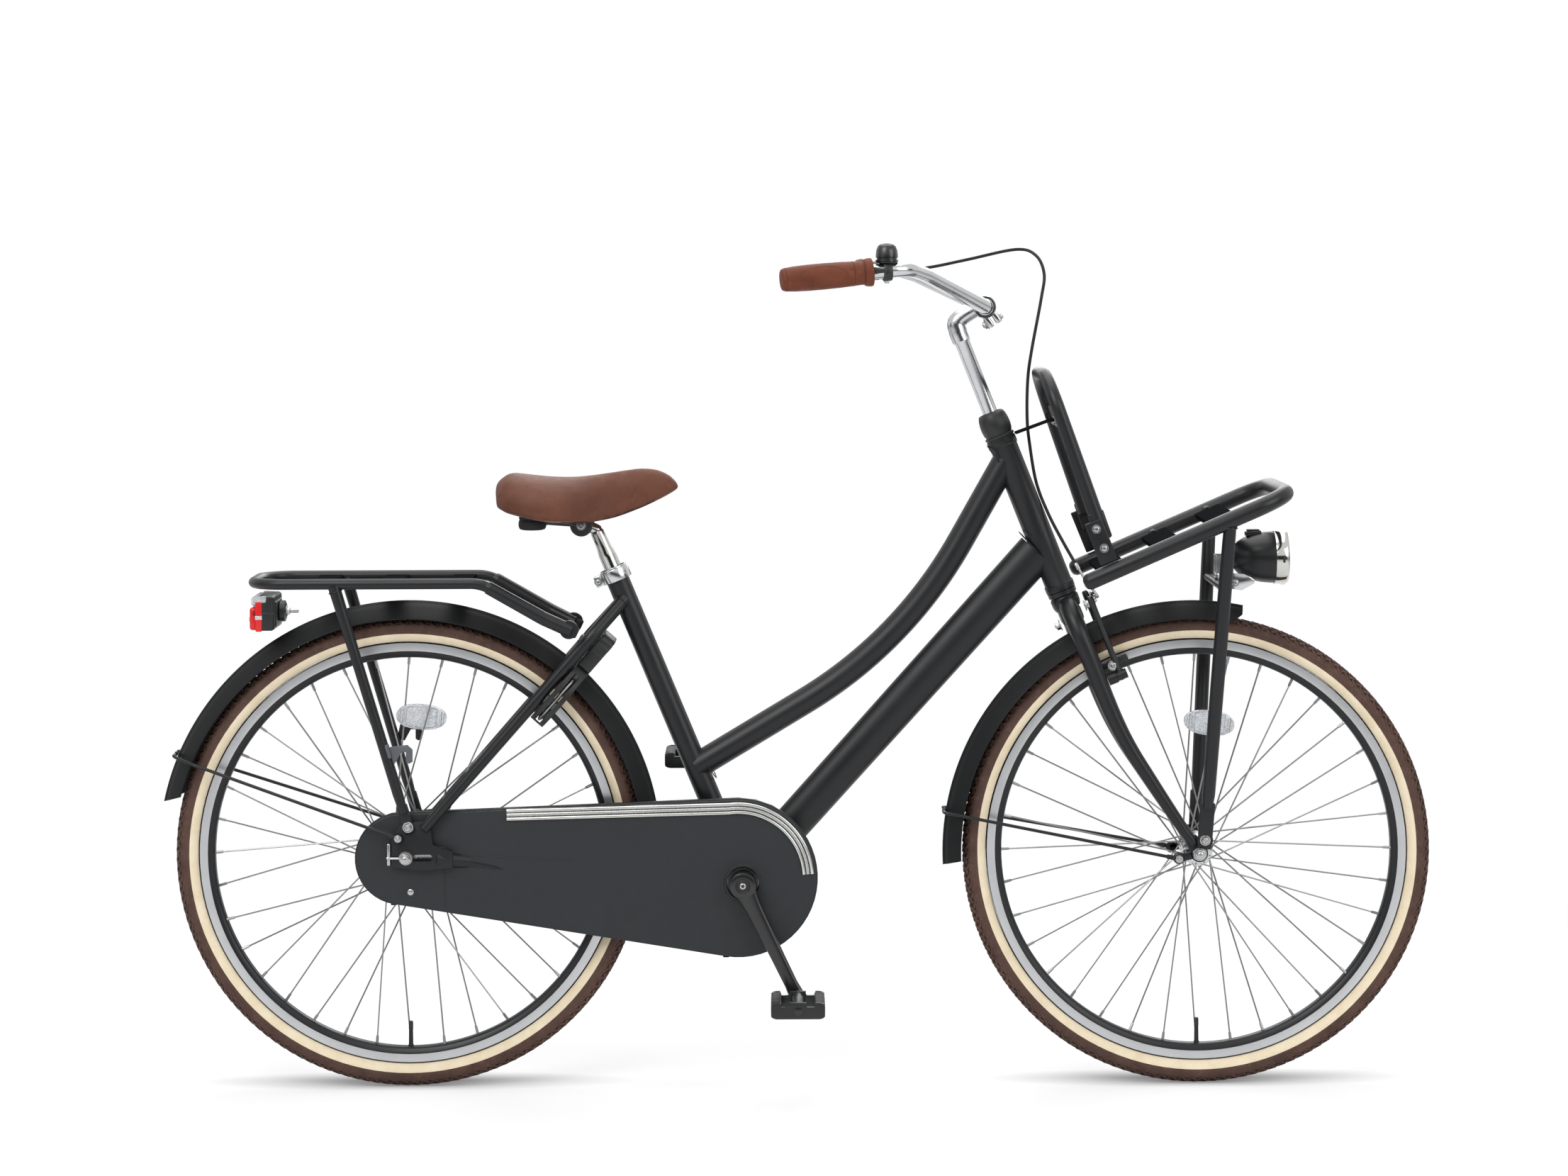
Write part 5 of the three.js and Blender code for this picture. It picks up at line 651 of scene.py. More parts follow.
def tyre(hub, name, body, node):
    """A brown tread with raised blocks over a cream wall, both spun round the hub."""
    def section(angle, swell=0.0):
        return 333.4 + (18.2 + swell) * sin(radians(angle)), (20.4 + swell) * cos(radians(angle))

    def sunk(angle):
        return section(angle, -0.9 * max(0, sin(radians(angle))) ** 0.4)

    tread = turned([sunk(angle) for angle in range(27, 154, 9)], hub, LEFT, 120)
    shoulders = [turned([section(angle) for angle in range(first, first + 46, 9)], hub, LEFT, 120)
                 for first in (-9, 144)]
    for band in (tread, *shoulders):
        modify(band, "SOLIDIFY", thickness=0.0012, offset=-1)
    walls = []
    for side in (1, -1):
        arc = [section(angle, -0.25) for angle in (-8, -16, -25, -34, -43, -52, -60)]
        wall = turned([(r, y * side) for r, y in arc], hub, LEFT, 120)
        modify(wall, "SOLIDIFY", thickness=0.001, offset=-1 if side == 1 else 1)
        walls.append(wear("wall", close_up(wall)))
    blocks = []
    for angle, turn, long, wide, shift in ((90, 0, 9, 3.4, 0), (72, 34, 10, 4.4, 0),
                                           (108, -34, 10, 4.4, 1.25), (53, -34, 11, 4.8, 1.25),
                                           (127, 34, 11, 4.8, 0), (37, 30, 12, 3.2, 0),
                                           (143, -30, 12, 3.2, 1.25)):
        radius, out = section(angle, -0.9)
        normal = way(0, cos(radians(angle)), sin(radians(angle))).normalized()
        stud = block(Vector(), (long, wide, 3), 0, facing(Vector(), normal, radians(turn)), 1)
        set_down(stud, Matrix.Translation(hub + way(0, out, radius)))
        spin = Matrix.Translation(hub) @ Matrix.Rotation(radians(shift), 4, LEFT) @ Matrix.Translation(-hub)
        blocks.append(set_down(stud, spin))
    studs = around(joined(*blocks), 144, hub, LEFT)
    line = wear("tread", turned([(333.4 + 18.4 * sin(radians(a)), -20.6 * cos(radians(a)))
                                 for a in (8, 9.5, 11)], hub, LEFT, 90))
    # The sunk band between the studs wears the darker groove rubber, which paints shade into the grooves.
    whole = joined(wear("groove", tread), *[wear("tread", part) for part in shoulders],
                   wear("tread", studs), line, *walls)
    return hang(whole, name, body, nodes=[node])


def rim(hub, name, body, node):
    """A black hollow-walled rim with a machined track on both sides."""
    outline = [(316.4, -12), (303.2, -12), (301.6, -11.2), (297.5, -10.2), (294.2, -7), (293.4, -4),
               (293.4, 4), (294.2, 7), (297.5, 10.2),
               (301.6, 11.2), (303.2, 12), (316.4, 12), (316.6, 10.4), (311, 9.6), (309, 0), (311, -9.6),
               (316.6, -10.4)]
    body_ring = wear("paint", turned(outline, hub, LEFT, 144, ring=True))
    tracks = []
    for side in (1, -1):
        face = [(315.8, 12.01), (314.9, 12.09), (309.6, 12.03), (304.6, 12.09), (303.8, 12.01)]
        track = turned([(r, y * side) for r, y in face], hub, LEFT, 144)
        tracks.append(wear("track", track))
    return hang(joined(body_ring, *tracks), name, body, nodes=[node])


def laced_hub(hub, name, body, node, flange, outs, profile):
    """A turned hub shell with 36 crossed spokes, their bent heads and their nipples."""
    shell = wear("silver", turned(profile, hub, LEFT, 48))
    parts = [shell]
    for side in (1, -1):
        out = outs[side]
        for lean in (1, -1):
            hole_turn = radians(360 * ((0 if lean == 1 else 1) + (0.5 if side == 1 else 0)) / 18)
            rim_turn = hole_turn + radians(60 * lean)
            stagger = 1.6 * lean
            hole = hub + way((flange - 4) * cos(hole_turn), side * (out + stagger),
                             (flange - 4) * sin(hole_turn))
            seat = hub + way(295 * cos(rim_turn), side * 3 + 1.2 * lean, 295 * sin(rim_turn))
            aim = (seat - hole).normalized()
            head = hole - LEFT * (side * lean * 0.0035)
            spoke = tube(bent([head, hole, seat - aim * 0.010], 1.6, 3), 1.25, None, 1)
            nipple = turned([(0, 0), (1.6, 0), (2.1, 1.5), (2.2, 10), (2.8, 14), (0, 14)],
                            seat - aim * 0.0135, aim, 8)
            cap = turned([(0, 1.1), (1.1, 0.9), (1.9, 0.2), (1.9, 0), (0, 0)], head, LEFT * (-side * lean),
                         8)
            set_of = around(joined(spoke, nipple, cap), 9, hub, LEFT)
            parts.append(wear("spoke", set_of))
    return hang(joined(*parts), name, body, nodes=[node])


def valve(hub, name, body, angle):
    """A rubber stem with its brass core hidden under a ridged cap."""
    outward = way(cos(radians(angle)), 0, sin(radians(angle))).normalized()
    foot = hub + outward * 0.2934
    stem = turned([(0, -2), (4.6, -2), (4.2, 1), (3.4, 3), (3.1, 24), (2.6, 26), (0, 26)], foot, -outward,
                  20)
    ridges = [(3.6 if n % 2 else 3.3, 27 + n) for n in range(8)]
    profile = [(0, 25), (3.5, 25), (3.6, 26)] + ridges + [(3.2, 36), (2.6, 37.4), (0, 38)]
    cap = turned(profile, foot, -outward, 20)
    return hang(built(grey_rubber=[stem], plastic=[cap]), name, body)


def reflector(hub, name, body, node, radius, angle):
    """A clear oval moulding with a framed prism panel, its rim and its two spoke clips."""
    outward = way(cos(radians(angle)), 0, sin(radians(angle))).normalized()
    along = LEFT.cross(outward)
    middle = hub + outward * radius / 1000

    def lens(length, width, thick, corner, lift):
        outline = []
        for n in range(40):
            turn = 2 * pi * n / 40
            x = length / 2 * abs(cos(turn)) ** corner * (1 if cos(turn) >= 0 else -1)
            z = width / 2 * abs(sin(turn)) ** corner * (1 if sin(turn) >= 0 else -1)
            outline.append(middle + along * x / 1000 + outward * z / 1000 + RIGHT * lift / 1000)
        return plate(outline, RIGHT * thick / 1000, 0.8, 3)

    shell = wear("clear", lens(76, 37.5, 9, 0.86, -4.5))
    panel = wear("clear", lens(45, 30, 1.4, 0.42, 4.6))
    back = wear("clear", lens(45, 30, 1.4, 0.42, -6.0))
    clips = []
    for side in (1, -1):
        clips.append(wear("clear", block(middle + along * side * 0.031 + RIGHT * 0.005, (6, 4.4, 20), 1,
                                         frame_of(along, RIGHT))))
        groove = tube([middle + along * side * 0.031 + RIGHT * 0.0074 - outward * 0.011,
                       middle + along * side * 0.031 + RIGHT * 0.0074 + outward * 0.011], 0.7, None, 2)
        clips.append(wear("steel", groove))
    corners = ((-23.6, -15.6), (23.6, -15.6), (23.6, 15.6), (-23.6, 15.6), (-23.6, -15.6))
    frame_line = wear("clear", tube([middle + along * x / 1000 + outward * z / 1000 + RIGHT * 0.0061
                                     for x, z in corners], 0.6, None, 2))
    return hang(joined(shell, panel, back, frame_line, *clips), name, body, nodes=[node])


front_hub_at = front(0, 0, 0)
rear_hub_at = rear(0, 0, 0)
tyre(front_hub_at, "front_tyre_rubber", "front_wheel", "front_tyre")
tyre(rear_hub_at, "rear_tyre_rubber", "rear_wheel", "rear_tyre")
rim(front_hub_at, "front_rim_ring", "front_wheel", "front_rim")
rim(rear_hub_at, "rear_rim_ring", "rear_wheel", "rear_rim")
laced_hub(front_hub_at, "front_spokes", "front_wheel", "front_hub", 22.5, {1: 32, -1: 32},
          [(5, -44), (9, -44), (13, -40), (13, -35), (20, -34.2), (22, -33.6), (22.5, -32), (22, -30.4),
           (20, -29.8), (15.4, -28), (15, -24),
           (14.4, 0), (15, 24), (15.4, 28), (20, 29.8), (22, 30.4), (22.5, 32), (22, 33.6), (20, 34.2),
           (13, 35), (13, 40), (9, 44), (5, 44)])
laced_hub(rear_hub_at, "rear_spokes", "rear_wheel", "rear_hub", 35, {1: 29, -1: 29},
          [(8, -33), (18, -33), (18, -31.6), (33, -31), (34.6, -30.4), (35, -29), (34.6, -27.6),
           (33, -26.8), (26, -25), (25, -20),
           (24.4, 0), (25, 20), (26, 25), (33, 26.8), (34.6, 27.6), (35, 29), (34.6, 30.4), (33, 31),
           (24, 32), (22, 40), (18, 50), (8, 51.6)])
valve(front_hub_at, "front_valve", "front_wheel", -90)
valve(rear_hub_at, "rear_valve", "rear_wheel", -90)
reflector(rear_hub_at, "rear_spoke_reflector", "rear_wheel", "rear_reflector", 204, 85)
reflector(front_hub_at, "front_spoke_reflector", "front_wheel", "front_reflector", 190, 83.5)


# Frame.

def head_tube():
    """A straight tube with a swelled cup at each end and the weld beads of the two tubes behind it."""
    low, high, r = 437.7, 437.7 + 243.9, 21
    profile = [(r - 3, low), (r + 1.6, low), (r + 1.6, low + 8), (r, low + 11), (r, high - 11),
               (r + 1.6, high - 8), (r + 1.6, high), (r - 3, high)]
    sleeve = wear("paint", turned(profile, steered(0, 0, 0), STEER_UP, 48))
    bore = wear("paint", turned([(r - 3, low), (r - 3, high)], steered(0, 0, 0), STEER_UP, 48))
    lines = [wear("paint", turned([(r + 1.3, a - 0.8), (r + 2.0, a), (r + 1.3, a + 0.8)], steered(0, 0, 0),
                                  STEER_UP, 48)) for a in (low + 9.5, high - 9.5)]
    beads = [wear("paint", weld(steered(0, 0, 653.7) - AHEAD * 0.0195, way(0.83, 0, 0.56), 19.4, 1.1)),
             wear("paint", weld(steered(0, 0, 510.8) - AHEAD * 0.0185, way(0.74, 0, 0.67), 25.4, 1.1,
                                stretch=LEFT * -0.15))]
    return hang(joined(sleeve, bore, *lines, *beads), "head_tube_sleeve", "frame",
                nodes=["head_tube"])


def top_tube():
    """The low curved tube that runs straight off the seat tube and bends up to the head tube."""
    start, end = on_seat_tube(182.5), steered(0, 0, 653.7)
    path = bent([start, at(747, 0, 667), end], 660, 26)
    bar = wear("paint", tube(path, 20, None, 7))
    bead = wear("paint", weld(start + AHEAD * 0.02, path[1] - path[0], 19.8, 0.9))
    return hang(joined(bar, bead), "top_tube_bar", "frame", nodes=["top_tube"])


def down_tube():
    """The thick oval tube from the crank shell up to the head tube, left bare."""
    start, end = BRACKET, steered(0, 0, 510.8)
    axis = (end - start).normalized()
    over = LEFT.cross(axis) * -1
    rings = []
    for n in range(13):
        share = n / 12
        wide, tall = 20 + 3 * share, 28 + 3 * share
        middle = start.lerp(end, 0.02 + 0.96 * share)
        rings.append([middle + LEFT * (wide * cos(t) / 1000) + over * (tall * sin(t) / 1000)
                      for t in (2 * pi * k / 44 for k in range(44))])
    return hang(wear("paint", lofted(rings)), "down_tube_bar", "frame", nodes=["down_tube"])


def lofted(rings):
    """Closed rings of points, drawn first and bridged into one skin with its ends filled."""
    hoops = [close_up(chain(list(ring) + [ring[0]])) for ring in rings]
    piece = joined(*hoops)
    edit(piece)
    bpy.ops.mesh.bridge_edge_loops()
    bpy.ops.mesh.fill_holes(sides=0)
    bpy.ops.object.mode_set(mode="OBJECT")
    return close_up(piece)


def seat_tube():
    """The seat tube with the crank shell at its foot and a thickened lip at its mouth."""
    points = [on_seat_tube(a) for a in (0, 120, 240, 360, 500, 506)]
    bar = wear("paint", tube(points, 17.5, None, 7))
    shell = wear("paint", turned([(17, -34), (20.4, -34), (21, -33.4), (21, 33.4), (20.4, 34), (17, 34)],
                                 BRACKET, LEFT, 48))
    bead = wear("paint", weld(on_seat_tube(22), SEAT_UP, 17.9, 1.6))
    mouth = wear("paint", turned([(17.5, 500), (18.2, 503), (18.2, 506), (14.2, 506), (14.0, 490)],
                                 on_seat_tube(0), SEAT_UP, 40))
    return hang(joined(bar, shell, bead, mouth), "seat_tube_bar", "frame",
                nodes=["seat_tube"])


def both(piece):
    """A piece and its mirror image on the other side."""
    return [piece, mirrored(piece)]


# The end plate's outline, as shares of its reach ahead and of its height.
DROPOUT = ((1, .16), (.57, .35), (.54, .71), (.43, 1), (-.09, .93), (-.31, .58), (-.31, -.68), (.29, -1),
           (1, -.79))


def dropout(side):
    """A steel end plate with its slot, its lugs and the chain tensioner's ears."""
    out = 60 + 2.5
    outline = []
    for a, b in DROPOUT:
        outline.append(rear(a * (70 if a > 0 else 22 / 0.31), side * (out - 2.5),
                            b * (55 if b > 0 else 19)))
    slab = plate(outline, LEFT * side * 0.005, 0.7)
    slot = block(rear(14, side * out, 0), (52, 12, 10.4), 4.9, None, 4)
    slab = cut(slab, slot)
    eyes = [socket_bolt(5.6, 5, rear(4, side * 65, 47), LEFT * side),
            socket_bolt(4.6, 4.4, rear(-11, side * 65, 30), LEFT * side)]
    return wear("paint", slab), [wear("steel", eye) for eye in eyes]


def chainstays():
    """Two chainstays, pinched inside the chain case, with the end plates and their bridge."""
    mid = [BRACKET + LEFT * 0.022, at(400, 28, 276), rear(96, 43, -9), rear(44, 58, -2)]
    stay = tube(bent(mid, [120, 60], 8), 11, None, 6)
    knots = both(wear("paint", stay))
    plates, bolts = [], []
    for side in (1, -1):
        slab, eyes = dropout(side)
        plates.append(slab)
        bolts += eyes
    bridge = wear("paint", tube([at(430, -22, 290), at(430, 22, 290)], 7, None, 4))
    hang(joined(*knots, *plates, bridge), "chainstay_pair", "frame", nodes=["chainstays"])
    hang(joined(*bolts), "dropout_bolts", "frame")


def seatstays():
    """Two stays from the seat tube, bent out round the tyre and flattened at the end plates."""
    path = bent([on_seat_tube(459, 10.3), rear(278, 44, 328), rear(27, 63.5, 43)], 60, 8)
    count = len(path)
    stay = wear("paint", tube(path, 10, [1.0] * (count - 2) + [0.98, 0.8], 6))
    bead = wear("paint", weld(path[0] + (path[1] - path[0]) * 0.12, path[1] - path[0], 10.4, 1.2, 28))
    bridge = wear("paint", tube([rear(262, -43, 316), rear(262, 43, 316)], 7, None, 5))
    hang(joined(*both(stay), *both(bead), bridge), "seatstay_pair", "frame",
         nodes=["seatstays"])


def seat_collar():
    """A pressed band round the seat tube's mouth, with two ears behind it and a bolt across them."""
    middle = on_seat_tube(506)
    band = turned([(18.6, -18), (22, -18), (22.4, -17), (22.4, -1), (22, 0), (18.6, 0), (18.6, -18)],
                  middle, SEAT_UP, 56)
    ears = []
    back = SEAT_UP.cross(LEFT)
    for side in (1, -1):
        ears.append(block(middle - SEAT_UP * 0.009 + back * 0.0262 + LEFT * side * 0.0036, (14, 5, 17), 1.6,
                          frame_of(back, LEFT)))
    bolt = socket_bolt(4.6, 4.2, middle - SEAT_UP * 0.009 + back * 0.0278 - LEFT * 0.0062, RIGHT)
    nut = hex_nut(4.8, 4, middle - SEAT_UP * 0.009 + back * 0.0278 + LEFT * 0.0062, LEFT)
    lip = turned([(18.2, 0), (20.2, 0), (20.4, 1.5), (20, 2.6), (18.2, 2.6)], middle, SEAT_UP, 48)
    hang(built(silver=[band, *ears, lip], steel=[bolt, nut]),
         "seat_collar_band", "frame", nodes=["seat_collar"])


head_tube()
top_tube()
down_tube()
seat_tube()
chainstays()
seatstays()
seat_collar()


# Chain case.

def case_outline():
    """The case's side view: a large round end at the cranks and a small one at the hub."""
    fore, aft = at(BRACKET_AHEAD - 7, 0, BRACKET_UP + 8), at(-9, 0, 350)
    big, small = 0.118, 0.068
    run = fore - aft
    lean = atan2(run.z, run.x)
    spread = asin((big - small) / run.length)
    top, bottom = pi / 2 + lean + spread, -pi / 2 + lean - spread
    points = []
    for n in range(31):
        turn = bottom + (top - bottom) * n / 30
        points.append(fore + Vector((cos(turn), 0, sin(turn))) * big)
    for n in range(21):
        turn = top + (2 * pi + bottom - top) * n / 20
        points.append(aft + Vector((cos(turn), 0, sin(turn))) * small)
    return points


def chain_case():
    """The moulded outer cover with its rolled rim, raised hub cap, axle cut-out and snap tabs."""
    cover = plate([p + RIGHT * 0.036 for p in case_outline()], RIGHT * 0.0155, 3.4, 4)
    hole = turned([(0, 30), (24, 30), (24, 60), (0, 60)], BRACKET, RIGHT, 48)
    slot = block(rear(24, -50, 0), (72, 40, 28), 8, None, 4)
    cut(cover, hole, slot)
    rim_line = tube([p + RIGHT * 0.0493 for p in case_outline() + case_outline()[:1]], 1.1, None, 2)
    hub_ring = turned([(24, 49), (24, 52.4), (25, 53.4), (27.4, 53.4), (28.4, 52.2), (29, 51.4)],
                      BRACKET, RIGHT, 56)
    parts = [cover, rim_line, hub_ring]
    parts.append(tube(bent([rear(-12, -51.8, 14), rear(60, -51.8, 14), rear(60, -51.8, -14),
                            rear(-12, -51.8, -14)], 8, 6), 1.0, None, 2))
    crease = tube([rear(66, -51.5, 3), rear(250, -51.5, -6)], 0.8, None, 2)
    parts += [crease, tube([rear(57, -51.5, -18), rear(57, -51.5, -75)], 0.7, None, 2)]
    tabs = []
    for x, z in ((17, -69), (37, -71), (78, -80), (140, -89), (190, -97), (240, -104), (292, -112),
                 (348, -118), (396, -119)):
        near = min(case_outline(), key=lambda p: (p - rear(x, 0, z)).length)
        tabs.append(block(near + RIGHT * 0.0475 - UP * 0.0004, (9, 4, 4.6), 0.9))
    whole = built(case=parts + tabs)
    hang(whole, "chain_case_cover_shell", "frame", nodes=["chain_case_cover"], smooth=30)
    rivet = wear("steel", turned([(0, 2), (3, 2), (4.6, 1.2), (4.9, 0), (0, 0)], rear(5.6, -51.5, -53),
                                 RIGHT, 24))
    dimple = wear("case", turned([(5, 0), (6.2, 0.9), (8.4, 0.9), (9.4, 0)], rear(5.6, -51.4, -53), RIGHT,
                                 32))
    hang(joined(rivet, dimple), "case_screw", "frame")


def case_trim():
    """A bright strip with two ridges that follows the case's top edge and goes round its front."""
    fore = at(496, 0, 319)
    path = []
    count = 40
    for n in range(count + 1):
        turn = radians(3 + (97 - 3) * n / count)
        path.append(fore + Vector((cos(turn), 0, sin(turn))) * 0.1045 + RIGHT * 0.0523)
    lead = path[-1]
    far = rear(150, -52.3, 62)
    path += [lead.lerp(far, n / 8) for n in range(1, 9)]
    ribs = []
    for shift, radius in ((-0.0062, 2.9), (0.0, 3.3), (0.0062, 2.9)):
        lines = []
        for n, p in enumerate(path):
            here = path[min(n + 1, len(path) - 1)] - path[max(n - 1, 0)]
            out = here.cross(LEFT).normalized()
            lines.append(p + out * shift + (LEFT * 0.0014 if shift == 0 else Vector()))
        ribs.append(wear("chrome" if shift else "steel", tube(lines, radius, None, 4)))
    hang(joined(*ribs), "chain_case_trim_strip", "frame", nodes=["chain_case_trim"])


# Fenders.

def fender(name, body, node, centre, radius, start, end, steps, *trims):
    """A rolled guard: a crowned band with turned edges and a raised middle, its ends trimmed on a slant."""
    section = [(-1, 1.075), (-0.97, 1.09), (-0.86, 0.94), (-0.66, 0.71), (-0.42, 0.42), (-0.2, 0.2),
               (-0.11, 0.16), (-0.06, 0.05), (0, 0.02),
               (0.06, 0.05), (0.11, 0.16), (0.2, 0.2), (0.42, 0.42), (0.66, 0.71), (0.86, 0.94),
               (0.97, 1.09), (1, 1.075)]
    depth, half_width = 24, 29.2
    points = [way(radius - depth * drop, 0, half_width * out) for out, drop in section]
    band = chain(points)
    edit(band)
    bpy.ops.mesh.spin(steps=steps, angle=radians(start - end), center=(0, 0, 0), axis=(0, 0, 1))
    close_up(band)
    turn = (Matrix.Translation(centre) @ Matrix.Rotation(radians(90), 4, "X")
            @ Matrix.Rotation(radians(start), 4, "Z"))
    set_down(band, turn)
    modify(band, "SOLIDIFY", thickness=0.0014, offset=0)
    close_up(band)
    for spot, slope in trims:
        cut(band, block(spot, (56, 80, 22), 0, Matrix.Rotation(radians(slope), 4, "Y"), 1))
    return hang(wear("guard", band), name, body, nodes=[node], smooth=50)


chain_case()
case_trim()
fender("rear_fender_band", "frame", "rear_fender", rear(0, 0, 0), 379.3, 168.3, -6, 120,
       (rear(-356.1, 0, 70.9), -18.6))
fender("front_fender_band", "steering", "front_fender", front(-4, 0, -4), 378, 182.9, 78.2, 80,
       (Vector((0.6835, MID_Y, 0.7)), -32), (front(-365.4, 0, -29.4), -18.6))


# Racks.

def flat_end(place, axis, across, length, thick, wide):
    """The pressed end of a tube, with its rounded tip."""
    return block(place, (length, thick, wide), min(thick, wide) * 0.45, frame_of(axis, across), 3)


def slat(middle, along, across, up, width, length, thick):
    """A pressed cross plate with turned-down edges."""
    top = block(middle, (width, length, thick), 1.2, frame_of(along, across), 3)
    edges = [block(middle + along * s * (width / 2 - 1) / 1000 - up * 0.002, (2, length - 6, thick + 4),
                   0.9, frame_of(along, across)) for s in (1, -1)]
    return wear("matt", joined(top, *edges))


def hook_outline(foot, along, up, reach, height):
    shares = ((0, .1), (.12, .9), (.8, 1), (1, .75), (1, .1), (.86, 0), (.74, .1), (.74, .62), (.55, .62),
              (.3, 0))
    return [foot + along * a * reach / 1000 + up * b * height / 1000 for a, b in shares]


def rear_rack():
    """One bent rail with slats across it, a strut on each side and its flattened, bolted front ends."""
    half = [rear(247, -64, 338.7), rear(208, -72, 357.4), rear(115, -78, 410.5), rear(-229.6, -78, 410.5)]
    whole = half + [p + LEFT * 2 * (MID_Y - p.y) for p in reversed(half)]
    path = bent(whole, [40, 60, 50, 50, 60, 40], 10)
    rail = tube(path, 8, [1.3 if p.x > rear(190, 0, 0).x else 1.22 if p.x > rear(124, 0, 0).x else 1
                          for p in path], 6)
    slats = [slat(rear(229.6 * s, 0, 410.5), AHEAD, LEFT, UP, 34, 146, 4) for s in (-.544, -.105, .344)]
    sides = []
    hooks = []
    for side in (1, -1):
        top, foot = rear(-103, side * 78, 404), rear(4, side * 69, 47)
        run = (foot - top).normalized()
        path = [top - run * 0.004, top.lerp(foot, 0.3), top.lerp(foot, 0.86), top.lerp(foot, 0.94)]
        sides.append(tube(path, 8, [1.15, 1, 1, 0.8], 6))
        sides.append(flat_end(top.lerp(foot, 0.965) - LEFT * side * 0.001, run, LEFT, 44, 6, 17))
        sides.append(weld(top + run * 0.005, run, 9.2, 1.3, 28))
        lug = rear(247, side * 64, 338.7)
        back = (rear(208, side * 72, 357.4) - lug).normalized()
        sides.append(flat_end(lug + back * 0.008, back, LEFT, 40, 7, 17))
        sides.append(turned([(0, -4.4), (13, -4.4), (13.8, -3.6), (13.8, 3.6), (13, 4.4), (0, 4.4)],
                            rear(245, side * 65.5, 340), LEFT, 36))
        sides.append(socket_bolt(5.4, 4, rear(245, side * 69.9, 340), LEFT * side))
        foot_at = top.lerp(foot, (404 - 172) / 357)
        outline = hook_outline(foot_at + AHEAD * 0.007 - UP * (0.03 if side == -1 else 0.014), AHEAD, UP,
                               38, 28)
        coating = "hook" if side == -1 else "paint"
        hooks.append(wear(coating, plate([p + LEFT * side * 0.002 for p in outline], LEFT * side * -0.004,
                                           0.8)))
        hooks.append(wear(coating, block(foot_at + AHEAD * 0.006 - UP * 0.012, (22, 14, 12), 2.4,
                                           frame_of(run, LEFT), 3)))
    frame_bits = [wear("paint", part) for part in [rail] + sides] + slats
    hang(joined(*frame_bits), "rear_rack_rail", "frame", nodes=["rear_rack"])
    hang(joined(*hooks), "rack_strap_hooks", "frame")
    bolts = []
    for side in (1, -1):
        bolts.append(socket_bolt(6, 5, rear(4, side * 72.4, 47), LEFT * side))
    hang(built(steel=bolts), "rack_bolts", "frame")


def rear_light():
    """A black housing under the rack, with a red and clear lens behind it and a stud ahead of it."""
    middle = rear(-222, 0, 392 - 28)
    body_block = block(middle + AHEAD * 0.010, (28, 92, 52), 5, None, 4)
    step = block(middle + AHEAD * 0.021 - UP * 0.002, (10, 70, 40), 4, None, 3)
    rib = block(middle + AHEAD * 0.008, (32, 93, 3), 1, None, 2)
    ring = turned([(0, 0), (14, 0), (16, 2), (16, 9), (11, 11), (0, 11)], middle + AHEAD * 0.026, AHEAD, 32)
    dark = [wear("plastic", part) for part in (body_block, step, rib, ring)]
    for side in (1, -1):
        flank = middle + LEFT * side * 0.0452
        dark.append(wear("red", block(flank + AHEAD * 0.001 - UP * 0.004, (10, 4, 46), 2, None, 3)))
        dark.append(wear("clear", block(flank + AHEAD * 0.001 - UP * 0.006, (10.6, 4.6, 7), 1.4, None, 2)))
        dark.append(wear("clear", block(flank + AHEAD * 0.004 + UP * 0.0215, (17, 4.4, 10), 2, None, 3)))
    stud = wear("steel", turned([(0, 22), (2.4, 22), (2.9, 21), (2.9, 0), (0, 0)], middle + AHEAD * 0.033,
                                AHEAD, 16))
    nut = hex_nut(6.2, 5, middle + AHEAD * 0.037, AHEAD)
    hang(joined(*dark, stud, wear("steel", nut)), "rear_light_case", "frame",
         nodes=["rear_light"])
    lens = [wear("red", block(middle - AHEAD * 0.0075 - UP * 0.008, (11, 88, 34), 4, None, 4)),
            wear("red", block(middle - AHEAD * 0.0085 - UP * 0.008, (11, 74, 22), 5, None, 4)),
            wear("clear", block(middle - AHEAD * 0.0085 - UP * 0.009, (11.6, 80, 8), 2, None, 3)),
            wear("clear", block(middle - AHEAD * 0.006 + UP * 0.018, (10, 84, 14), 4, None, 4))]
    hang(joined(*lens), "rear_light_lens_body", "frame", nodes=["rear_light_lens"])


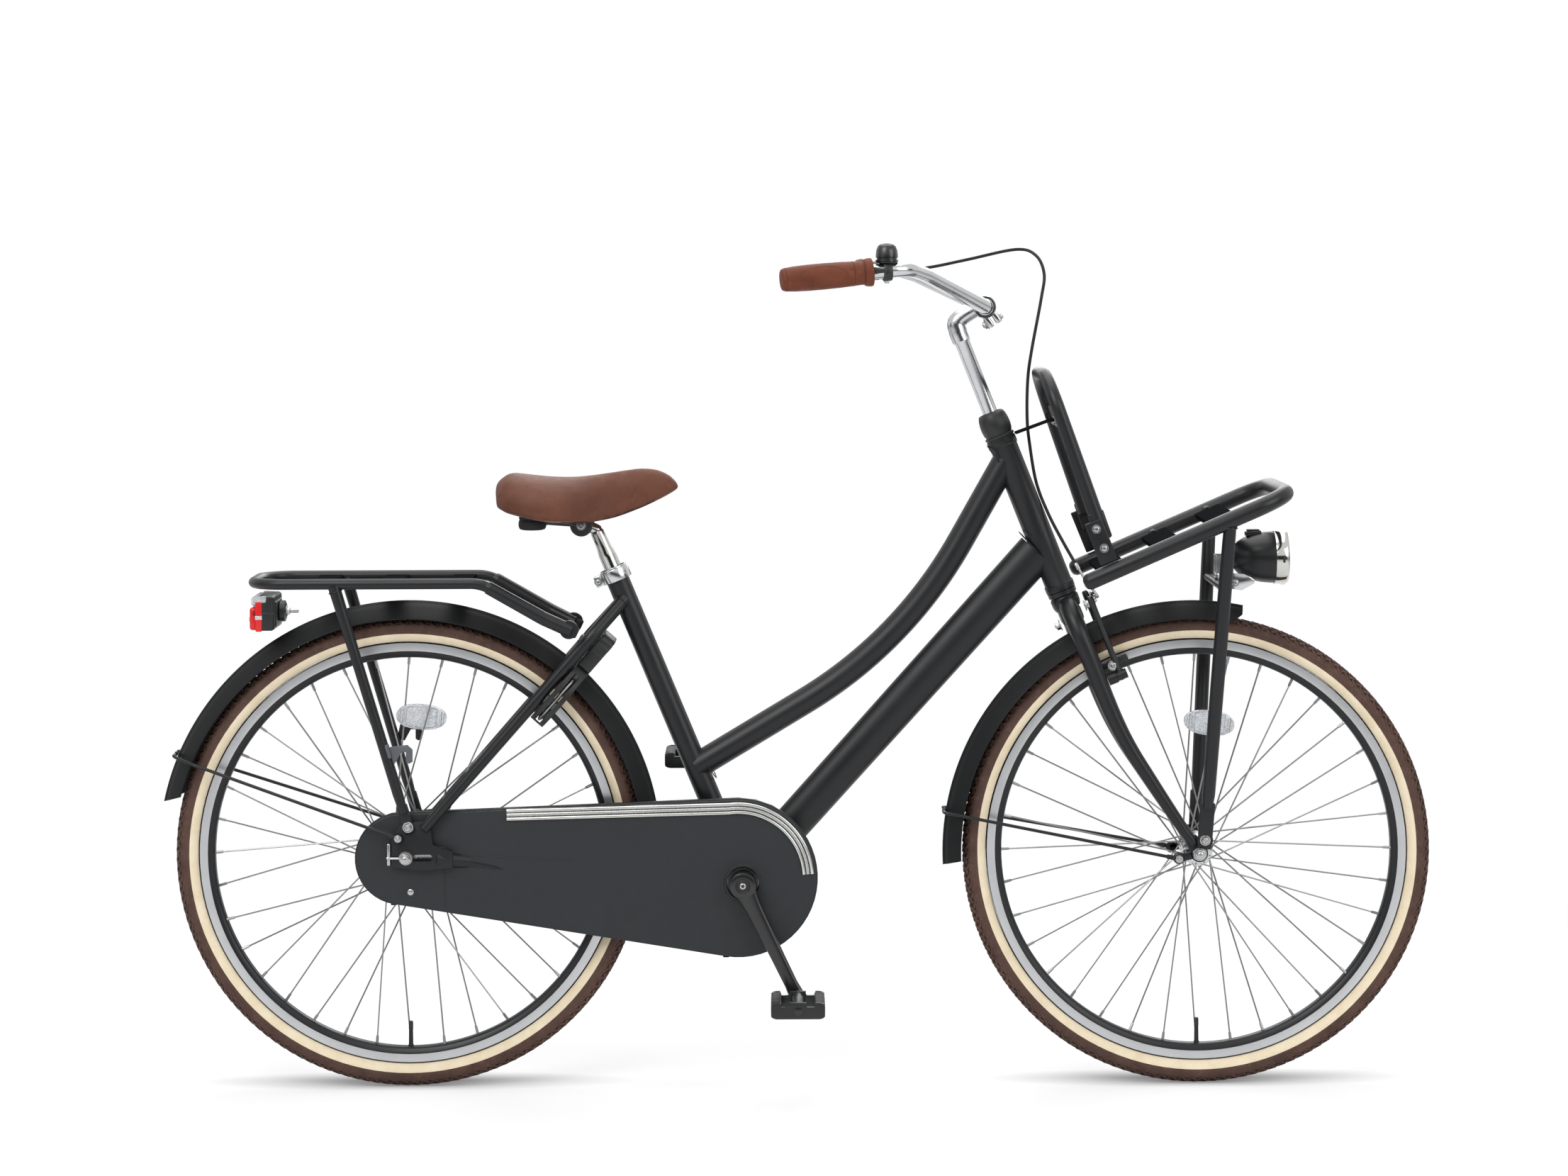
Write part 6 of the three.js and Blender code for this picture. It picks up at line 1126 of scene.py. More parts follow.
def front_carrier():
    """A thick bent tube with pressed slats, two struts down to the axle and a cross bar for the lamp."""
    half = [on_carrier(0, -128), on_carrier(320, -128)]
    whole = half + [p + LEFT * 0.256 for p in reversed(half)]
    ends = [whole[0] - CARRIER_AHEAD * 0.0105, whole[0] - CARRIER_AHEAD * 0.0085,
            whole[0] - CARRIER_AHEAD * 0.004]
    path = bent(whole, 50, 10)
    path = ends + path + [whole[3] - CARRIER_AHEAD * d for d in (0.004, 0.0085, 0.0105)]
    count = len(path)
    shares = [0.35, 0.72, 0.95] + [1] * (count - 6) + [0.95, 0.72, 0.35]
    rail = tube(path, 12.5, shares, 7)
    slats = [slat(on_carrier(320 * s, 0, 1), CARRIER_AHEAD, LEFT, CARRIER_UP, 40, 238, 5)
             for s in (.125, .403, .684)]
    bosses = []
    for s in (.403, .684):
        for side in (1, -1):
            bosses.append(turned([(0, 10), (6, 10), (8, 8), (8.6, 0), (0, 0)],
                                 on_carrier(320 * s, side * 117, 0), LEFT * -side, 20))
    struts = []
    for side in (1, -1):
        top, foot = front(39.6, side * 128, 503.4), front(7.6, side * 59, 21)
        run = (foot - top).normalized()
        kink = top.lerp(foot, 0.17)
        low = foot - run * 0.05
        struts.append(tube([top - run * 0.004, kink, top.lerp(foot, 0.5), low - run * 0.02, low], 10.5,
                           [0.9, 0.98, 1, 0.95, 0.75], 6))
        struts.append(flat_end(foot - run * 0.022 + LEFT * side * 0.001, run, LEFT, 72, 6.5, 22))
        struts.append(turned([(0, 3.2), (11, 3.2), (12, 2.4), (12, -2.4), (11, -3.2), (0, -3.2)],
                             foot + LEFT * side * 0.001, LEFT, 28))
        struts.append(weld(top + run * 0.011, run, 10.5, 1.3, 28))
    bar = tube([front(32, -113, 401), front(32, 113, 401)], 6, None, 5)
    ears = [block(front(41, side * 12, 421), (20, 3, 44), 1.4, None, 3) for side in (1, -1)]
    metal = [rail] + bosses + struts + [bar]
    hang(joined(*[wear("paint", part) for part in metal], *slats), "front_carrier_rail", "steering",
         nodes=["front_carrier"])
    ears = [wear("steel", ear) for ear in ears]
    bolt = wear("steel", socket_bolt(4.6, 4, front(32, -13.6, 412), RIGHT))
    hang(joined(*ears, bolt), "lamp_bracket", "steering")
    bolts = [wear("steel", socket_bolt(6, 5, front(7.6, side * 63.6, 21), LEFT * side)) for side in (1, -1)]
    hang(joined(*bolts), "carrier_strut_bolts", "steering")


def carrier_back():
    """The upright hoop behind the carrier, flat at its feet, with straps, cross plate and head strip."""
    foot, top = front(-150.5, -118, 488.5), front(-229.6, -118, 717.4)
    run = (top - foot).normalized()
    far_foot, far_top = foot + LEFT * 0.236, top + LEFT * 0.236
    path = bent([foot + run * 0.03, top, far_top, far_foot + run * 0.03], 60, 12)
    hoop = tube([foot + run * 0.012] + path + [far_foot + run * 0.012], 10,
                [1.15, 1.1] + [1] * (len(path) - 2) + [1.1, 1.15], 6)
    parts = [hoop]
    bolts = []
    for side in (-1, 1):
        y = LEFT * (0.236 if side == 1 else 0)
        down = (front(-147.3, -118, 463) - front(-158.6, -118, 491.2)).normalized()
        middle = front(-151.5, -118, 472) + y + LEFT * side * 0.0105
        parts.append(block(middle, (66, 4, 27), 1.6, frame_of(down, LEFT), 3))
        parts.append(flat_end(foot + run * 0.008 + y + LEFT * side * 0.004, run, LEFT, 44, 8, 25))
        for bolt_at in (front(-158.6, -118, 491.2), front(-147.3, -118, 463)):
            bolts.append(socket_bolt(5.2, 4.2, bolt_at + y + LEFT * side * 0.0128, LEFT * side))
    cross = foot.lerp(top, .705)
    plate_mid = Vector((cross.x, MID_Y, cross.z))
    parts.append(block(plate_mid, (34, 224, 3), 1.2, frame_of(run, LEFT), 3))
    parts += [weld(cross + LEFT * (0.008 + 0.220 * k), LEFT, 9, 1.0, 20) for k in (0, 1)]
    head = steered(21, 0, 683)
    strip_end = plate_mid - AHEAD * 0.003
    aim = strip_end - head
    strip = wear("matt", block((head + strip_end) / 2, (aim.length * 1000 - 4, 22, 4), 1.6,
                               frame_of(aim, LEFT), 3))
    bolts.append(socket_bolt(5, 4, strip_end + AHEAD * 0.0035 - run * 0.006, -run.cross(LEFT)))
    bolts.append(hex_nut(5.6, 5, strip_end - AHEAD * 0.001 - run * 0.004, run.cross(LEFT)))
    hang(joined(*[wear("paint", part) for part in parts], strip), "carrier_back_hoop", "steering",
         nodes=["carrier_back"])
    hang(built(steel=bolts), "carrier_back_bolts", "steering")


rear_rack()
rear_light()
front_carrier()
carrier_back()


# Steering.

# Down a fork leg: shares of its height, of its sweep ahead, of its spread and of its thickness.
FORK = ((1, 0, .15, 1), (.965, 0, .6, 1), (.91, 0, .88, 1), (.82, 0, 1, 1), (.6, 0, 1, .93),
        (.4545, .11, 1, .84),
        (.314, .364, 1, .75), (.134, .722, 1, .64), (.04, .94, 1, .6))


def fork():
    """Two tapering legs swept forward from a shouldered crown, with end plates, eyelets and brake studs."""
    parts, metal = [], []
    for side in (1, -1):
        path = smooth_path([steered(44.2 * a, side * 52 * o, 418 * p) for p, a, o, _ in FORK], 5)
        shares = []
        for n in range(len(path)):
            k = min(n // 5, len(FORK) - 2)
            t = n / 5 - k
            shares.append(FORK[k][3] * (1 - t) + FORK[k + 1][3] * t)
        parts.append(tube(path, 14, shares, 7))
        tip = path[-1]
        hub_side = front(0, side * 52.5, 0)
        aim = hub_side - tip
        parts.append(block(tip.lerp(hub_side, 0.35), (aim.length * 1000 + 16, 5, 20), 2.2,
                           frame_of(aim, LEFT), 3))
        parts.append(turned([(0, 2.5), (12.4, 2.5), (13, 1.8), (13, -1.8), (12.4, -2.5), (0, -2.5)],
                            hub_side, LEFT, 40))
        for spot in (front(-31, side * 52.5, -7), front(7.6, side * 54, 21)):
            parts.append(turned([(0, 2.5), (8, 2.5), (8.6, 1.8), (8.6, -1.8), (8, -2.5), (0, -2.5)], spot,
                                LEFT, 28))
            reach = spot - hub_side
            parts.append(block(hub_side.lerp(spot, 0.6), (reach.length * 1000, 5, 12), 1.6,
                               frame_of(reach, LEFT), 2))
        parts.append(turned([(0, 0), (9, 0), (9, 14), (7.4, 15), (7.4, 30), (0, 30)],
                            steered(14, side * 42, 290), STEER_AHEAD, 28))
        metal.append(socket_bolt(5.4, 5, front(-31, side * 55.2, -7), LEFT * side))
    crown = turned([(14, 405), (19.4, 408), (21.4, 414), (21.8, 424), (19.6, 428), (21.9, 430),
                    (21.9, 436.5), (14, 437.4)], steered(0, 0, 0), STEER_UP, 48)
    parts.append(crown)
    parts.append(block(steered(0, 0, 398), (34, 58, 30), 9, frame_of(STEER_AHEAD, LEFT), 4))
    parts.append(turned([(14.3, 430), (14.3, 715)], steered(0, 0, 0), STEER_UP, 32))
    hang(built(paint=parts), "fork_blades", "steering", nodes=["fork"])
    for x, z, axis in ((24, 402, STEER_AHEAD), (-20, 388, -STEER_AHEAD)):
        metal.append(hex_nut(6.6, 7, steered(x, 0, z), axis))
    hang(built(steel=metal), "fork_bolts", "steering")


def headset():
    """A flared rubber boot over the upper bearing, with the grooved ring under it."""
    profile = [(16.0, 43), (17.4, 43.6), (19.6, 42), (21.6, 36), (22.9, 28), (23, 20), (22.2, 13),
               (20.6, 9.2), (20.6, 8),
               (22.6, 7.4), (22.9, 5.6), (22.6, 4), (21, 3.4), (21, 2.4), (22.2, 2), (22.2, 0.4), (15, 0.4)]
    boot = turned(profile, steered(0, 0, 681.6), STEER_UP, 56)
    hang(boot, "headset_boot", "steering", "plastic", ["headset_cap"])


def stem():
    """A polished quill with a forged head that leans forward and clamps the bar with a bolt under it."""
    grip = GRIP_CENTRE
    quill = turned([(11, 560), (11.1, 700), (11.2, 838), (13.4, 842), (13.9, 846), (13.6, 850)],
                   steered(0, 0, 0), STEER_UP, 40)
    path = smooth_path([steered(0, 0, 842), steered(0.4, 0, 858), steered(5, 0, 872),
                        grip.lerp(steered(12, 0, 880), 0.5), grip], 8)
    count = len(path) - 1
    neck = tube(path, 14, [1.0 + 0.06 * sin(pi * n / count) - 0.16 * (n / count) for n in range(count + 1)],
                7)
    barrel = turned([(11.3, -20), (16.2, -20), (17.2, -19), (17.2, 19), (16.2, 20), (11.3, 20)], grip, LEFT,
                    48)
    slot_way = (STEER_AHEAD * 0.55 - UP).normalized()
    lugs = []
    for shift in (-1, 1):
        lugs.append(block(grip + slot_way * 0.021 + slot_way.cross(LEFT) * shift * 0.0064, (22, 22, 8.6),
                          2.4, frame_of(slot_way, LEFT), 3))
    bolt = socket_bolt(5.6, 6, grip + slot_way * 0.0245 + slot_way.cross(LEFT) * 0.0108,
                       slot_way.cross(LEFT))
    nut = hex_nut(6.4, 5, grip + slot_way * 0.0245 - slot_way.cross(LEFT) * 0.0108, -slot_way.cross(LEFT))
    ring = turned([(11.2, 700), (12.2, 701), (12.2, 706), (11.2, 707)], steered(0, 0, 0), STEER_UP, 40)
    pieces = [wear("silver", part) for part in (quill, neck, barrel, ring, *lugs)]
    hang(joined(*pieces, wear("steel", bolt), wear("steel", nut)), "stem_forging", "steering",
         nodes=["stem"])


def bar_point(side, back, out, up):
    return GRIP_CENTRE + way(-303 * back, side * 285 * out, 53.6 * up)


def handlebar():
    """A swept city bar with a thicker sleeve in the stem."""
    half = [bar_point(-1, 1, 1, .797), bar_point(-1, .409, .884, 1.08), bar_point(-1, .32, .667, .914),
            bar_point(-1, 0, .119, 0)]
    other = [bar_point(1, 0, .119, 0), bar_point(1, .32, .667, .914), bar_point(1, .409, .884, 1.08),
             bar_point(1, 1, 1, .797)]
    bar = tube(bent(half + other, [38, 120, 30, 30, 120, 38], 14), 11.1, None, 7)
    sleeve = turned([(11.0, -34), (12.2, -32), (12.6, -28), (12.6, 28), (12.2, 32), (11.0, 34)],
                    GRIP_CENTRE, LEFT, 48)
    hang(joined(bar, sleeve), "handlebar_tube", "steering", "silver", ["handlebar"])


def grip_axis(side):
    end, start = bar_point(side, 1, 1, .797), bar_point(side, .409, .884, 1.08)
    return end, (start - end).normalized()


def grip(side, name, node):
    """A leather grip, full in the middle, with a rolled end, a sewn seam, edge stitching and a collar."""
    end, along = grip_axis(side)
    profile = [(0, -3.6), (13, -3.6), (15.2, -2.4), (16.2, 0), (16.9, 3), (18.2, 16), (18.9, 36), (19, 58),
               (18.6, 84), (17.6, 106),
               (17.0, 117), (17.2, 118), (18.6, 118.4), (19.6, 120), (20.4, 124), (20.7, 127.5),
               (20.2, 129.6), (18, 130), (11.4, 130)]
    body = wear("grip", turned(profile, end, along, 48))
    rings = []
    for a, r in ((102, 17.9), (116.2, 17.2), (2.6, 16.9)):
        rings.append(wear("thread", turned([(r - 0.3, a - 0.5), (r + 0.35, a), (r - 0.3, a + 0.5)], end,
                                           along, 40)))
    over = UP - along * along.dot(UP)
    over.normalize()
    stitches = []
    side_way = along.cross(over)
    for n in range(24):
        a = 8 + n * 4
        r = 17.2 + 1.7 * sin(pi * min(a, 110) / 118)
        for lift in (0.35, -0.35):
            turn = lift * 0.34
            out = (side_way * -cos(turn) + over * sin(turn)).normalized()
            spot = end + along * a / 1000 + out * r / 1000
            stitches.append(tube([spot - along * 0.0011, spot + along * 0.0011], 0.42, None, 1))
    seam_points = []
    for n in range(20):
        a = 20 + n * 4
        lift = 0.8 * (1 - ((n - 9.5) / 9.5) ** 2)
        r = 17.6 + 1.4 * sin(pi * a / 118)
        out = (LEFT * side * 0.7 + over * lift).normalized()
        seam_points.append(end + along * a / 1000 + out * (r + 0.1) / 1000)
    seam = wear("thread", tube(smooth_path(seam_points, 2), 0.35, None, 2))
    whole = joined(body, *rings, seam, *[wear("thread", s) for s in stitches])
    return hang(whole, name, "steering", nodes=[node], smooth=45)


fork()
headset()
stem()
handlebar()
grip(-1, "right_grip", "grip_right")
grip(1, "left_grip", "grip_left")


# Bar fittings and the front brake.

def bell():
    """A small black dome on a post and a clamp under the bar, with its sprung lever."""
    end, along = grip_axis(-1)
    middle = end + along * 0.152
    seat = Vector((0.1328, -0.2762, 1.2392))
    dome = turned([(15.2, 0.6), (16.3, 0.6), (16.45, 2), (16.3, 3.4), (14.8, 4.2), (14.8, 6), (15.9, 6.8),
                   (16, 9), (15.4, 17), (13.6, 22.5),
                   (10.2, 26), (5, 27.7), (0, 28)], seat, UP, 56)
    base = turned([(0, 0.6), (15.2, 0.6), (15.2, -1), (12, -2), (6, -3.4), (4.6, -8), (0, -8)], seat, UP,
                  40)
    clamp = turned([(11.3, -6), (14.4, -6), (15, -5.2), (15, 5.2), (14.4, 6), (11.3, 6)],
                   Vector((middle.x, middle.y, 1.2268)), along, 40)
    screw = socket_bolt(3.4, 3, Vector((middle.x, middle.y, 1.2113)), -UP)
    hang(built(gloss=[dome], plastic=[base, clamp], steel=[screw]),
         "bell_dome", "steering", nodes=["bell"])
    root = Vector((0.1308, -0.2945, 1.2269))
    lever = lofted([[root - AHEAD * d / 1000 + UP * (h * sin(t)) / 1000 + LEFT * (w * cos(t)) / 1000
                     for t in (2 * pi * k / 16 for k in range(16))]
                    for d, h, w in ((-2, 2.2, 2.2), (0, 3, 3), (8, 3.6, 2), (16, 5.4, 1.6), (19, 5.2, 1.5),
                                    (20, 3.4, 1))])
    hang(lever, "bell_thumb_lever", "bell_lever", "plastic", ["bell_lever"])


def brake_lever():
    """A clamp with its pivot bracket, and a blade curved round a flat finger rest to a ball end."""
    end, along = grip_axis(1)
    middle = end + along * 0.147
    pivot = LEVER_PIVOT
    clamp = turned([(11.3, -7), (14.2, -7), (15, -6), (15, 6), (14.2, 7), (11.3, 7)], middle, along, 44)
    lean = pivot - middle
    arm = block(middle.lerp(pivot, 0.62), (lean.length * 500, 13, 15), 3.4, frame_of(lean, AHEAD), 3)
    cheeks = [turned([(0, high), (6.4, high), (7, high - 0.8), (7, low + 0.6), (6.6, low), (0, low)],
                     pivot, UP, 28) for low, high in ((5.4, 13.6), (-13.6, -5.4))]
    barrel = turned([(0, 26), (2.4, 26), (2.9, 24), (4.4, 21), (4.6, 9), (0, 9)], pivot - AHEAD * 0.006,
                    AHEAD, 24)
    pin = hex_nut(3.4, 3, pivot + UP * 0.0134, UP)
    hang(built(plastic=[clamp, arm, *cheeks], steel=[barrel, pin]),
         "brake_lever_bracket", "steering", nodes=["brake_lever_mount"])
    way_out = way(150 * cos(radians(162)), 150 * sin(radians(162)), 0)
    rings = []
    side = way_out.cross(UP).normalized()
    for share, wide, tall, bow in ((-0.03, 4, 3.6, 0), (0.02, 6.4, 4.6, 0), (0.1, 5, 4.6, 1),
                                   (0.25, 3.8, 4.8, 2.6), (0.5, 3.3, 4.9, 3.0),
                                   (0.75, 3.3, 4.9, 1.4), (0.92, 3.6, 4.8, 0), (0.96, 4, 4.8, 0),
                                   (0.985, 3.4, 3.8, 0), (0.997, 1.6, 1.8, 0)):
        here = pivot + way_out * share - side * bow / 1000
        rings.append([here + side * wide * cos(t) / 1000 + UP * tall * sin(t) / 1000
                      for t in (2 * pi * k / 24 for k in range(24))])
    hang(lofted(rings), "brake_lever_blade", "brake_lever", "plastic", ["brake_lever"])


# The outer cable's route from the lever to the noodle, as places for at().
CABLE = ((801.4, 262, 1232), (858.4, 222, 1243.8), (928.4, 150, 1258.7), (956.3, 110, 1249.6),
         (967.5, 85, 1221.2), (961.5, 65, 1183.3),
         (945.7, 45, 1108), (938.6, 38, 1061.8), (936.7, 30, 1002.8), (939.6, 20, 963.5), (948.4, 6, 906),
         (965, -10, 860), (986, -26, 818),
         (1006, -38, 782))


def brake_cable():
    """The black outer run with its ferrules, the bright noodle, the bare wire and its rubber boot."""
    start = LEVER_PIVOT + AHEAD * 0.0076
    run = [start, start + AHEAD * 0.018] + [at(*p) for p in CABLE]
    outer = tube(smooth_path(run, 7), 2.4, None, 4)
    last = run[-1]
    noodle_path = smooth_path([last, at(1022, -46, 756), at(1034, -47, 741), at(1036.5, -40, 736),
                               steered(43, -24, 412)], 8)
    noodle = tube(noodle_path, 1.9, None, 4)
    wire = tube([steered(43, -24, 412), steered(43, 47, 412)], 0.9, None, 2)
    bellows = [(0, -17)] + [(3.4 if n % 2 else 2.5, -17 + n * 2) for n in range(17)] + [(0, 17)]
    boot = turned(bellows, steered(43, 0, 412), LEFT, 20)
    ferrules = [turned([(0, -5), (2.9, -5), (3.1, -4), (3.1, 4), (2.9, 5), (0, 5)], spot, aim, 18)
                for spot, aim in ((start + AHEAD * 0.006, AHEAD), (last, last - run[-2]))]
    link = turned([(0, -4), (3, -4), (3.4, -3), (3.4, 3), (3, 4), (0, 4)], steered(43, -24, 412), LEFT, 20)
    hang(built(grey_rubber=[outer, boot], steel=[noodle, wire, link, *ferrules]),
         "brake_cable_run", "steering", nodes=["brake_cable"])


def brake_arm(side, name, body, node):
    """A cast arm on its stud, with the return spring, the pad, its post and its nut."""
    foot, head = steered(34, side * 40, 290), steered(34, side * 47, 412)
    run = (head - foot).normalized()
    over = STEER_AHEAD
    across = run.cross(over).normalized()
    rings = []
    for share, wide, thick in ((-0.06, 5, 4), (-0.03, 7.4, 4.8), (0.03, 8, 5), (0.12, 6.4, 5),
                               (0.3, 4.6, 4.6), (0.7, 4.2, 4.4), (0.9, 5, 4.6), (0.98, 6, 4.8),
                               (1.03, 5, 4.4), (1.045, 3, 3)):
        here = foot.lerp(head, share)
        rings.append([here + across * wide * cos(t) / 1000 + over * thick * sin(t) / 1000
                      for t in (2 * pi * k / 20 for k in range(20))])
    arm = lofted(rings)
    hub = front(0, 0, 0)
    out = steered(29, 0, 290) - hub
    out.normalize()
    pad_at = hub + out * (0.3167 - 0.00695 - 0.0015)
    spot = Vector((pad_at.x, MID_Y + side * 0.0185, pad_at.z))
    along = out.cross(LEFT)
    pad = block(spot + LEFT * side * 0.0004, (52, 9, 8), 2.4, frame_of(along, LEFT), 3)
    cup = block(spot + LEFT * side * 0.003, (54, 4, 9.4), 1.6, frame_of(along, LEFT), 3)
    grooves = [block(spot + along * d - LEFT * side * 0.0041, (1.4, 1.4, 9), 0, frame_of(along, LEFT), 1)
               for d in (-0.014, 0, 0.014)]
    cut(pad, *grooves)
    post_end = Vector((spot.x, MID_Y + side * 0.046, spot.z))
    post = tube([spot, post_end], 3.4, None, 4)
    nut = hex_nut(5.8, 5, post_end - LEFT * side * 0.002, LEFT * side)
    washer = [turned([(3, -1.5), (7.6, -1.5), (7.6, 1.5), (3, 1.5)], post_end - LEFT * side * d, LEFT, 24)
              for d in (0.0052, 0.0135)]
    bolt = socket_bolt(5.6, 5, foot + over * 0.005, over)
    spring = tube(smooth_path([foot - over * 0.001 + across * 0.009, foot + run * 0.03 + across * 0.0076,
                               foot + run * 0.062 + across * 0.0052], 6), 0.8, None, 2)
    clamp = socket_bolt(4, 4, head + over * 0.0046 - run * 0.002, over)
    dark = [wear("plastic", part) for part in (arm, cup, *washer)] + [wear("grey_rubber", pad)]
    hang(joined(*dark, *[wear("steel", part) for part in (post, nut, bolt, spring, clamp)]),
         name, body, nodes=[node])


def headlamp():
    """A black bullet housing, a bright bezel, a dished reflector behind a domed lens, and a switch."""
    back = front(LAMP_AHEAD, 0, LAMP_UP)
    shell = turned([(0, 0.2), (8, 0.4), (16, 3.4), (24, 10.5), (30, 20), (34.6, 32), (37.4, 45), (38.6, 58),
                    (39, 70), (38.4, 72), (36, 72), (35.4, 58), (30, 30)],
                   back, AHEAD, 72)
    ribs = [turned([(38.4, 64.4), (39.2, 65), (39.2, 66.6), (38.4, 67.2)], back, AHEAD, 72)]
    switch_base = block(front(LAMP_AHEAD + 34, 0, LAMP_UP + 36.2), (24, 16, 6.6), 1.4,
                        frame_of(way(1, 0, 0.08), LEFT), 3)
    low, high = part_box("headlamp_switch")
    middle = (low + high) / 2
    size = (high - low) * 1000
    well = block(Vector((middle.x, middle.y, high.z - 0.0019)), (size.x + 0.8, size.y + 0.8, 4.8), 0, None,
                 1)
    cut(switch_base, well)
    mount = [turned([(0, -9), (6.4, -9), (7, -8), (7, 8), (6.4, 9), (0, 9)], front(46.1, 0, LAMP_UP), LEFT,
                    28)]
    mount.append(block(front(52, 0, LAMP_UP), (14, 15, 10), 2, None, 3))
    hang(built(paint=[shell, switch_base, *ribs, *mount]), "headlamp_shell", "headlamp",
         nodes=["headlamp_housing"])
    outline = [Vector((x / 1000, -0.0326, z / 1000)) for x, z in ((657, 769), (680, 767), (691, 759),
                                                                  (691, 753), (672, 743), (657, 745))]
    arm = wear("silver", plate(outline, RIGHT * 0.0022, 0.5))
    arm_bolt = wear("steel", socket_bolt(4.2, 3.4, Vector((0.6625, -0.0348, 0.7545)), RIGHT))
    hang(joined(arm, arm_bolt), "headlamp_arm", "headlamp")
    rim_place = front(LAMP_AHEAD + 72.3, 0, LAMP_UP)
    bezel = turned([(36.4, -7.4), (39.9, -7.4), (40.4, -6.4), (40.5, 1), (40.5, 8), (39.6, 10.6),
                    (37.6, 12.4), (36, 12.6), (34.8, 11.4), (34.8, 8)], rim_place, AHEAD, 80)
    tab = [block(rim_place + AHEAD * 0.006 - UP * 0.04, (7, 6, 2.6), 0.7, None, 2)]
    window = block(rim_place + AHEAD * 0.0035 + RIGHT * 0.0395, (4, 2.6, 11), 0.9, None, 2)
    screw = socket_bolt(2.6, 2.4, rim_place + AHEAD * 0.002 - UP * 0.0385, -UP)
    hang(built(chrome=[bezel, *tab], plastic=[window], steel=[screw]),
         "headlamp_bezel_ring", "headlamp", nodes=["headlamp_bezel"])
    dish = turned([(34, 1), (30, -12), (22, -24), (12, -31), (5, -33), (0, -33)], rim_place, AHEAD, 56)
    bulb = turned([(0, -12), (3, -13), (4.4, -17), (4, -22), (3, -26), (3, -32), (0, -32)], rim_place,
                  AHEAD, 24)
    lens = turned([(0, 7.6), (14, 6.9), (26, 5.0), (34.6, 2.2), (35.6, 0.4), (34.6, 0.2), (26, 2.6),
                   (14, 4.2), (0, 4.8)], rim_place, AHEAD, 64)
    flutes = [turned([(r - 0.9, h), (r, h + 0.5), (r + 0.9, h - 0.2)], rim_place, AHEAD, 64)
              for r, h in ((8, 7.2), (14, 6.7), (20, 5.9), (26, 4.9))]
    hang(joined(wear("glass", lens), *[wear("glass", f) for f in flutes], wear("chrome", dish),
                wear("glass", bulb)),
         "headlamp_lens_glass", "headlamp", nodes=["headlamp_lens"])
    button = block(Vector((middle.x, middle.y, high.z - 0.00125)), (size.x - 1, size.y - 0.4, 2.5), 0.8,
                   None, 3)
    ridges = [block(Vector((middle.x + d / 1000, middle.y, high.z - 0.0002)), (1.2, size.y - 3, 0.4), 0,
                    None, 1) for d in (-6, -3, 0, 3, 6)]
    hang(joined(button, *ridges), "headlamp_switch_button", "headlamp_switch",
         "grey_rubber", ["headlamp_switch"])


bell()
brake_lever()
brake_cable()
brake_arm(-1, "right_brake_arm", "brake_arm_right", "brake_arm_right")
brake_arm(1, "left_brake_arm", "brake_arm_left", "brake_arm_left")
headlamp()


# Wires of the fenders, lock, drive and axles.

def fender_stay(middle, radius, angle, edge, eye_at, eye_out, bolt_out, name, body, node):
    """A black wire from both axle ends to a bend across the fender, with bolted eyes and a clip."""
    out = way(cos(radians(angle)), 0, sin(radians(angle))) * 1000
    turn_at, back_at = middle + out * edge / 1000, middle + out * (radius + 2.9) / 1000
    legs = {}
    for side in (-1, 1):
        legs[side] = [spot + LEFT * side * far / 1000
                      for spot, far in ((eye_at, eye_out), (turn_at, 34), (back_at, 34))]
    run = legs[-1] + legs[1][::-1]
    wire = tube(bent(run, 7, 8), 2.45, None, 5)
    parts = [wear("paint", wire)]
    for side in (-1, 1):
        spot = eye_at + LEFT * side * (eye_out - 2) / 1000
        pad = turned([(0, -2.2), (6.4, -2.2), (6.9, -1.6), (6.9, 1.4), (6.4, 2), (0, 2)], spot, LEFT * side,
                     32)
        flat = block(spot + (turn_at - eye_at).normalized() * 0.011 + LEFT * side * 0.0008, (16, 3.2, 7),
                     1.4, frame_of(turn_at - eye_at, LEFT), 3)
        parts += [wear("paint", pad), wear("paint", flat)]
        parts.append(wear("steel", hex_nut(4.6, 3.2, eye_at + LEFT * side * bolt_out / 1000, LEFT * side,
                                           None, 1.25)))
    for across in (-9, 9):
        parts.append(wear("paint", block(back_at + LEFT * across / 1000, (9, 5, 4.4), 1.4,
                                         frame_of(out.cross(LEFT), LEFT), 2)))
    hang(joined(*parts), name, body, nodes=[node])


LOCK = Vector((-0.35497, MID_Y, 0.5913))
LOCK_UP, LOCK_OVER = Vector((0.660925, 0, 0.750452)), Vector((-0.750452, 0, 0.660925))


def in_lock(angle, radius, over=0.0):
    """A place in the lock's own plane, by its angle and its distance from the middle."""
    out = LEFT * cos(radians(angle)) + LOCK_UP * sin(radians(angle))
    return LOCK + out * radius / 1000 + LOCK_OVER * over / 1000


def lock_arc(section, start, end, steps):
    return lofted([[in_lock(start + (end - start) * n / steps, r, c) for r, c in section]
                   for n in range(steps + 1)])


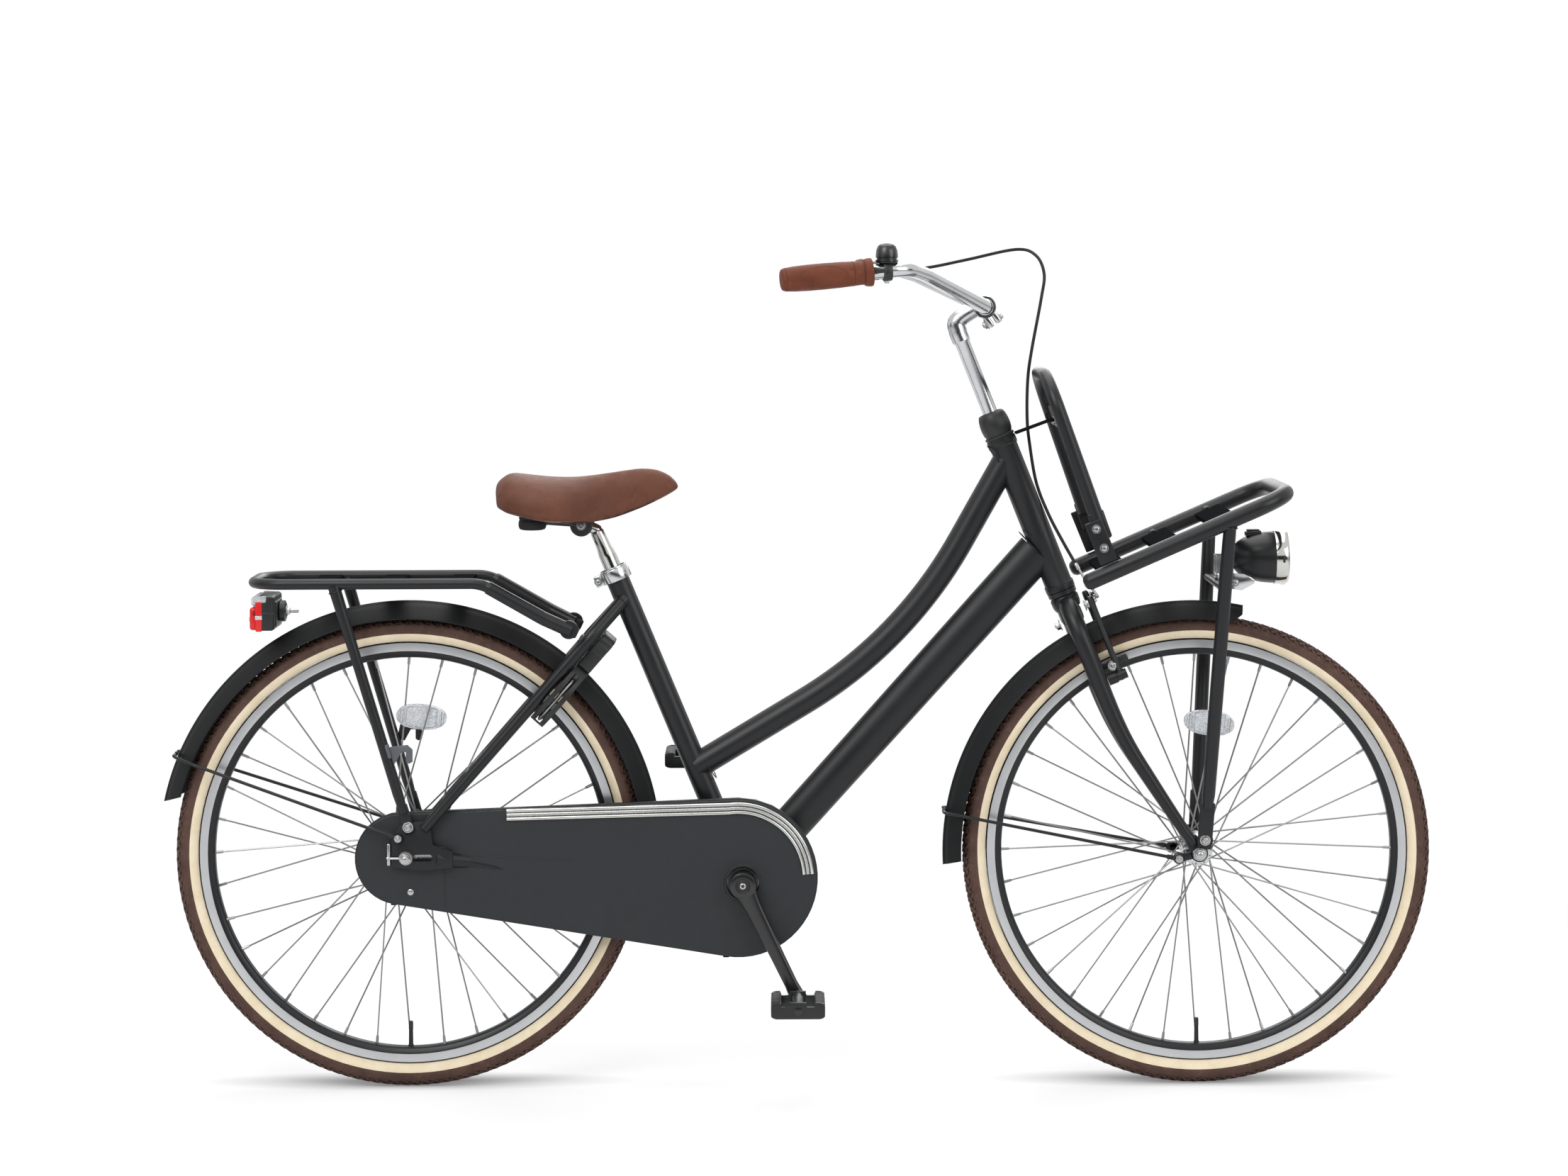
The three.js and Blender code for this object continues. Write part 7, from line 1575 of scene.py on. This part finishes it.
def ring_lock():
    """A channelled ring round the tyre, its slot for the thumb piece, and the cylinder housing."""
    half = [(64, 4.2), (64, 10.6), (63, 11.8), (54.4, 11.8), (52.7, 10.4), (52.7, 6), (62, 6), (62, 4.2)]
    whole = [(64, 0)] + half[1:7] + [(62, 0)] + [(r, -c) for r, c in half[1:7]][::-1]
    parts = [lock_arc(whole, -56, 139, 30), lock_arc(half, 139, 233.5, 16),
             lock_arc([(r, -c) for r, c in half[::-1]], 139, 233.5, 16),
             lock_arc(whole, 233.5, 236, 2)]
    shape = [(-39.5, 53.4), (39.5, 53.4), (39.5, 98), (33, 110), (24, 114.6), (-24, 114.6), (-33, 110),
             (-39.5, 98)]
    outline = [LOCK + LEFT * a / 1000 + LOCK_UP * b / 1000 - LOCK_OVER * 0.0117 for a, b in shape]
    parts.append(plate(outline, LOCK_OVER * 0.0234, 2.6, 3))
    lie = frame_of(LEFT, LOCK_UP)
    parts.append(block(LOCK + LOCK_UP * 0.0845, (81 - 1.2, 3, 22), 1, lie, 2))
    for a in (-34, 34):
        parts.append(block(LOCK + LEFT * a / 1000 + LOCK_UP * 0.101, (8, 14, 23.8), 1.4, lie, 2))
    face = -LOCK_OVER
    cylinder = turned([(0, 0.3), (4, 0.3), (4.4, 0.9), (7.4, 0.9), (8.2, 0.3), (8.2, -2), (0, -2)],
                      LOCK + LOCK_UP * 0.1 + face * 0.0112, face, 32)
    key_slot = block(LOCK + LOCK_UP * 0.1 + face * 0.0115, (1.2, 5, 0.8), 0.2, lie, 1)
    bolts = [socket_bolt(3, 1.6, LOCK + LEFT * a / 1000 + LOCK_UP * 0.066 + LOCK_OVER * 0.0102, LOCK_OVER)
             for a in (-27, 27)]
    hang(joined(*[wear("plastic", part) for part in parts], wear("steel", cylinder),
                wear("plastic", key_slot), *[wear("steel", b) for b in bolts]),
         "ring_lock_housing", "frame", nodes=["ring_lock"])
    bar = tube([in_lock(141 + 93 * n / 30, 57.5) for n in range(31)], 3.3, [0.96] + [1] * 29 + [0.8], 4)
    stem = tube([in_lock(145.3, 57.5), in_lock(145.3, 66)], 2.6, None, 3)
    along = (LEFT * cos(radians(145.3)) + LOCK_UP * sin(radians(145.3)))
    thumb = block(in_lock(145.3, 68.6), (9, 9.4, 6.4), 1.6, frame_of(along, LOCK_OVER.cross(along)), 3)
    hang(built(spoke=[bar, stem], plastic=[thumb]), "lock_bolt_bar", "lock_bolt",
         nodes=["lock_bolt"])


def crank_way(side):
    """The way in which a crank points at rest."""
    turn = radians(-64 + (180 if side > 0 else 0))
    return way(cos(turn), 0, sin(turn)) * 1000


def crank(side, name, body, node):
    """A black arm from a round boss to the pedal eye, with a cap on the axle bolt and a bright spindle."""
    out = LEFT * side
    run = crank_way(side)
    over = run.cross(out).normalized()
    boss = turned([(10, 47), (15.2, 47), (15.9, 48), (16, 57), (17.6, 58.4), (19.4, 59), (20, 60),
                   (20, 75.4), (19.2, 77.2), (17.6, 77.9),
                   (11, 77.9), (10.4, 76.8), (9.2, 76.8)], BRACKET, out, 64)
    flange = turned([(15, 51), (23.2, 51), (23.2, 52.4), (22.4, 53.2), (15, 53.2)], BRACKET, out, 48)
    cap = turned([(0, 79.6), (6.4, 79.6), (7.6, 79), (8.2, 77.6), (10.6, 76.9), (10.6, 74), (0, 74)],
                 BRACKET, out, 40)
    rings = []
    for share, wide, deep in ((0, 17.5, 7.2), (0.06, 17.2, 7.4), (0.11, 14.4, 7.2), (0.2, 12.6, 6.8),
                              (0.4, 11.4, 6.4), (0.65, 10.4, 6), (0.88, 10, 5.8),
                              (0.94, 11, 5.9), (0.985, 11.9, 5.9)):
        middle = BRACKET + run * CRANK_LENGTH / 1000 * share + out * (70 + 5 * share) / 1000
        rings.append([middle + over * wide * (abs(cos(t)) ** 0.75 * (1 if cos(t) > 0 else -1)) / 1000
                      + out * deep * (abs(sin(t)) ** 0.75 * (1 if sin(t) > 0 else -1)) / 1000
                      for t in (2 * pi * (k + 0.5) / 28 for k in range(28))])
    arm = lofted(rings)
    end = BRACKET + run * CRANK_LENGTH / 1000
    eye = turned([(0, 69.2), (11, 69.2), (11.8, 70), (11.9, 80), (11, 80.9), (7.4, 80.9), (6.8, 80),
                  (0, 80)], end, out, 48)
    spindle = turned([(0, 170), (3.6, 170), (4.4, 169), (4.6, 84), (7.6, 83.4), (7.6, 81.2), (0, 81.2)],
                     end, out, 28)
    screw = socket_bolt(4.6, 1.6, BRACKET + out * 0.0786, out)
    flats = hex_nut(6.6, 2.4, end + out * 0.0812, out, None, 1.1)
    stop = hex_nut(5.4, 2, end + out * 0.0688, -out, None, 1.0)
    hang(built(gloss=[boss, flange, arm, eye], plastic=[cap], steel=[spindle, screw, flats, stop]),
         name, body, nodes=[node])


def pedal(side, name, body, node):
    """A black barrel between two end plates with grooved tread blocks, and a reflector in each tread."""
    out = LEFT * side
    centre = BRACKET + crank_way(side) * CRANK_LENGTH / 1000
    barrel = turned([(5.4, 84.4), (9.6, 84.4), (10.6, 86), (10.8, 92), (9.4, 98), (9.4, 160), (10.8, 168),
                     (10.8, 174), (9.8, 176.6), (6, 176.9), (0, 176.9)],
                    centre, out, 36)
    dark = [barrel]
    for far in (87.2, 173.8):
        half_x, half_z = 39.6, 12.1
        shape = [(half_x, 7), (half_x - 3, 11), (half_x - 8, half_z), (-half_x + 8, half_z),
                 (-half_x + 3, 11), (-half_x, 7),
                 (-half_x, -7), (-half_x + 3, -11), (-half_x + 8, -half_z), (half_x - 8, -half_z),
                 (half_x - 3, -11), (half_x, -7)]
        outline = [centre + out * (far - 2.7) / 1000 + AHEAD * a / 1000 + UP * b / 1000 for a, b in shape]
        cage = plate(outline, out * 0.0054, 0.9, 2)
        gaps = [block(centre + out * far / 1000 + AHEAD * a / 1000 + UP * 0.0106, (14, 12, 10), 2.4, None,
                      2) for a in (-19, 19)]
        dark.append(cut(cage, *gaps))
    for ahead in (-32, 32):
        dark.append(block(centre + out * 0.1305 + AHEAD * ahead / 1000, (15, 88, 21), 2, None, 3))
        for k in range(9):
            for lift in (-1, 1):
                spot = centre + out * (98.5 + 8 * k) / 1000 + AHEAD * ahead / 1000 + UP * lift * 0.0106
                dark.append(block(spot, (13, 4, 2), 0.6, None, 1))
    lamps = [block(centre + out * 0.1305 + AHEAD * a / 1000, (1.6, 56, 12), 0.6, None, 2)
             for a in (-39.1, 39.1)]
    bolt = turned([(0, 177.4), (5, 177.3), (8, 176.2), (8.6, 174), (0, 174)], centre, out, 32)
    hang(built(plastic=dark, gloss=[bolt], clear=lamps), name, body,
         nodes=[node])


def axle_nuts(hub, inner, name, body, node, ends=()):
    """The threaded axle with a locknut, a washer and a nut on each side, and what else hangs on it."""
    outer = inner + 5
    parts = []
    for side in (1, -1):
        out = LEFT * side
        thread = [(0, outer + 17.8), (3.4, outer + 17.8), (4.5, outer + 17)]
        for n in range(8):
            thread += [(4.6, outer + 16.6 - n * 1.1), (4, outer + 16.1 - n * 1.1)]
        parts.append(turned(thread + [(4.5, outer + 6), (4.5, 0), (0, 0)], hub, out, 24))
        parts.append(turned([(4.6, outer + 0.3), (10.9, outer + 0.3), (10.9, outer + 2.4),
                             (10.4, outer + 3.4), (4.6, outer + 3.4)], hub, out, 36))
        parts.append(hex_nut(8.4, 8.4, hub + out * (outer + 4) / 1000, out, 4.6, 1.2))
        parts.append(hex_nut(8.6, 4, hub + out * (inner - 5) / 1000, out, 4.6, 1.0))
    hang(joined(*parts, *ends), name, body, "steel", [node])


def chain_tensioners():
    """A bent end cap, a threaded rod and a nut behind each rear dropout."""
    parts = []
    for side in (1, -1):
        mid = rear(0, side * 67.3, 0)
        rod_back = tube([mid - AHEAD * 0.002, mid - AHEAD * 0.0276], 1.9, None, 3)
        cap = block(rear(-25.4, side * 64.8, 5.6), (5, 9, 33), 1.6, None, 3)
        nut = hex_nut(3.8, 2.6, mid - AHEAD * 0.0252, -AHEAD, 2, 1.1)
        loop = turned([(4.6, 64), (9.8, 64), (10, 66), (9.8, 69), (4.6, 69)], rear(0, 0, 0), LEFT * side,
                      36)
        parts += [rod_back, cap, loop, nut]
    return parts


def coaster_arm():
    """The pressed steel arm from the hub to its clip round the left chainstay."""
    hub = rear(0, 0, 0)
    knee, mid = rear(96, 43, -9), rear(400, 28, -35)
    clip = knee.lerp(mid, 0.22)
    run = (mid - knee).normalized()
    side_at = 50
    clip_ahead = clip.x * 1000 + ORIGIN_AHEAD
    heads = [(0, HUB_UP, 10.6), (60, 345, 7.6), (clip_ahead, clip.z * 1000, 7)]
    upper = [at(x, side_at, z + r) for x, z, r in heads]
    lower = [at(x, side_at, z - r) for x, z, r in heads]
    rounded = [rear(-10.6 * cos(t), side_at, 10.6 * sin(t)) for t in (pi * (k - 3) / 7 for k in range(7))]
    arm = plate(upper + [at(clip_ahead + 6, side_at, clip.z * 1000)] + lower[::-1] + rounded,
                LEFT * 0.004, 0.8, 2)
    ring = turned([(9.4, -6.6), (11.6, -6.6), (12.2, -6), (12.2, 6), (11.6, 6.6), (9.4, 6.6)], clip, run,
                  40)
    link = tube([Vector((clip.x, clip.y + 0.0095, clip.z)),
                 Vector((clip.x, hub.y + (side_at + 4.5) / 1000, clip.z))], 4, None, 3)
    bolt = hex_nut(5, 3, Vector((clip.x, hub.y + (side_at + 3.6) / 1000, clip.z)), LEFT, None, 1.1)
    hang(joined(arm, ring, link, bolt), "coaster_reaction_arm", "frame", "steel",
         ["coaster_brake_arm"])


fender_stay(rear(0, 0, 0), 379.5, 157, 350, rear(-11, 0, 30), 70.3, 73.0, "rear_fender_wire", "frame",
            "rear_fender_stay")
fender_stay(front(-4, 0, -4), 378, 170.5, 358, front(-31, 0, -7), 60.0, 62.7, "front_fender_wire",
            "steering", "front_fender_stay")
ring_lock()
crank(-1, "right_crank_arm", "crankset", "crank_right")
crank(1, "left_crank_arm", "crankset", "crank_left")
pedal(-1, "right_pedal_cage", "pedal_right", "pedal_right")
pedal(1, "left_pedal_cage", "pedal_left", "pedal_left")
axle_nuts(rear(0, 0, 0), 60, "rear_axle_and_nuts", "frame", "rear_axle", chain_tensioners())
axle_nuts(front(0, 0, 0), 50, "front_axle_and_nuts", "steering", "front_axle")
coaster_arm()


# Saddle and post.

# The cover is drawn a little smaller than its outline, so that it has room to swell.
SADDLE_SHARE = 0.985
# Along the saddle, its lower and its upper edge and its half width, all as shares.
SADDLE = ((0, .34, .66, .5), (.012, .28, .77, .62), (.04, .24, .84, .72), (.08, .2, .91, .82),
          (.18, .125, .872, .97), (.3, .045, .83, .98),
          (.43, .0, .825, .8), (.55, .03, .868, .5), (.66, .1, .925, .33), (.79, .265, .99, .27),
          (.87, .39, 1, .24), (.94, .51, .92, .19),
          (.985, .6, .78, .12), (1, .63, .7, .06))


def saddle_rings():
    """Cross sections along the saddle, flowing through its named places."""
    rings = []
    knots = [Vector((a, b, c)) for a, b, c, d in SADDLE], [Vector((a, 0, d)) for a, b, c, d in SADDLE]
    for first, second in zip(smooth_path(knots[0], 3), smooth_path(knots[1], 3)):
        along, low, high, wide = first.x, first.y, first.z, second.z
        bottom, half = SADDLE_LIFT + low * SADDLE_HIGH, wide * 100 * SADDLE_SHARE
        top = bottom + (high - low) * SADDLE_HIGH * SADDLE_SHARE
        ring = []
        for k in range(24):
            t = pi * k / 23
            fold = 1 - 0.09 * max(0, 1 - abs(sin(t) - 0.45) / 0.3) * max(0, 1 - abs(along - 0.18) / 0.34)
            ring.append(rear(SADDLE_AHEAD + along * SADDLE_LONG, half * cos(t) * fold,
                             bottom + (top - bottom) * sin(t) ** 0.55))
        rings.append(ring)
    return rings


def saddle():
    """A leather cover swelled over its padding, flat where the shell holds it."""
    cover = lofted(saddle_rings())
    modify(cover, "REMESH", mode="VOXEL", voxel_size=0.004)
    before = [point.co.copy() for point in cover.data.vertices]
    pick(cover)
    swell = cover.modifiers.new("swell", "CLOTH")
    swell.settings.use_pressure = True
    swell.settings.uniform_pressure_force = 4
    swell.settings.effector_weights.gravity = 0
    for number in range(1, 21):
        bpy.context.scene.frame_set(number)
    pick(cover)
    bpy.ops.object.modifier_apply(modifier=swell.name)
    bpy.context.scene.frame_set(1)
    for point, start in zip(cover.data.vertices, before):
        move = point.co - start
        point.co = start + move * min(1, 0.0022 / max(move.length, 1e-9))
    modify(cover, "SMOOTH", factor=0.5, iterations=4)
    modify(cover, "SUBSURF", levels=1, render_levels=1)
    close_up(wear("saddle", cover))
    hang(cover, "saddle_leather_cover", "seat", nodes=["saddle_cover"], smooth=80)


def saddle_shell():
    """The black shell under the leather and the two rubber blocks that it rests on."""
    rings = []
    for along, low, _, wide in SADDLE[3:-3]:
        half, bottom = wide * 78, SADDLE_LIFT + low * SADDLE_HIGH - 0.7
        ring = [rear(SADDLE_AHEAD + along * SADDLE_LONG, half * cos(t), bottom + 5 * sin(t))
                for t in (pi * k / 11 for k in range(12))]
        rings.append(ring)
    shell = wear("plastic", lofted(rings))
    blocks = []
    for side in (-1, 1):
        foot = rear(190, side * 47, 487.5)
        blocks.append(wear("grey_rubber", turned([(0, 0.4), (14, 0.4), (18.6, 1.6), (20.4, 4.4), (21, 9),
                                                  (20.4, 14), (19.2, 15.6), (20, 17.2),
                                                  (20.2, 22), (19, 27), (0, 27)], foot, UP, 48)))
        blocks.append(wear("plastic", turned([(4, -0.2), (5.2, 0.2), (5.2, 2), (0, 2)], foot, UP, 24)))
    hang(joined(shell, *blocks), "saddle_shell_and_blocks", "seat", nodes=["saddle_base"])


def seatpost():
    """A bright post with a necked top, the ribbed clamp round the rails, and the two black rails."""
    head = rear(262, 0, 493)
    line_top = on_seat_tube((rear(282, 0, 492) - BRACKET).dot(SEAT_UP) * 1000)
    foot = on_seat_tube(345)
    length = (line_top - foot).length * 1000
    post = turned([(0, 0.3), (12, 0.3), (13, 1.2), (13, length - 52), (12.8, length - 46),
                   (11.2, length - 36), (10.9, length - 12), (9.8, length - 9), (0, length - 9)],
                  foot, SEAT_UP, 64)
    neck = tube([line_top - SEAT_UP * 0.02, line_top - SEAT_UP * 0.008, head], 9.4, None, 6)
    teeth = []
    for side in (-1, 1):
        profile = [(8, 29.6), (14.6, 29.6), (16.6, 28), (17.1, 25), (17.1, 17), (15.6, 15.6), (15.6, 9),
                   (16.2, 8), (16.2, 4), (15, 2.6), (0, 2.6)]
        teeth.append(wear("plastic", turned(profile, head, LEFT * side, 48)))
        teeth.append(wear("spoke", hex_nut(7, 4, head + LEFT * side * 0.0288, LEFT * side, None, 1.15)))
    rails = []
    for side in (-1, 1):
        points = [rear(176, side * 48, SADDLE_LIFT), rear(209, side * 48, SADDLE_LIFT),
                  rear(262, side * 22, 493), rear(335, side * 14, 529)]
        rails.append(wear("plastic", tube(bent(points, 12, 8), 3.4, None, 4)))
        hold = block(rear(262, side * 22, 497), (24, 9, 16), 2, None, 3)
        rails.append(wear("plastic", hold))
    hang(joined(*[wear("chrome", part) for part in (post, neck)], *teeth, *rails), "seatpost_and_rails",
         "seat", nodes=["seatpost"])


saddle()
saddle_shell()
seatpost()


# What stays of the CAD model wears its material too.

LOOKS = {"frame_paint": "paint", "case_plastic": "case", "tyre": "tread", "rim": "track",
         "silver": "silver", "steel": "steel", "chrome": "chrome",
         "saddle_leather": "saddle", "grip_leather": "grip", "black_plastic": "plastic",
         "black_gloss": "gloss", "clear": "clear", "red": "red"}
for row in frame["record"]["subparts"]:
    node = frame["nodes"].get(row["node"])
    if node is not None and node.type == "MESH":
        wear(LOOKS[row["material_slot"]], node)
